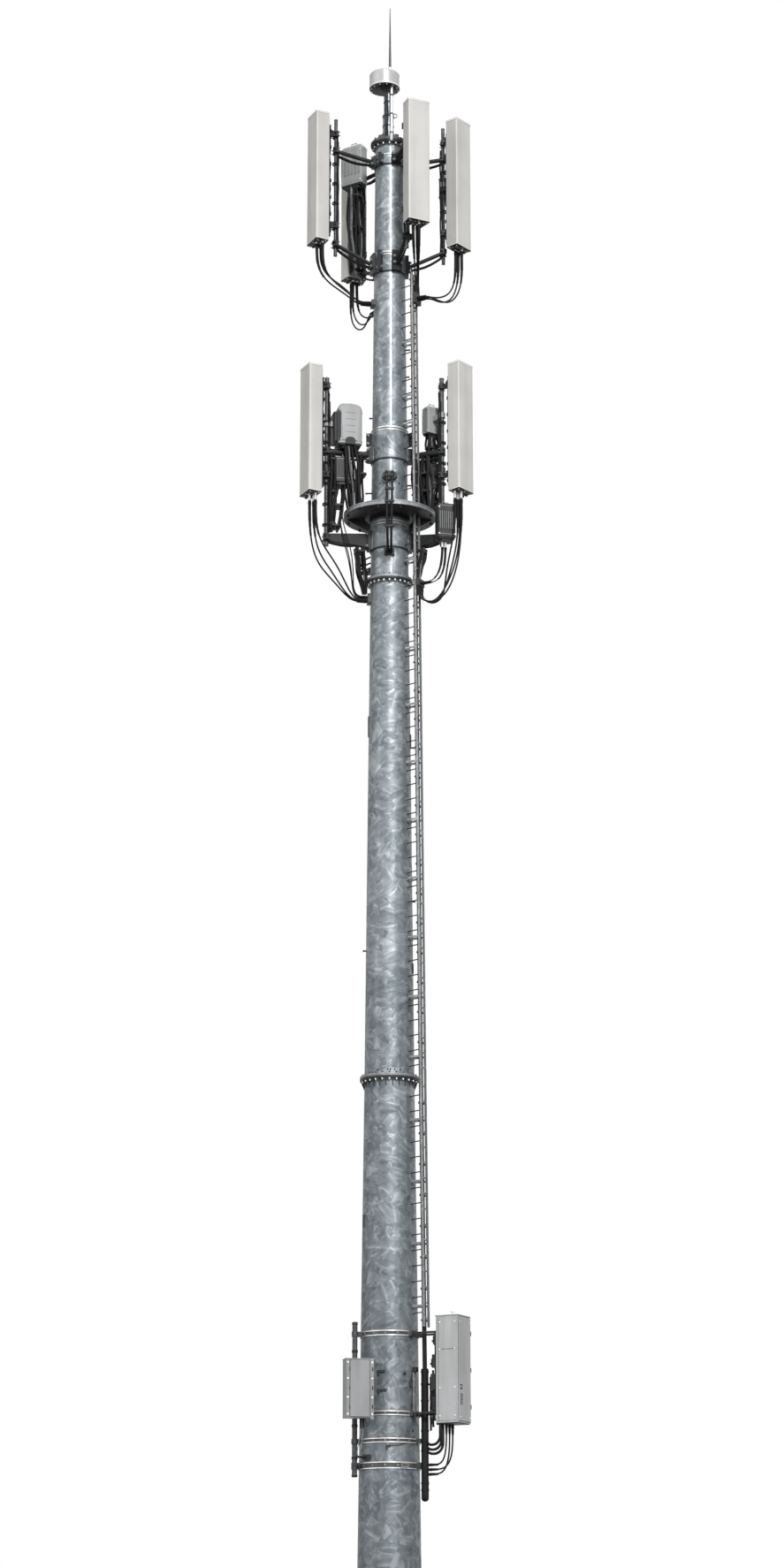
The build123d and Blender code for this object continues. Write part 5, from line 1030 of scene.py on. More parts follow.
@dataclass
class PoleShell:
    """The pole's sections, their flanges and welds, and what is fixed to their skin."""

    top: float = 27.39
    lip: float = 0.068
    flange: float = 0.036
    bolt_count: int = 24
    seam_angle: float = -86.0
    seam_width: float = 0.036
    anchor_circle: float = 0.655
    pegs: tuple[Point, ...] = (
        (-8.0, 23.65, 0.07), (-6.0, 23.17, 0.05), (176.0, 21.13, 0.1), (-172.0, 20.9, 0.05), (-4.0, 21.25, 0.09),
        (178.0, 22.45, 0.05), (-3.0, 16.75, 0.06), (-5.0, 14.2, 0.05), (183.0, 13.4, 0.05), (-60.0, 6.75, 0.03),
    )
    tall_pads: tuple[Point, ...] = (
        (187.0, 17.1, 0.34), (-9.0, 16.85, 0.22), (200.0, 9.1, 0.2), (-14.0, 13.1, 0.16),
    )
    small_pads: tuple[Point, ...] = (
        (-92.0, 5.665, 0.07), (-106.0, 6.78, 0.13), (-104.0, 6.5, 0.15), (-44.0, 6.62, 0.06),
    )
    plugs: tuple[Pair, ...] = (
        (-118.0, 11.435), (-94.0, 11.435), (-88.0, 11.435), (-78.0, 11.435), (-64.0, 11.435),
        (-122.0, 21.2), (-58.0, 21.2), (-40.0, 5.9),
    )

    def build(self) -> None:
        """Dress the sections and add the welds, bolts, seam and pegs."""
        for node in ("lower_section", "middle_section", "upper_section", "base_flange"):
            dress(node, FINISH.pole)
        dress("cap_plate", FINISH.aged)
        self.welds()
        self.seam()
        self.skin()
        heads, nuts = [], []
        for joint in JOINTS:
            circle = POLE.radius(joint) + self.lip * 0.52
            heads += seats_around(circle, joint + self.flange, self.bolt_count, UP)
            nuts += seats_around(circle, joint - self.flange - 0.003, self.bolt_count, DOWN)
        circle = POLE.radius(self.top) + self.lip * 0.52
        nuts += seats_around(circle, self.top - self.flange - 0.003, 16, DOWN)
        heads += seats_around(circle, self.top + 0.05, 16, UP)
        BOLTS.repeat("flange_heads", heads, {**LARGE, "Head": 0.017, "Washer": 0.022}, FINISH.aged)
        sizes = {**LARGE, "Head": 0.018, "Washer": 0.022, "Stand": 0.012}
        BOLTS.repeat("flange_nuts", nuts, sizes, FINISH.bright)
        anchors = seats_around(self.anchor_circle, 0.06, 16, UP)
        BOLTS.repeat("anchor_nuts", anchors, {**HEAVY, "Washer": 0.045, "Stand": 0.06}, FINISH.zinc)

    def welds(self) -> None:
        """The weld beads beside every flange, its rims, the painted shade of dark rings under it and on its lower
        rim, and the gussets below.
        """
        beads, rims, shade, ribs = blanks(4)
        for joint in (*JOINTS, self.top):
            for side in SIDES:
                height = joint + side * self.flange
                if height > self.top:
                    continue
                radius = POLE.radius(height) - 0.001
                foot = [(radius, height), (radius + 0.014, height), (radius + 0.005, height + side * 0.007)]
                beads.ring([*foot, (radius, height + side * 0.014)])
            rim, low = POLE.radius(joint) + self.lip, joint - self.flange
            skin = POLE.radius(low)
            # Painted shade: a dark ring under each flange and under the cap, and a dark band over the rim below
            # each joint.
            shade.band(skin + 0.012, rim - 0.003, low - 0.003, low + 0.001)
            shade.band(rim - 0.003, rim + 0.002, low + 0.002, joint - 0.004)
            if joint != self.top:
                for base, tall in ((joint, 0.011), (joint + 0.015, 0.021)):
                    rims.band(rim - 0.003, rim + 0.003, base, base + tall)
        joint = JOINTS[0] - self.flange
        for number in range(self.bolt_count):
            side = upright(facing((0.0, 0.0, joint), (number + 0.5) * 360.0 / self.bolt_count))
            skin = POLE.radius(joint) - 0.003
            corners = ((skin, 0.0), (skin, -0.12), (skin + 0.012, -0.12), (skin + 0.06, 0.0))
            ribs.prism(side, corners, -0.006, 0.006)
        beads.deliver("flange_welds", FINISH.zinc)
        rims.deliver("flange_rims", FINISH.zinc)
        shade.deliver("flange_painted_shade", FINISH.dark)
        ribs.deliver("flange_gussets", FINISH.aged, Slot.DARK)

    def strip(self, work: Workpiece, angle: float, low: float, high: float, width: float, thick: float) -> None:
        """Add a flat strip that lies on the pole's taper.

        Args:
            work: The mesh to add to.
            angle: Where it lies.
            low: Its foot.
            high: Its head.
            width: Its width.
            thick: How far it stands out.
        """
        across = polar(width / 2, angle + 90)
        rows = []
        for height in (low, high):
            inner, outer = (polar(POLE.radius(height) + reach, angle, height) for reach in (-0.004, thick))
            rows += [inner - across, inner + across, outer + across, outer - across]
        work.tube(rows, 4)

    def seam(self) -> None:
        """The long seam strips of the sections, whose paler zinc is also a painted highlight line down the pole's
        front, and the thin dark joint beside each.
        """
        strips, lines = blanks(2)
        for low, high in ((22.21, 24.985), (25.355, 26.955), (27.155, 27.35), (19.6, 20.085), (20.75, 21.635)):
            self.strip(strips, self.seam_angle, low, high, self.seam_width, 0.004)
            self.strip(lines, self.seam_angle + 7.0, low, high, 0.006, 0.0015)
        for low, high, angle in ((11.375, 19.52, 92.0), (0.07, 11.295, 88.0)):
            self.strip(strips, angle, low, high, 0.016, 0.003)
        strips.deliver("seam_strips", FINISH.strip)
        lines.deliver("seam_joints", FINISH.shade)

    def skin(self) -> None:
        """Step pegs and small welded pads on the pole's skin."""
        pegs, pads = blanks(2)
        for angle, height, reach in self.pegs:
            skin = POLE.radius(height)
            pegs.rod(polar(skin - 0.005, angle, height), polar(skin + reach, angle, height), 0.013)
            pegs.rod(polar(skin + reach - 0.012, angle, height), polar(skin + reach, angle, height), 0.02)
        for angle, height, tall in self.tall_pads:
            pads.block(POLE.stand(angle, height), (0.0, 0.004, 0.0), (0.06, 0.02, tall))
        for angle, height, wide in self.small_pads:
            stand = POLE.stand(angle, height)
            pads.block(stand, (0.0, 0.012, 0.0), (wide, 0.036, 0.03), 0.012)
            pads.block(stand, (wide * 0.3, 0.02, -0.03), (0.026, 0.04, 0.05), 0.006)
        angle, height, _ = self.small_pads[0]
        reach = POLE.radius(height) + 0.006
        pads.bent([polar(reach, angle + 4.0 * step, height + 0.0006 * step**2) for step in range(13)], 0.007, 8)
        pegs.deliver("step_pegs", FINISH.dark)
        pads.deliver("skin_pads", FINISH.shade)
        plugs: list[Seat] = []
        for angle, height in self.plugs:
            plugs += seats_on(POLE.stand(angle, height), [(0.0, 0.0, 0.0)], (0, 1, 0))
        BOLTS.repeat("skin_plugs", plugs, SMALL, FINISH.dark)


def upright(stand: Matrix) -> Matrix:
    """The radial plane of an upright frame whose y looks outward, with x outward and y up."""
    return stand @ Matrix(((0, 0, 1, 0), (1, 0, 0, 0), (0, 1, 0, 0), (0, 0, 0, 1)))


def dress(node: str, finish: Finish) -> None:
    """Give a solid a finish.

    Args:
        node: The solid's name.
        finish: The finish.
    """
    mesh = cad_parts[node].data
    mesh.materials.clear()
    mesh.materials.append(finish.material)
    LOG.info("%s: %s", node, finish.material.name)


@dataclass
class TopGear:
    """What stands on the cap plate: the mast with its gussets, the drum, the rod and their cables."""

    mast_x: float = -0.024
    mast_radius: float = 0.092
    neck_radius: float = 0.074
    cap_top: float = 27.44
    plate_top: float = 27.466
    step: float = 27.96
    drum_x: float = -0.086
    drum_radius: float = 0.256
    drum_foot: float = 28.47
    drum_head: float = 28.755
    rod_x: float = 0.006
    conduit: Pair = (0.034, -0.1163)

    def build(self) -> None:
        """Dress the solids and add the fittings."""
        dress("top_mast", FINISH.pole)
        dress("top_drum", FINISH.drum)
        dress("lightning_rod", FINISH.aged)
        dress("top_conduit", FINISH.bright)
        self.drum()
        self.mast()
        self.cap()

    def drum(self) -> None:
        """The drum's rims, the painted shade of dark discs under it and round the mast, its glands and the rod's
        socket.
        """
        here = at(self.drum_x, 0.0)
        rims, under, socket = blanks(3)
        r, foot = self.drum_radius, self.drum_foot
        section = [(r - 0.004, foot), (r + 0.004, foot), (r + 0.004, foot + 0.03), (r - 0.004, foot + 0.034)]
        rims.ring(section, 72, here)
        rims.band(r - 0.004, r + 0.002, 28.694, 28.702, 72, here)
        # Painted shade: dark discs under the drum's rim and middle, and a dark cone round the mast below it; the
        # four glands after them are real.
        under.turned(here, ((r - 0.012, foot + 0.002), (r - 0.012, foot - 0.004), (r - 0.02, foot - 0.006)), 64)
        under.turned(here, ((0.15, foot), (0.15, foot - 0.016), (0.13, foot - 0.02)), 40)
        mast = at(self.mast_x, 0.0)
        under.turned(mast, ((0.125, foot), (0.125, foot - 0.03), (0.1, foot - 0.05)), 32)
        for x, y in ((-0.075, -0.115), (-0.035, -0.125), (0.0, -0.11), (-0.15, -0.1)):
            under.turned(at(x, y), ((0.017, foot), (0.017, foot - 0.05), (0.012, foot - 0.09)), 14)
        head = self.drum_head
        profile = ((0.06, head - 0.002), (0.06, head + 0.013), (0.036, head + 0.017), (0.034, head + 0.105))
        socket.turned(at(self.rod_x, 0.0), (*profile, (0.028, head + 0.125), (0.02, head + 0.129)), 24)
        rims.deliver("drum_rims", FINISH.edge)
        under.deliver("drum_underside", FINISH.shade)
        socket.deliver("rod_socket", FINISH.bright)
        screws = seats_around(r - 0.03, foot - 0.005, 12, DOWN, 10.0, self.drum_x)
        screws += seats_around(0.047, 28.768, 4, UP, 45.0, self.rod_x)
        BOLTS.repeat("drum_screws", screws, SMALL, FINISH.bright)

    def mast(self) -> None:
        """The mast's gussets, its step ring, the cables down its front and their straps."""
        steel, leads = blanks(2)
        for number in range(8):
            angle = 22.5 + 45.0 * number
            stand = facing((self.mast_x, 0.0, self.plate_top), angle)
            skin = self.mast_radius
            corners = ((skin - 0.004, 0.0), (0.158, 0.0), (0.158, 0.02), (skin + 0.012, 0.16), (skin - 0.004, 0.16))
            steel.prism(upright(stand), corners, -0.006, 0.006)
        here = at(self.mast_x, 0.0)
        steel.turned(here, ((0.1, 27.93), (0.1, 27.965), (0.078, 27.985)), 32)
        for height in (27.75, 28.2, 28.4):
            wide = self.mast_radius if height < self.step else self.neck_radius
            steel.band(wide - 0.002, wide + 0.006, height, height + 0.025, 36, here)
        for x, sway in ((-0.075, 0.006), (-0.035, -0.005)):
            points = [(x, -0.115, 28.43), (x + sway, -0.118, 28.25), (x + 0.008, -0.116, 27.95),
                      (x + sway, -0.113, 27.7), (x + 0.004, -0.125, 27.55), (x, -0.15, 27.46)]
            leads.bent(points, 0.0125)
        eye = at(0.09, -0.02, 27.96) @ Matrix.Rotation(radians(90), 4, "X")
        steel.band(0.03, 0.042, -0.006, 0.006, 20, eye)
        steel.deliver("mast_fittings", FINISH.aged)
        leads.deliver("mast_leads", FINISH.rubber)
        saddles = [Seat((*self.conduit, height), UP) for height in (27.6, 27.95, 28.3)]
        sizes = {"Radius": 0.026, "Thick": 0.006, "Tall": 0.03}
        HOOPS.repeat("conduit_straps", saddles, sizes, FINISH.aged, Slot.DARK)

    def cap(self) -> None:
        """The cap's lifting lugs and the pale terminal at its front."""
        lugs, terminal = blanks(2)
        for angle in (-128.0, -62.0, -20.0, 40.0, 120.0, 200.0):
            stand = facing(polar(0.262, angle, self.cap_top), angle)
            lugs.block(stand, (0.0, 0.0, 0.035), (0.07, 0.014, 0.07), 0.004)
            lugs.block(stand, (0.0, -0.02, 0.006), (0.09, 0.05, 0.012), 0.004)
        front = at(0.03, -0.318)
        profile = ((0.006, 27.345), (0.019, 27.352), (0.024, 27.37), (0.024, 27.47), (0.018, 27.478))
        terminal.turned(front, profile)
        lugs.deliver("cap_lugs", FINISH.aged)
        terminal.deliver("rod_terminal", FINISH.edge, Slot.BRIGHT)


@dataclass(frozen=True)
class Sector:
    """One antenna's place: its pipe, the way it faces, how far it stands off, and its length."""

    name: str
    pipe: Pair
    angle: float
    standoff: float
    length: float
    arm_angle: float | None = None

    def root(self) -> float:
        """The angle that the sector's arms leave the pole at."""
        return degrees(atan2(self.pipe[1], self.pipe[0])) if self.arm_angle is None else self.arm_angle

    def foot(self, head: float) -> Matrix:
        """The frame at the foot of the antenna's centre line, whose y looks the way that the antenna faces."""
        return facing(polar(self.standoff, self.angle) + Vector((*self.pipe, head - self.length)), self.angle)


@dataclass
class Tier:
    """One tier of antennas on its collars, arms and pipes."""

    name: str
    sectors: tuple[Sector, ...]
    head: float
    pipe_radius: float
    pipe_foot: float
    pipe_head: float
    collars: tuple[Pair, ...]
    pads: tuple[Pair, ...]
    clamps: tuple[float, ...]
    ears: tuple[float, ...]
    ear_span: tuple[Pair, ...]
    lead_span: Pair
    lead_count: int
    front: float = 0.4
    back: float = 0.352
    depth: float = 0.24

    def build(self) -> None:
        """Dress the solids and add every fitting of the tier."""
        for sector in self.sectors:
            dress(f"{self.name}_antenna_{sector.name}", FINISH.radome)
        for part in ("high_collar", "low_collar"):
            dress(f"{self.name}_tier_{part}", FINISH.sleeve)
        for part in ("high_arms", "low_arms", "brackets"):
            dress(f"{self.name}_tier_{part}", FINISH.dark)
        dress(f"{self.name}_tier_pipes", FINISH.aged)
        self.panels()
        self.panel_backs()
        self.pipework()
        self.leads()
        self.collar_trim()

    def outline(self, grow: float) -> list[Pair]:
        """The antenna's outline in plan, grown all round.

        Args:
            grow: How far.

        Returns:
            The corners, anticlockwise.
        """
        front, back, deep = self.front / 2 + grow, self.back / 2 + grow, self.depth / 2 + grow
        round_off = ((0.0, 0.024), (0.007, 0.007), (0.024, 0.0))
        right = [(front - a, deep - b) for a, b in round_off]
        left = [(-x, y) for x, y in reversed(right)]
        return [(back, -deep), *right, *left, (-back, -deep)]

    def panels(self) -> None:
        """End caps, seams, a dark plate painted as the shade under each antenna, and the connectors of each
        antenna.
        """
        caps, seams, under, bright = blanks(4)
        screws: list[Seat] = []
        for sector in self.sectors:
            foot = sector.foot(self.head)
            tall = sector.length
            # The end caps are real; their paler edge finish also paints the thin highlight along each antenna's
            # lower edge.
            for low, high in ((0.0, 0.014), (tall - 0.034, tall + 0.002)):
                caps.prism(foot, self.outline(0.0025), low, high)
            for side in SIDES:
                inner = (self.front + self.back) / 4 - 0.003
                seams.block(foot, (side * (inner - 0.0115), -0.075, tall / 2), (0.008, 0.007, tall - 0.08), 0.0)
            # Painted shade: a dark plate under the antenna's foot; the black boots below the connectors are real.
            under.prism(foot, self.outline(-0.003), -0.008, 0.001)
            for x in (-0.108, -0.036, 0.036, 0.108):
                for y in (-0.036, 0.036):
                    stub = foot @ at(x, y)
                    profile = ((0.024, -0.001), (0.024, -0.014), (0.0205, -0.016), (0.0205, -0.02))
                    bright.turned(stub, profile, 12)
                    under.turned(stub, ((0.0225, -0.02), (0.0225, -0.05), (0.019, -0.056)), 12)
            screws += seats_on(foot, [(x, y, -0.008) for x in (-0.16, 0.16) for y in (-0.07, 0.08)], DOWN)
            screws += seats_on(foot, [(0.0, 0.085, -0.008)], DOWN)
        name = self.name
        caps.deliver(f"{name}_antenna_caps", FINISH.edge)
        seams.deliver(f"{name}_antenna_seams", FINISH.shade)
        under.deliver(f"{name}_antenna_undersides", FINISH.dark)
        bright.deliver(f"{name}_antenna_connectors", FINISH.bright)
        BOLTS.repeat(f"{name}_antenna_screws", screws, SMALL, FINISH.bright)

    def panel_backs(self) -> None:
        """The rails, lugs and tilt arms at the back of each antenna."""
        rails, tilt = blanks(2)
        bolts: list[Seat] = []
        for sector in self.sectors:
            foot = sector.foot(self.head)
            behind = -self.depth / 2
            for x in (-0.13, 0.13):
                size = (0.04, 0.018, sector.length - 0.12)
                rails.block(foot, (x, behind - 0.008, sector.length / 2), size, 0.004)
            for height in (0.33, sector.length - 0.33):
                rails.block(foot, (0.0, behind - 0.014, height + 0.03), (0.2, 0.028, 0.12), 0.008)
                for x in (-0.053, 0.053):
                    tilt.block(foot, (x, behind - 0.07, height + 0.03), (0.01, 0.14, 0.1), 0.0)
                bolts += seats_on(foot, [(0.059, behind - y, height + 0.03) for y in (0.05, 0.11)], (1, 0, 0))
                bolts += seats_on(foot, [(-0.059, behind - 0.05, height + 0.03)], (-1, 0, 0))
                spots = [(x, behind - 0.028, height + z) for x in (-0.08, 0.08) for z in (0.0, 0.06)]
                bolts += seats_on(foot, spots, (0, -1, 0))
            if sector.name == "front":
                rails.block(foot, (-0.245, -0.09, 0.49), (0.1, 0.012, 0.09), 0.003)
                rails.block(foot, (-0.2, -0.1, 0.49), (0.02, 0.03, 0.06), 0.003)
        rails.deliver(f"{self.name}_antenna_rails", FINISH.aged)
        tilt.deliver(f"{self.name}_tilt_plates", FINISH.dark)
        BOLTS.repeat(f"{self.name}_tilt_bolts", bolts, {**LARGE, "Head": 0.014, "Washer": 0.018}, FINISH.zinc)

    def pipework(self) -> None:
        """Pipe ends, the clamps' halves, and the studs that draw them together."""
        ends, halves = blanks(2)
        studs: list[Seat] = []
        for sector in self.sectors:
            r, head, foot = self.pipe_radius, at(*sector.pipe, self.pipe_head), at(*sector.pipe, self.pipe_foot)
            ends.turned(head, ((r - 0.006, -0.001), (r + 0.003, 0.0), (r + 0.003, 0.012), (r - 0.006, 0.018)))
            ends.turned(foot, ((r - 0.006, 0.001), (r + 0.002, 0.0), (r + 0.002, -0.01)))
            heights = [*self.clamps, self.head - sector.length + 0.36, self.head - 0.3]
            for height in heights:
                for turn in (sector.root() + 90.0, sector.root() - 90.0):
                    wing = facing((*sector.pipe, height), turn)
                    halves.block(wing, (0.0, r + 0.03, 0.0), (0.05, 0.05, 0.1), 0.006)
                    studs += seats_on(wing, [(0.026, r + 0.035, z) for z in (-0.032, 0.032)], (1, 0, 0))
                    studs += seats_on(wing, [(-0.026, r + 0.035, z) for z in (-0.032, 0.032)], (-1, 0, 0))
        ends.deliver(f"{self.name}_pipe_ends", FINISH.aged)
        halves.deliver(f"{self.name}_clamp_wings", FINISH.dark)
        sizes = {"Head": 0.012, "Height": 0.011, "Washer": 0.016, "Thread": 0.007, "Stand": 0.022}
        BOLTS.repeat(f"{self.name}_clamp_studs", studs, sizes, FINISH.aged, Slot.DARK)

    def leads(self) -> None:
        """The cables strapped along the pipes, the antennas' backs and the arms, with their cleats."""
        leads, cleats = blanks(2)
        straps: list[Seat] = []
        for sector in self.sectors:
            foot = sector.foot(self.head)
            for side in SIDES:
                line = []
                for step in range(15):
                    sway = 0.006 * sin(2.3 * step + side + sector.angle)
                    high = 0.1 + step * (sector.length - 0.3) / 14
                    line.append(foot @ Vector((side * 0.115 + sway, -self.depth / 2 - 0.036 + sway, high)))
                leads.bent(line, 0.016, 8)
                for step in range(7):
                    high = 0.2 + step * (sector.length - 0.5) / 6
                    cleats.block(foot, (side * 0.115, -self.depth / 2 - 0.03, high), (0.06, 0.06, 0.05), 0.012)
            turn, reach = radians(sector.root()), self.pipe_radius + 0.015
            for number in range(self.lead_count):
                way = turn + radians(-70 + 140 * number / max(self.lead_count - 1, 1)) + pi
                low, high = self.lead_span
                high -= 0.17 * (number % 3)
                line = []
                for step in range(13):
                    sway = reach + 0.005 * sin(1.9 * step + number)
                    line.append((sector.pipe[0] + sway * cos(way), sector.pipe[1] + sway * sin(way),
                                 low + (high - low) * step / 12))
                leads.bent(line, 0.014, 8)
            straps += [Seat((*sector.pipe, self.lead_span[0] + 0.12 + 0.36 * step), UP)
                       for step in range(int((self.lead_span[1] - self.lead_span[0]) / 0.36))]
            for (height, _), (low, _), clamp in zip(self.pads, self.collars, self.clamps):
                near = polar(POLE.radius(low) + 0.1, sector.root(), height - 0.06)
                for side in (-0.02, 0.02):
                    aside = polar(side, sector.root() + 90)
                    far = Vector((*sector.pipe, clamp - 0.07))
                    line = [near + aside + (far - near) * share + Vector((0, 0, -0.05 * sin(pi * share)))
                            for share in (0.0, 0.2, 0.4, 0.6, 0.8, 0.97)]
                    leads.bent(line, 0.015, 8)
        leads.deliver(f"{self.name}_strapped_leads", FINISH.rubber)
        cleats.deliver(f"{self.name}_lead_cleats", FINISH.boot)
        sizes = {"Radius": self.pipe_radius + 0.026, "Thick": 0.006, "Tall": 0.03}
        HOOPS.repeat(f"{self.name}_lead_straps", straps, sizes, FINISH.boot)

    def collar_trim(self) -> None:
        """The collars' bright edges, the bolts of their pads and the nuts of their ears."""
        edges, darks = blanks(2)
        bolts: list[Seat] = []
        for low, high in self.collars:
            for height, tall in ((high - 0.018, 0.018), (high - 0.062, 0.012)):
                skin = POLE.radius(height)
                edges.ring([(skin + 0.01, height), (skin + 0.021, height), (skin + 0.021, height + tall),
                            (skin + 0.002, height + tall)])
            skin = POLE.radius(low)
            darks.band(skin + 0.001, skin + 0.0185, low - 0.008, low + 0.014)
        for (height, span), (foot, _) in zip(self.pads, self.collars):
            reach = POLE.radius(foot) + 0.016 + 0.044 + 0.022
            for sector in self.sectors:
                stand = facing(polar(reach, sector.root(), height), sector.root())
                spots = [(x, 0.0, z * span) for x in (-0.066, 0.066) for z in (-0.38, 0.38)]
                bolts += seats_on(stand, spots, (0, 1, 0))
        for middle, tall in self.ear_span:
            reach = POLE.radius(middle) + 0.07
            for angle in self.ears:
                for side in SIDES:
                    stand = facing(polar(reach, angle, middle), angle)
                    spots = [(side * 0.031, 0.0, z * tall) for z in (-0.33, 0.33)]
                    bolts += seats_on(stand, spots, (side, 0, 0))
        edges.deliver(f"{self.name}_collar_edges", FINISH.bright)
        darks.deliver(f"{self.name}_collar_feet", FINISH.shade)
        BOLTS.repeat(f"{self.name}_collar_bolts", bolts, LARGE, FINISH.zinc)


@dataclass(frozen=True)
class Unit:
    """A radio or filter beside a pipe."""

    name: str
    pipe: Pair
    angle: float
    near: float
    depth: float
    width: float
    foot: float
    tall: float
    crown: float
    fins: int = 0
    louvres: int = 0
    dark: bool = False

    def base(self) -> Matrix:
        """The frame at the foot of the unit's near face, whose y looks away from its pipe."""
        return facing(polar(self.near, self.angle) + Vector((*self.pipe, self.foot)), self.angle)


@dataclass(frozen=True)
class Harness:
    """Stiff conduits side by side in two rows, from a unit or an arm down to what is under it."""

    top: Point
    foot: Point
    angle: float
    rows: Pair = (-0.06, 0.05)
    gather: float = 1.0
    cleats: tuple[float, ...] = (0.06, 0.5, 0.93)
    count: int = 8

    def build(self, dark: Workpiece, pale: Workpiece, cleats: Workpiece) -> None:
        """Add the conduits and their cleats.

        Args:
            dark: The mesh of the dark conduits.
            pale: The mesh of the pale ones.
            cleats: The mesh of the cleats.
        """
        head, base = facing(self.top, self.angle), facing(self.foot, self.angle)
        for number in range(self.count):
            spot = Vector((-0.075 + 0.05 * (number % 4), self.rows[number // 4], 0.0))
            top, low = head @ spot, base @ (spot * self.gather)
            bulge = head.to_3x3() @ spot * min(0.6, 0.4 * (self.top[2] - self.foot[2]))
            line = []
            for share in (0.0, 0.12, 0.25, 0.38, 0.5, 0.62, 0.75, 0.88, 1.0):
                sway = Vector((0.012 * sin(9.0 * share + 2.0 * number), -0.02 * sin(7.0 * share + number), 0.0))
                line.append(top.lerp(low, share) + (bulge + sway) * sin(pi * share))
            (pale if number in (1, 6) else dark).bent(line, 0.019 if number % 3 else 0.026, 10)
        for share in self.cleats:
            size = 1.0 + (self.gather - 1.0) * share
            place = facing(Vector(self.top).lerp(Vector(self.foot), share), self.angle)
            across = self.rows[1] - self.rows[0] + 0.07
            cleats.block(place, (0.0, sum(self.rows) / 2 * size, 0.0), (0.24 * size, across * size, 0.03), 0.03)


@dataclass
class Radios:
    """All the radios and filters, with their fins, louvres, covers, handles and glands."""

    units: tuple[Unit, ...]
    harnesses: tuple[Harness, ...]

    def shell(self, unit: Unit, shells: Workpiece, hoods: Workpiece) -> None:
        """Add the arched covers of a domed radio, with the dark hood at the foot of each.

        Args:
            unit: The radio.
            shells: The mesh of the covers.
            hoods: The mesh of the hoods.
        """
        for side in SIDES:
            turn = Matrix(((0, 0, side, 0), (side, 0, 0, 0), (0, 1, 0, 0), (0, 0, 0, 1)))
            face = unit.base() @ at(side * unit.width / 2, unit.depth / 2) @ turn
            half, top = unit.depth * 0.38, unit.tall - 0.05
            rise = half * 0.8
            arch = [(half * cos(radians(a)), top - rise + rise * sin(radians(a))) for a in range(0, 181, 18)]
            shells.prism(face, [(half * 0.8, 0.05), *arch, (-half * 0.8, 0.05)], 0.0, 0.012)
            mouth = half * 0.55
            arch = [(mouth * cos(radians(a)), 0.05 + mouth * 0.7 * sin(radians(a))) for a in range(0, 181, 30)]
            hoods.prism(face, [(mouth, -0.02), *arch, (-mouth, -0.02)], 0.0, 0.02)
            hoods.block(face, (-half - 0.012, unit.tall * 0.42, 0.003), (0.016, unit.tall * 0.6, 0.012), 0.004)
        wide, tall = unit.width, unit.tall
        hoods.block(unit.base(), (0.0, -0.035, tall * 0.4), (wide * 0.8, 0.07, tall * 0.68), 0.02)
        hoods.block(unit.base(), (0.0, 0.02, tall * 0.4), (wide + 0.008, 0.03, tall * 0.72), 0.01)

    def build(self) -> None:
        """Dress the units and add their details."""
        fins, louvres, screws = [], [], []
        covers, trims, glands, shells, hoods = blanks(5)
        for unit in self.units:
            dress(unit.name, FINISH.shade if unit.dark else FINISH.alloy)
            base = unit.base()
            wide, deep, body = unit.width, unit.depth, unit.tall - unit.crown
            half, mid = wide / 2, deep / 2
            turn = radians(unit.angle - 90)
            for number in range(unit.fins):
                x = -half + 0.03 + number * (wide - 0.06) / max(unit.fins - 1, 1)
                fins += seats_on(base, [(x, deep + 0.012, body / 2)], UP, turn)
            for number in range(unit.louvres):
                z = 0.08 + number * (body - 0.14) / max(unit.louvres - 1, 1)
                louvres += seats_on(base, [(side * (half + 0.012), mid, z) for side in SIDES], UP, turn)
            if unit.louvres:
                self.shell(unit, shells, hoods)
            covers.block(base, (0.0, mid, -0.012), (wide - 0.03, deep - 0.03, 0.03), 0.012)
            covers.block(base, (0.0, mid, -0.045), (wide * 0.72, deep * 0.72, 0.04), 0.03)
            for z in (0.05, body - 0.02):
                trims.block(base, (0.0, mid, z), (wide + 0.004, deep + 0.004, 0.008), 0.03)
            if unit.crown < 0.1:
                grip = [(x, mid, unit.tall + z)
                        for x, z in ((-0.05, -0.004), (-0.05, 0.045), (0.05, 0.045), (0.05, -0.004))]
                trims.bent([base @ Vector(point) for point in grip], 0.008)
            for x in (-0.052, 0.0, 0.052):
                stub = base @ at(x, mid, -0.026)
                glands.turned(stub, ((0.0235, 0.0), (0.0235, -0.012), (0.021, -0.014), (0.021, -0.022)), 12)
            spots = [(x, deep + 0.001, z) for x in (-half + 0.02, half - 0.02) for z in (0.05, body - 0.05)]
            screws += seats_on(base, spots, (0, 1, 0))
            spots = [(-half - 0.001, y, z) for y in (0.03, deep - 0.03) for z in (0.03, body)]
            screws += seats_on(base, spots, (-1, 0, 0))
        SLATS.repeat("radio_fins", fins, {"Across": 0.006, "Deep": 0.03, "Tall": 0.3}, FINISH.alloy)
        sizes = {"Across": 0.005, "Deep": 0.17, "Tall": 0.004}
        SLATS.repeat("radio_louvres", louvres, sizes, FINISH.aged, Slot.DARK)
        shells.deliver("radio_shells", FINISH.lid, Slot.ALLOY)
        hoods.deliver("radio_hoods", FINISH.dark)
        covers.deliver("radio_undersides", FINISH.dark)
        runs, pale, cleats = blanks(3)
        for harness in self.harnesses:
            harness.build(runs, pale, cleats)
        runs.deliver("conduit_runs", FINISH.boot)
        pale.deliver("conduit_runs_pale", FINISH.aged, Slot.CABLE)
        cleats.deliver("conduit_cleats", FINISH.dark)
        trims.deliver("radio_trims", FINISH.alloy)
        glands.deliver("radio_glands", FINISH.bright)
        BOLTS.repeat("radio_screws", screws, SMALL, FINISH.bright)


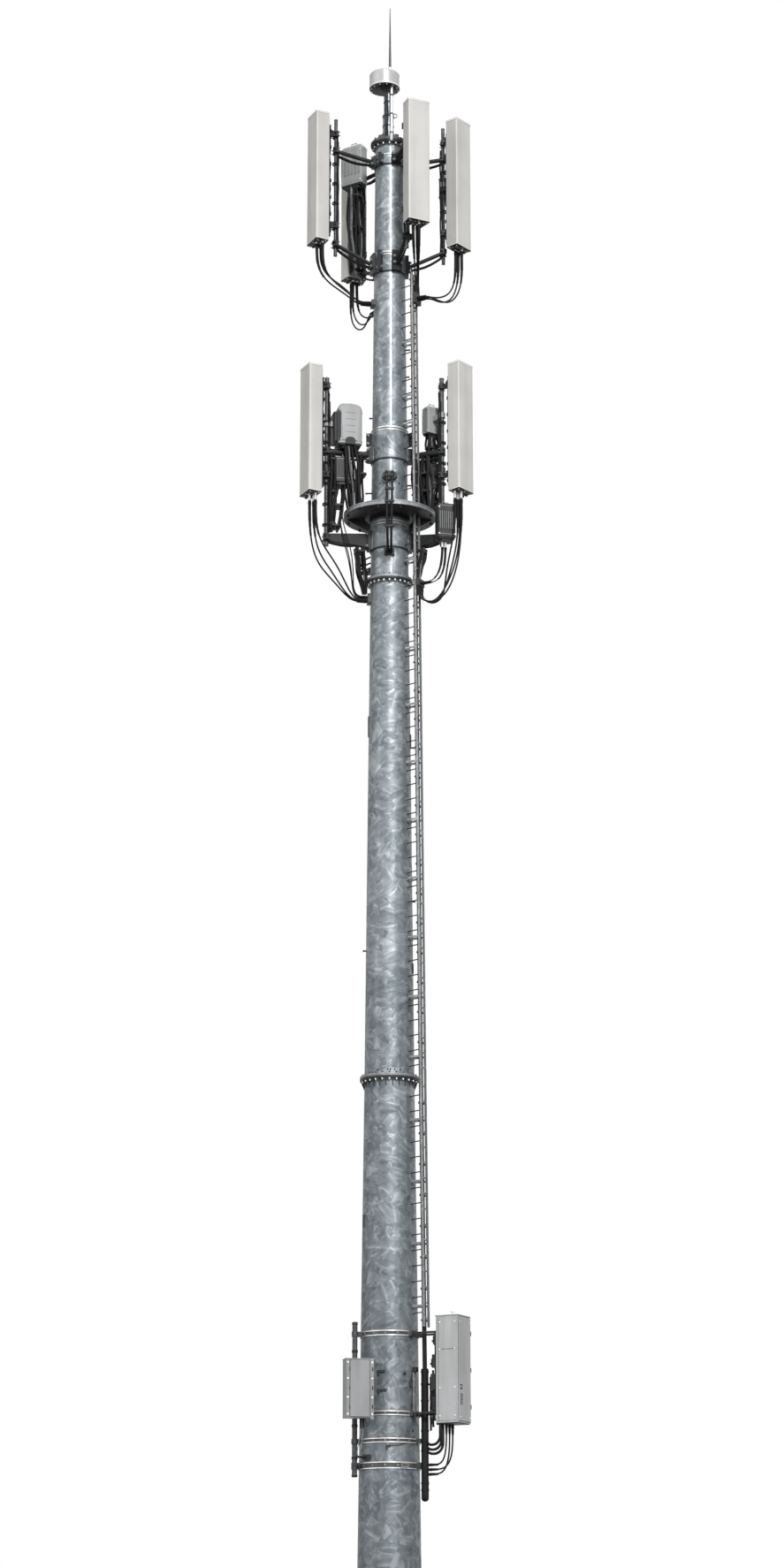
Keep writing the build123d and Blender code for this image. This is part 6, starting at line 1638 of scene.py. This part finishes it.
@dataclass
class PlatformDeck:
    """The cable platform's rails, gusset bolts and hangers."""

    foot: float = 20.665
    radius: float = 0.752
    tall: float = 0.074

    def build(self) -> None:
        """Dress the deck and add its rails and bolts."""
        dress("cable_platform", FINISH.zinc)
        dress("platform_gussets", FINISH.dark)
        rails, under = blanks(2)
        for z, high in ((self.foot, 0.02), (self.foot + self.tall - 0.016, 0.016)):
            r = self.radius
            rails.band(r - 0.006, r + 0.006, z, z + high)
        # Painted shade: dark rings close the opening round the pole, cover the deck's underside and collar the pole
        # below it.
        r = self.radius - 0.012
        skin = POLE.radius(self.foot)
        for inner, outer, low, high in ((skin + 0.002, 0.41, 0.0, 0.01), (0.405, r, -0.003, 0.001),
                                        (skin + 0.001, skin + 0.03, -0.05, 0.001)):
            under.band(inner, outer, self.foot + low, self.foot + high)
        rails.deliver("platform_rails", FINISH.zinc)
        under.deliver("platform_painted_shade", FINISH.dark)
        low = self.foot - 0.003
        seats = seats_around(0.7, low, 12, DOWN, 15.0) + seats_around(0.45, low, 12, DOWN)
        BOLTS.repeat("platform_bolts", seats, LARGE, FINISH.aged, Slot.DARK)
        clips = Workpiece()
        for y, z in ((-0.745, 21.16), (-0.822, 20.9), (-0.828, 20.68), (-0.782, 20.27)):
            clips.block(at(0.0, y, z), (0.0, 0.0, 0.0), (0.15, 0.052, 0.036), 0.016)
        clips.deliver("front_cable_clips", FINISH.dark)


@dataclass
class LadderRun:
    """The cable ladder's splices and stand-off bolts, and the hangers of its feeders."""

    angle: float = -28.0
    standoff: float = 0.2
    foot: float = 7.46
    head: float = 24.96
    spacing: float = 0.15

    def stand(self, height: float, inset: float = 0.0) -> Matrix:
        """The frame on the ladder's middle line at a height, with y outward, set in towards the pole."""
        return POLE.stand(self.angle, height, self.standoff - inset)

    def build(self) -> None:
        """Dress the run and add its hangers, splices and bolts."""
        for part in ("lower", "middle", "upper"):
            dress(f"cable_ladder_{part}", FINISH.zinc)
            dress(f"feeders_{part}", FINISH.rubber)
        dress("feeder_blocks", FINISH.shade)
        dress("cable_ports", FINISH.shade)
        dress("cable_hood", FINISH.shade)
        turn = radians(self.angle - 90)
        hangers, bolts, plates = [], [], Workpiece()
        height = self.foot + 0.1
        while height < self.head - 0.1:
            if all(abs(height - joint) > 0.15 for joint in (*JOINTS, DECK)):
                spot = self.stand(height, 0.036)
                hangers.append(Seat(tuple(spot.translation), UP, turn))
                bolts += seats_on(self.stand(height), [(x, -0.055, 0.0) for x in (-0.045, 0.045)], (0, -1, 0))
            height += 0.48
        SLATS.repeat("feeder_hangers", hangers, {"Across": 0.13, "Deep": 0.036, "Tall": 0.034}, FINISH.dark)
        for joint in JOINTS:
            for side in SIDES:
                x = side * (self.spacing / 2 + 0.011)
                plates.block(self.stand(joint), (x, 0.0, 0.0), (0.005, 0.034, 0.26), 0.0)
                spots = [(side * (self.spacing / 2 + 0.0135), 0.0, z) for z in (-0.1, -0.05, 0.05, 0.1)]
                bolts += seats_on(self.stand(joint), spots, (side, 0, 0))
        ties = Workpiece()
        height = self.foot + 0.22
        while height < self.head - 0.1:
            if all(abs(height - joint) > 0.12 for joint in (*JOINTS, DECK)):
                stand = self.stand(height)
                skin = self.standoff + 0.004
                ties.rod(stand @ Vector((0.075, -0.01, 0.0)), stand @ Vector((0.06, -skin, -0.012)), 0.009, 8)
            height += 0.24
        ties.deliver("ladder_ties", FINISH.dark)
        plates.deliver("ladder_splices", FINISH.zinc)
        BOLTS.repeat("ladder_bolts", bolts, SMALL, FINISH.zinc)


@dataclass
class FootGear:
    """The bands at the pole's foot, the service box, the cabinet and the splice closure."""

    bands: tuple[Pair, ...] = ((7.32, 7.4), (6.12, 6.19), (5.715, 5.785), (5.33, 5.43))
    pipe: Pair = (-0.527, -0.2)
    box_facing: float = -78.0
    cabinet_angle: float = -28.0
    cabinet_back: float = 0.904
    cabinet_foot: float = 5.99
    cabinet_tall: float = 1.595
    cabinet_width: float = 0.42
    cabinet_depth: float = 0.374

    def build(self) -> None:
        """Dress the solids and add every fitting."""
        dress("equipment_bands", FINISH.aged)
        dress("equipment_pipe", FINISH.aged)
        dress("service_box", FINISH.box)
        dress("service_box_brackets", FINISH.dark)
        dress("cabinet", FINISH.paint)
        dress("cabinet_frames", FINISH.dark)
        dress("splice_closure", FINISH.boot)
        self.hoops()
        self.service_box()
        self.cabinet()
        self.cabinet_back_gear()
        self.closure()

    def hoops(self) -> None:
        """The bands' bright edges, which paint their highlight lines, and bolts, and the pipe's ends and clamps."""
        edges, ends = blanks(2)
        bolts: list[Seat] = []
        for low, high in self.bands:
            # Painted highlight: bright steel rings along each band's top and bottom edge stand in for its highlight
            # lines.
            for height, tall in ((low, 0.014), (high - 0.014, 0.014)):
                skin = POLE.radius(height) + 0.009
                edges.band(skin - 0.004, skin + 0.006, height, height + tall)
            for angle in range(-170, 190, 24):
                bolts += seats_on(POLE.stand(angle, (low + high) / 2, 0.0095), [(0.0, 0.0, 0.0)], (0, 1, 0))
        place = at(*self.pipe)
        ends.turned(place, ((0.03, 7.499), (0.045, 7.502), (0.045, 7.53), (0.036, 7.545), (0.01, 7.55)), 20)
        ends.turned(place, ((0.034, 5.251), (0.046, 5.25), (0.046, 5.225), (0.034, 5.215)), 20)
        edges.deliver("band_edge_highlights", FINISH.bright)
        ends.deliver("pipe_caps", FINISH.dark)
        BOLTS.repeat("band_bolts", bolts, {**SMALL, "Head": 0.013, "Washer": 0.017}, FINISH.zinc)
        rings = [Seat((*self.pipe, height), UP) for height in (5.72, 5.5, 7.1, 5.98)]
        HOOPS.repeat("pipe_hoops", rings, {"Radius": 0.043, "Thick": 0.008, "Tall": 0.04}, FINISH.dark)

    def service_box(self) -> None:
        """The box's lid, hinge strip, slotted flange, catches and rain lip."""
        lid, strips, darks = blanks(3)
        screws: list[Seat] = []
        foot = facing((self.pipe[0], self.pipe[1], 6.06), self.box_facing)
        front, centre, tall = 0.54, 0.031, 0.87
        lid.block(foot, (centre, front + 0.007, tall / 2), (0.3, 0.016, tall - 0.03), 0.006)
        lid.block(foot, (centre, 0.415, tall + 0.006), (0.44, 0.26, 0.012), 0.006)
        strips.block(foot, (centre + 0.185, front + 0.005, tall / 2), (0.05, 0.012, tall - 0.02), 0.004)
        strips.block(foot, (centre - 0.19, front + 0.005, tall / 2 - 0.012), (0.05, 0.012, tall + 0.03), 0.004)
        for z in (0.16, 0.44, 0.72):
            darks.block(foot, (centre - 0.195, front + 0.012, z), (0.018, 0.01, 0.055), 0.004)
            darks.block(foot, (centre + 0.155, front + 0.014, z), (0.012, 0.012, 0.04), 0.003)
        darks.block(foot, (centre, front + 0.01, tall / 2), (0.306, 0.004, tall - 0.024), 0.0)
        lid.deliver("service_box_lid", FINISH.box)
        strips.deliver("service_box_strips", FINISH.box)
        darks.deliver("service_box_catches", FINISH.dark)
        spots = [(centre + x, front + 0.011, z) for x in (-0.19, 0.185) for z in (0.05, 0.3, 0.58, 0.82)]
        screws += seats_on(foot, spots, (0, 1, 0))
        BOLTS.repeat("service_box_screws", screws, SMALL, FINISH.bright)

    def cabinet(self) -> None:
        """The cabinet's door, seams, roof, lock, grille, hinges and knob."""
        door, sides, seams, darks, bright = blanks(5)
        screws: list[Seat] = []
        base = facing(polar(self.cabinet_back, self.cabinet_angle, self.cabinet_foot), self.cabinet_angle)
        half, deep, tall = self.cabinet_width / 2, self.cabinet_depth, self.cabinet_tall
        # Painted shade: the door and roof take the darker door paint, while the sides keep the cabinet paint.
        door.block(base, (0.0, deep + 0.007, tall / 2), (self.cabinet_width - 0.03, 0.018, tall - 0.05), 0.008)
        door.block(base, (0.0, deep / 2, tall + 0.007), (self.cabinet_width + 0.016, deep + 0.02, 0.014), 0.012)
        for side in SIDES:
            size = (0.01, deep - 0.05, tall - 0.06)
            sides.block(base, (side * (half + 0.003), deep / 2, tall / 2), size, 0.003)
        seams.block(base, (0.0, deep + 0.001, tall / 2), (self.cabinet_width - 0.024, 0.006, tall - 0.044), 0.0)
        for side in SIDES:
            x = side * (half + 0.0076)
            seams.block(base, (x, deep / 2 + 0.03, tall - 0.5), (0.004, deep - 0.1, 0.007), 0.0)
            seams.block(base, (x, 0.052, tall / 2), (0.004, 0.006, tall - 0.06), 0.0)
        for side in SIDES:
            size = (0.014, 0.014, tall - 0.004)
            sides.block(base, (side * (half - 0.004), deep - 0.004, tall / 2), size, 0.003)
        darks.block(base, (0.13, deep + 0.018, 0.53), (0.055, 0.014, 0.07), 0.006)
        darks.block(base, (0.0, deep / 2, -0.006), (self.cabinet_width - 0.02, deep - 0.02, 0.012), 0.004)
        bright.block(base, (0.15, deep + 0.026, 0.53), (0.02, 0.01, 0.02), 0.003)
        for z in (0.25, 0.8, 1.35):
            ends = [base @ Vector((-half + 0.004, deep + 0.012, z + side * 0.035)) for side in SIDES]
            darks.rod(*ends, 0.008)
        knob = base @ at(0.1, 0.242, tall + 0.012)
        profile = ((0.03, 0.0), (0.03, 0.012), (0.018, 0.02), (0.018, 0.045), (0.03, 0.05), (0.03, 0.065))
        bright.turned(knob, (*profile, (0.016, 0.075)), 18)
        door.deliver("cabinet_door", FINISH.lid)
        sides.deliver("cabinet_sides", FINISH.paint)
        seams.deliver("cabinet_seams", FINISH.shade)
        darks.deliver("cabinet_catches", FINISH.dark)
        bright.deliver("cabinet_knob", FINISH.bright)
        turn = radians(self.cabinet_angle - 90)
        spots = [(x, deep + 0.017, 0.27 + 0.022 * number) for x in (0.1, 0.14) for number in range(8)]
        slats = seats_on(base, spots, UP, turn)
        SLATS.repeat("cabinet_grille", slats, {"Across": 0.034, "Deep": 0.008, "Tall": 0.008}, FINISH.shade)
        for side in SIDES:
            places = [(y, z) for y in (0.075, deep - 0.045) for z in (0.1, 0.52, 1.09, 1.5)]
            spots = [(side * (half + 0.008), y, z) for y, z in places]
            screws += seats_on(base, spots, (side, 0, 0))
        screws += seats_on(base, [(x, deep + 0.016, z) for x in (-0.16, 0.16) for z in (0.08, 1.5)], (0, 1, 0))
        BOLTS.repeat("cabinet_screws", screws, SMALL, FINISH.bright)

    def cabinet_back_gear(self) -> None:
        """The hinged brackets, channel and strapped cables between the cabinet and the pole."""
        gear, cables, channel = blanks(3)
        base = facing(polar(self.cabinet_back, self.cabinet_angle, self.cabinet_foot), self.cabinet_angle)
        for x, z, tall, deep in (
            (0.14, 1.27, 0.2, 0.06), (0.14, 0.93, 0.2, 0.09), (0.13, 0.62, 0.24, 0.12), (0.12, 0.3, 0.2, 0.1),
            (-0.12, 1.3, 0.12, 0.06), (-0.12, 0.62, 0.2, 0.1),
        ):
            gear.block(base, (x, -deep / 2, z), (0.06, deep, tall), 0.012)
            gear.block(base, (x * 0.8, -deep - 0.01, z - 0.02), (0.05, 0.04, tall * 0.6), 0.012)
            near, far = Vector((x * 0.8, -deep, z - 0.02)), Vector((x * 0.5, -deep - 0.07, z - 0.03))
            gear.rod(base @ near, base @ far, 0.014)
        gear.block(base, (0.085, -0.03, 0.74), (0.11, 0.06, 1.24), 0.012)
        for x, drop in ((0.12, 0.0), (0.07, 0.06), (0.165, -0.07)):
            line = [Vector((x, 0.05, 0.02)), Vector((x, 0.05, -0.1 - drop))]
            for angle in range(0, 91, 15):
                turn = radians(angle)
                ease = x * (1.0 - 0.45 * angle / 90)
                line.append(Vector((ease, -0.11 + 0.16 * cos(turn), -0.22 - drop - 0.16 * sin(turn))))
            line += [Vector((x * 0.25, -0.18, -0.375 - drop)), Vector((0.0, -0.24, -0.35 - drop))]
            cables.bent([base @ point for point in line], 0.021, 10)
        for x, y, low, high in (
            (0.1, -0.03, -0.02, 1.2), (0.06, -0.05, 0.0, 0.9), (0.02, -0.03, 0.05, 1.05), (0.13, -0.06, 0.04, 0.7),
            (0.1, -0.1, -0.05, 0.8), (0.12, -0.13, 0.0, 0.7), (0.08, -0.15, -0.1, 0.5),
        ):
            line = [(x + 0.008 * sin(3.1 * step + x * 40), y, low + (high - low) * step / 9)
                    for step in range(10)]
            cables.bent([base @ Vector(point) for point in line], 0.017, 8)
        angle = self.cabinet_angle - 14.0
        stand = facing(polar(POLE.radius(6.5) + 0.03, angle, 6.48), angle)
        channel.block(stand, (0.0, 0.03, 0.0), (0.06, 0.03, 0.62), 0.004)
        gear.block(stand, (0.0, 0.05, -0.34), (0.08, 0.06, 0.06), 0.01)
        gear.block(stand, (0.0, 0.05, 0.33), (0.08, 0.07, 0.07), 0.01)
        for z in (-0.2, 0.16):
            gear.block(stand, (0.0, -0.01, z), (0.03, 0.06, 0.04), 0.004)
        lug = POLE.stand(-62.0, 5.38, 0.006)
        channel.block(lug, (0.0, 0.022, 0.0), (0.13, 0.034, 0.075), 0.006)
        gear.block(lug, (0.0, 0.03, 0.0), (0.1, 0.03, 0.012), 0.0)
        gear.deliver("cabinet_brackets", FINISH.dark)
        cables.deliver("cabinet_strapped_cables", FINISH.rubber)
        channel.deliver("cable_channel", FINISH.zinc)

    def closure(self) -> None:
        """The splice closure's ribs and clamps, and the bolts of the cabinet's frames."""
        reach = POLE.radius(6.83) + 0.2 - 0.0363
        spot = polar(reach, self.cabinet_angle)
        bands = [Seat((spot.x, spot.y, height), UP) for height in (5.02, 5.12, 5.6, 5.9, 6.35, 6.6, 6.78)]
        HOOPS.repeat("closure_hoops", bands, {"Radius": 0.058, "Thick": 0.008, "Tall": 0.03}, FINISH.boot)
        bolts = []
        for low, high in self.bands[:2]:
            near = POLE.radius(low) + 0.03 + 0.012
            stand = facing(polar(near, self.cabinet_angle, (low + high) / 2), self.cabinet_angle)
            bolts += seats_on(stand, [(x, 0.0, 0.0) for x in (-0.11, 0.11)], (0, 1, 0))
        BOLTS.repeat("frame_bolts", bolts, LARGE, FINISH.zinc)


@dataclass
class Cables:
    """The free cables with their boots."""

    runs: tuple[CordRun, ...]

    def build(self) -> None:
        """Make every cable."""
        for run in self.runs:
            run.build()

    def boots(self) -> None:
        """Make the boots at the cables' ends as one piece."""
        boots, sleeves = blanks(2)
        for run in self.runs:
            run.boots(boots, sleeves)
        boots.deliver("cable_boots", FINISH.boot)
        sleeves.deliver("plug_sleeves", FINISH.bright)


@dataclass
class Studio:
    """A pale floor, a white surround and soft lamps."""

    floor_radius: float = 12.0
    sky_level: float = 0.4
    ground_level: float = 0.08

    def build(self) -> None:
        """Make the floor, the world and the lamps."""
        mesh = bpy.data.meshes.new("floor")
        rim = [tuple(polar(self.floor_radius, 5.0 * number)) for number in range(72)]
        mesh.from_pydata(rim, [], [tuple(range(72))])
        floor = bpy.data.objects.new("floor", mesh)
        bpy.context.scene.collection.objects.link(floor)
        coat = Shading("floor_paper")
        coat.set(Base_Color=(0.62, 0.62, 0.62), Roughness=0.9)
        mesh.materials.append(coat.material)
        self.sky()
        for name, azimuth, rise, strength, spread in (
            ("key", -78.0, 33.0, 3.4, 12.0), ("front", -80.0, 8.0, 0.5, 12.0), ("fill", -150.0, 25.0, 0.62, 40.0),
            ("back", 80.0, 45.0, 1.2, 40.0),
        ):
            lamp = bpy.data.lights.new(name, "SUN")
            lamp.energy, lamp.angle = strength, radians(spread)
            holder = bpy.data.objects.new(name, lamp)
            way = polar(cos(radians(rise)), azimuth, sin(radians(rise)))
            holder.rotation_euler = way.to_track_quat("Z", "Y").to_euler()
            bpy.context.scene.collection.objects.link(holder)

    def sky(self) -> None:
        """A world that looks white and lights the tower softly."""
        bpy.context.scene.view_settings.view_transform = "Standard"
        world = bpy.data.worlds.new("surround")
        bpy.context.scene.world = world
        world.use_nodes = True
        sheet = NodeSheet(world.node_tree)
        sheet.tree.nodes.clear()
        rays = sheet.add("ShaderNodeLightPath", {}, {}).outputs
        mirror = sheet.math("MAXIMUM", rays["Is Glossy Ray"], rays["Is Transmission Ray"])
        seen = sheet.math("MAXIMUM", rays["Is Camera Ray"], mirror)
        way = sheet.add("ShaderNodeTexCoord", {}, {}).outputs["Generated"]
        rise = sheet.add("ShaderNodeSeparateXYZ", {}, {0: way}).outputs[2]
        span = {0: rise, 1: -0.25, 2: 0.25, 3: self.ground_level, 4: self.sky_level}
        level = sheet.math("MAXIMUM", sheet.add("ShaderNodeMapRange", {}, span).outputs[0], seen)
        light = sheet.add("ShaderNodeBackground", {}, {"Color": (1.0, 1.0, 1.0), "Strength": level})
        sheet.add("ShaderNodeOutputWorld", {}, {0: light.outputs[0]})


UPPER_SECTORS = (
    Sector("left", (-0.907, -0.31), 205.5, 0.32, 2.34),
    Sector("front", (0.289, -0.632), -62.0, 0.32, 2.19),
    Sector("right", (0.904, 0.018), -38.0, 0.32, 2.33),
    Sector("back", (-0.475, 0.81), 115.0, 0.32, 2.33),
)
LOWER_SECTORS = (
    Sector("left", (-1.034, -0.267), 205.5, 0.28, 2.23),
    Sector("right", (0.861, -0.245), -38.0, 0.38, 2.23, -3.0),
    Sector("back", (0.0, 0.96), 90.0, 0.32, 2.23),
)
UNITS = (
    Unit("upper_radio_back", (-0.475, 0.81), 237.0, 0.15, 0.2, 0.42, 26.95, 0.75, 0.09, 6, 0),
    Unit("upper_radio_right", (0.904, 0.018), 75.0, 0.09, 0.12, 0.2, 26.5, 0.38, 0.02, 5, 0),
    Unit("lower_radio_left", (-1.034, -0.267), 12.4, 0.16, 0.4, 0.36, 21.865, 0.745, 0.15, 0, 5),
    Unit("lower_filter_left", (-1.034, -0.267), 10.0, 0.13, 0.26, 0.2, 21.22, 0.43, 0.02, 4, 0, True),
    Unit("lower_radio_right", (0.861, -0.245), 125.0, 0.2, 0.18, 0.27, 22.15, 0.49, 0.06, 6, 0),
    Unit("lower_filter_right", (0.861, -0.245), 118.0, 0.19, 0.16, 0.24, 21.23, 0.4, 0.02, 6, 0, True),
    Unit("lower_radio_outer", (0.861, -0.245), -75.0, 0.075, 0.21, 0.3, 20.18, 0.58, 0.02, 8, 0, True),
)
HARNESSES = (
    Harness((-0.6, 0.6, 26.93), (-0.53, 0.68, 25.45), 237.0, (-0.05, 0.06), 0.8, (0.12, 0.5, 0.9)),
    Harness((-0.79, -0.222, 21.22), (-0.9, -0.235, 20.39), 10.0),
    Harness((-0.952, -0.246, 21.68), (-0.96, -0.248, 20.39), 14.5, (-0.02, 0.03)),
    Harness((-0.68, -0.19, 21.85), (-0.58, -0.17, 20.68), 102.4, (-0.14, 0.14), 0.7, (0.56, 0.985)),
    Harness((-0.46, -0.115, 21.7), (-0.47, -0.118, 20.68), 14.5, (-0.035, 0.035), 0.9, (0.3, 0.985), 5),
    Harness((-0.5, -0.115, 20.13), (-0.405, -0.045, 19.36), 14.5, (-0.05, 0.05), 0.3, (0.1, 0.9)),
    Harness((0.695, -0.007, 22.13), (0.72, -0.01, 21.67), 120.0, (-0.04, 0.04), 1.0, (0.5,)),
    Harness((0.734, -0.02, 21.22), (0.66, 0.02, 20.68), 118.0, (-0.06, 0.05), 0.9, (0.06, 0.5, 0.985)),
    Harness((0.6, -0.13, 21.7), (0.62, -0.14, 20.68), 156.0, (-0.05, 0.04), 0.9, (0.3, 0.6, 0.985)),
    Harness((0.44, -0.06, 21.7), (0.47, -0.07, 20.68), 156.0, (-0.03, 0.03), 0.8, (0.2, 0.985), 6),
    Harness((0.52, -0.09, 20.12), (0.43, -0.16, 19.54), 156.0, (-0.05, 0.05), 0.4, (0.1, 0.9)),
)


def main() -> None:
    """Build the scene: the camera and cables first, then the tower from its pole outwards."""
    logging.basicConfig(level=logging.INFO, format="%(name)s %(message)s")
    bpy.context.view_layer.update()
    Camera().build()
    cables = Cables(CORD_RUNS)
    cables.build()
    Studio().build()
    PoleShell().build()
    TopGear().build()
    Tier(
        "upper", UPPER_SECTORS, 27.75, 0.03, 25.24, 27.72,
        collars=((26.96, 27.15), (24.99, 25.35)), pads=((27.055, 0.144), (25.17, 0.144)),
        clamps=(27.155, 25.44), ears=(60.0, 240.0), ear_span=((27.055, 0.19), (25.17, 0.36)),
        lead_span=(25.35, 27.5), lead_count=3,
    ).build()
    Tier(
        "lower", LOWER_SECTORS, 23.2, 0.038, 20.12, 23.04,
        collars=((21.64, 22.2), (20.09, 20.56)), pads=((21.755, 0.224), (20.255, 0.274)),
        clamps=(21.755, 20.255), ears=(8.0, 172.0), ear_span=((22.08, 0.22),),
        lead_span=(20.35, 22.8), lead_count=5,
    ).build()
    Radios(UNITS, HARNESSES).build()
    PlatformDeck().build()
    LadderRun().build()
    FootGear().build()
    cables.boots()


if __name__ == "__main__":
    main()
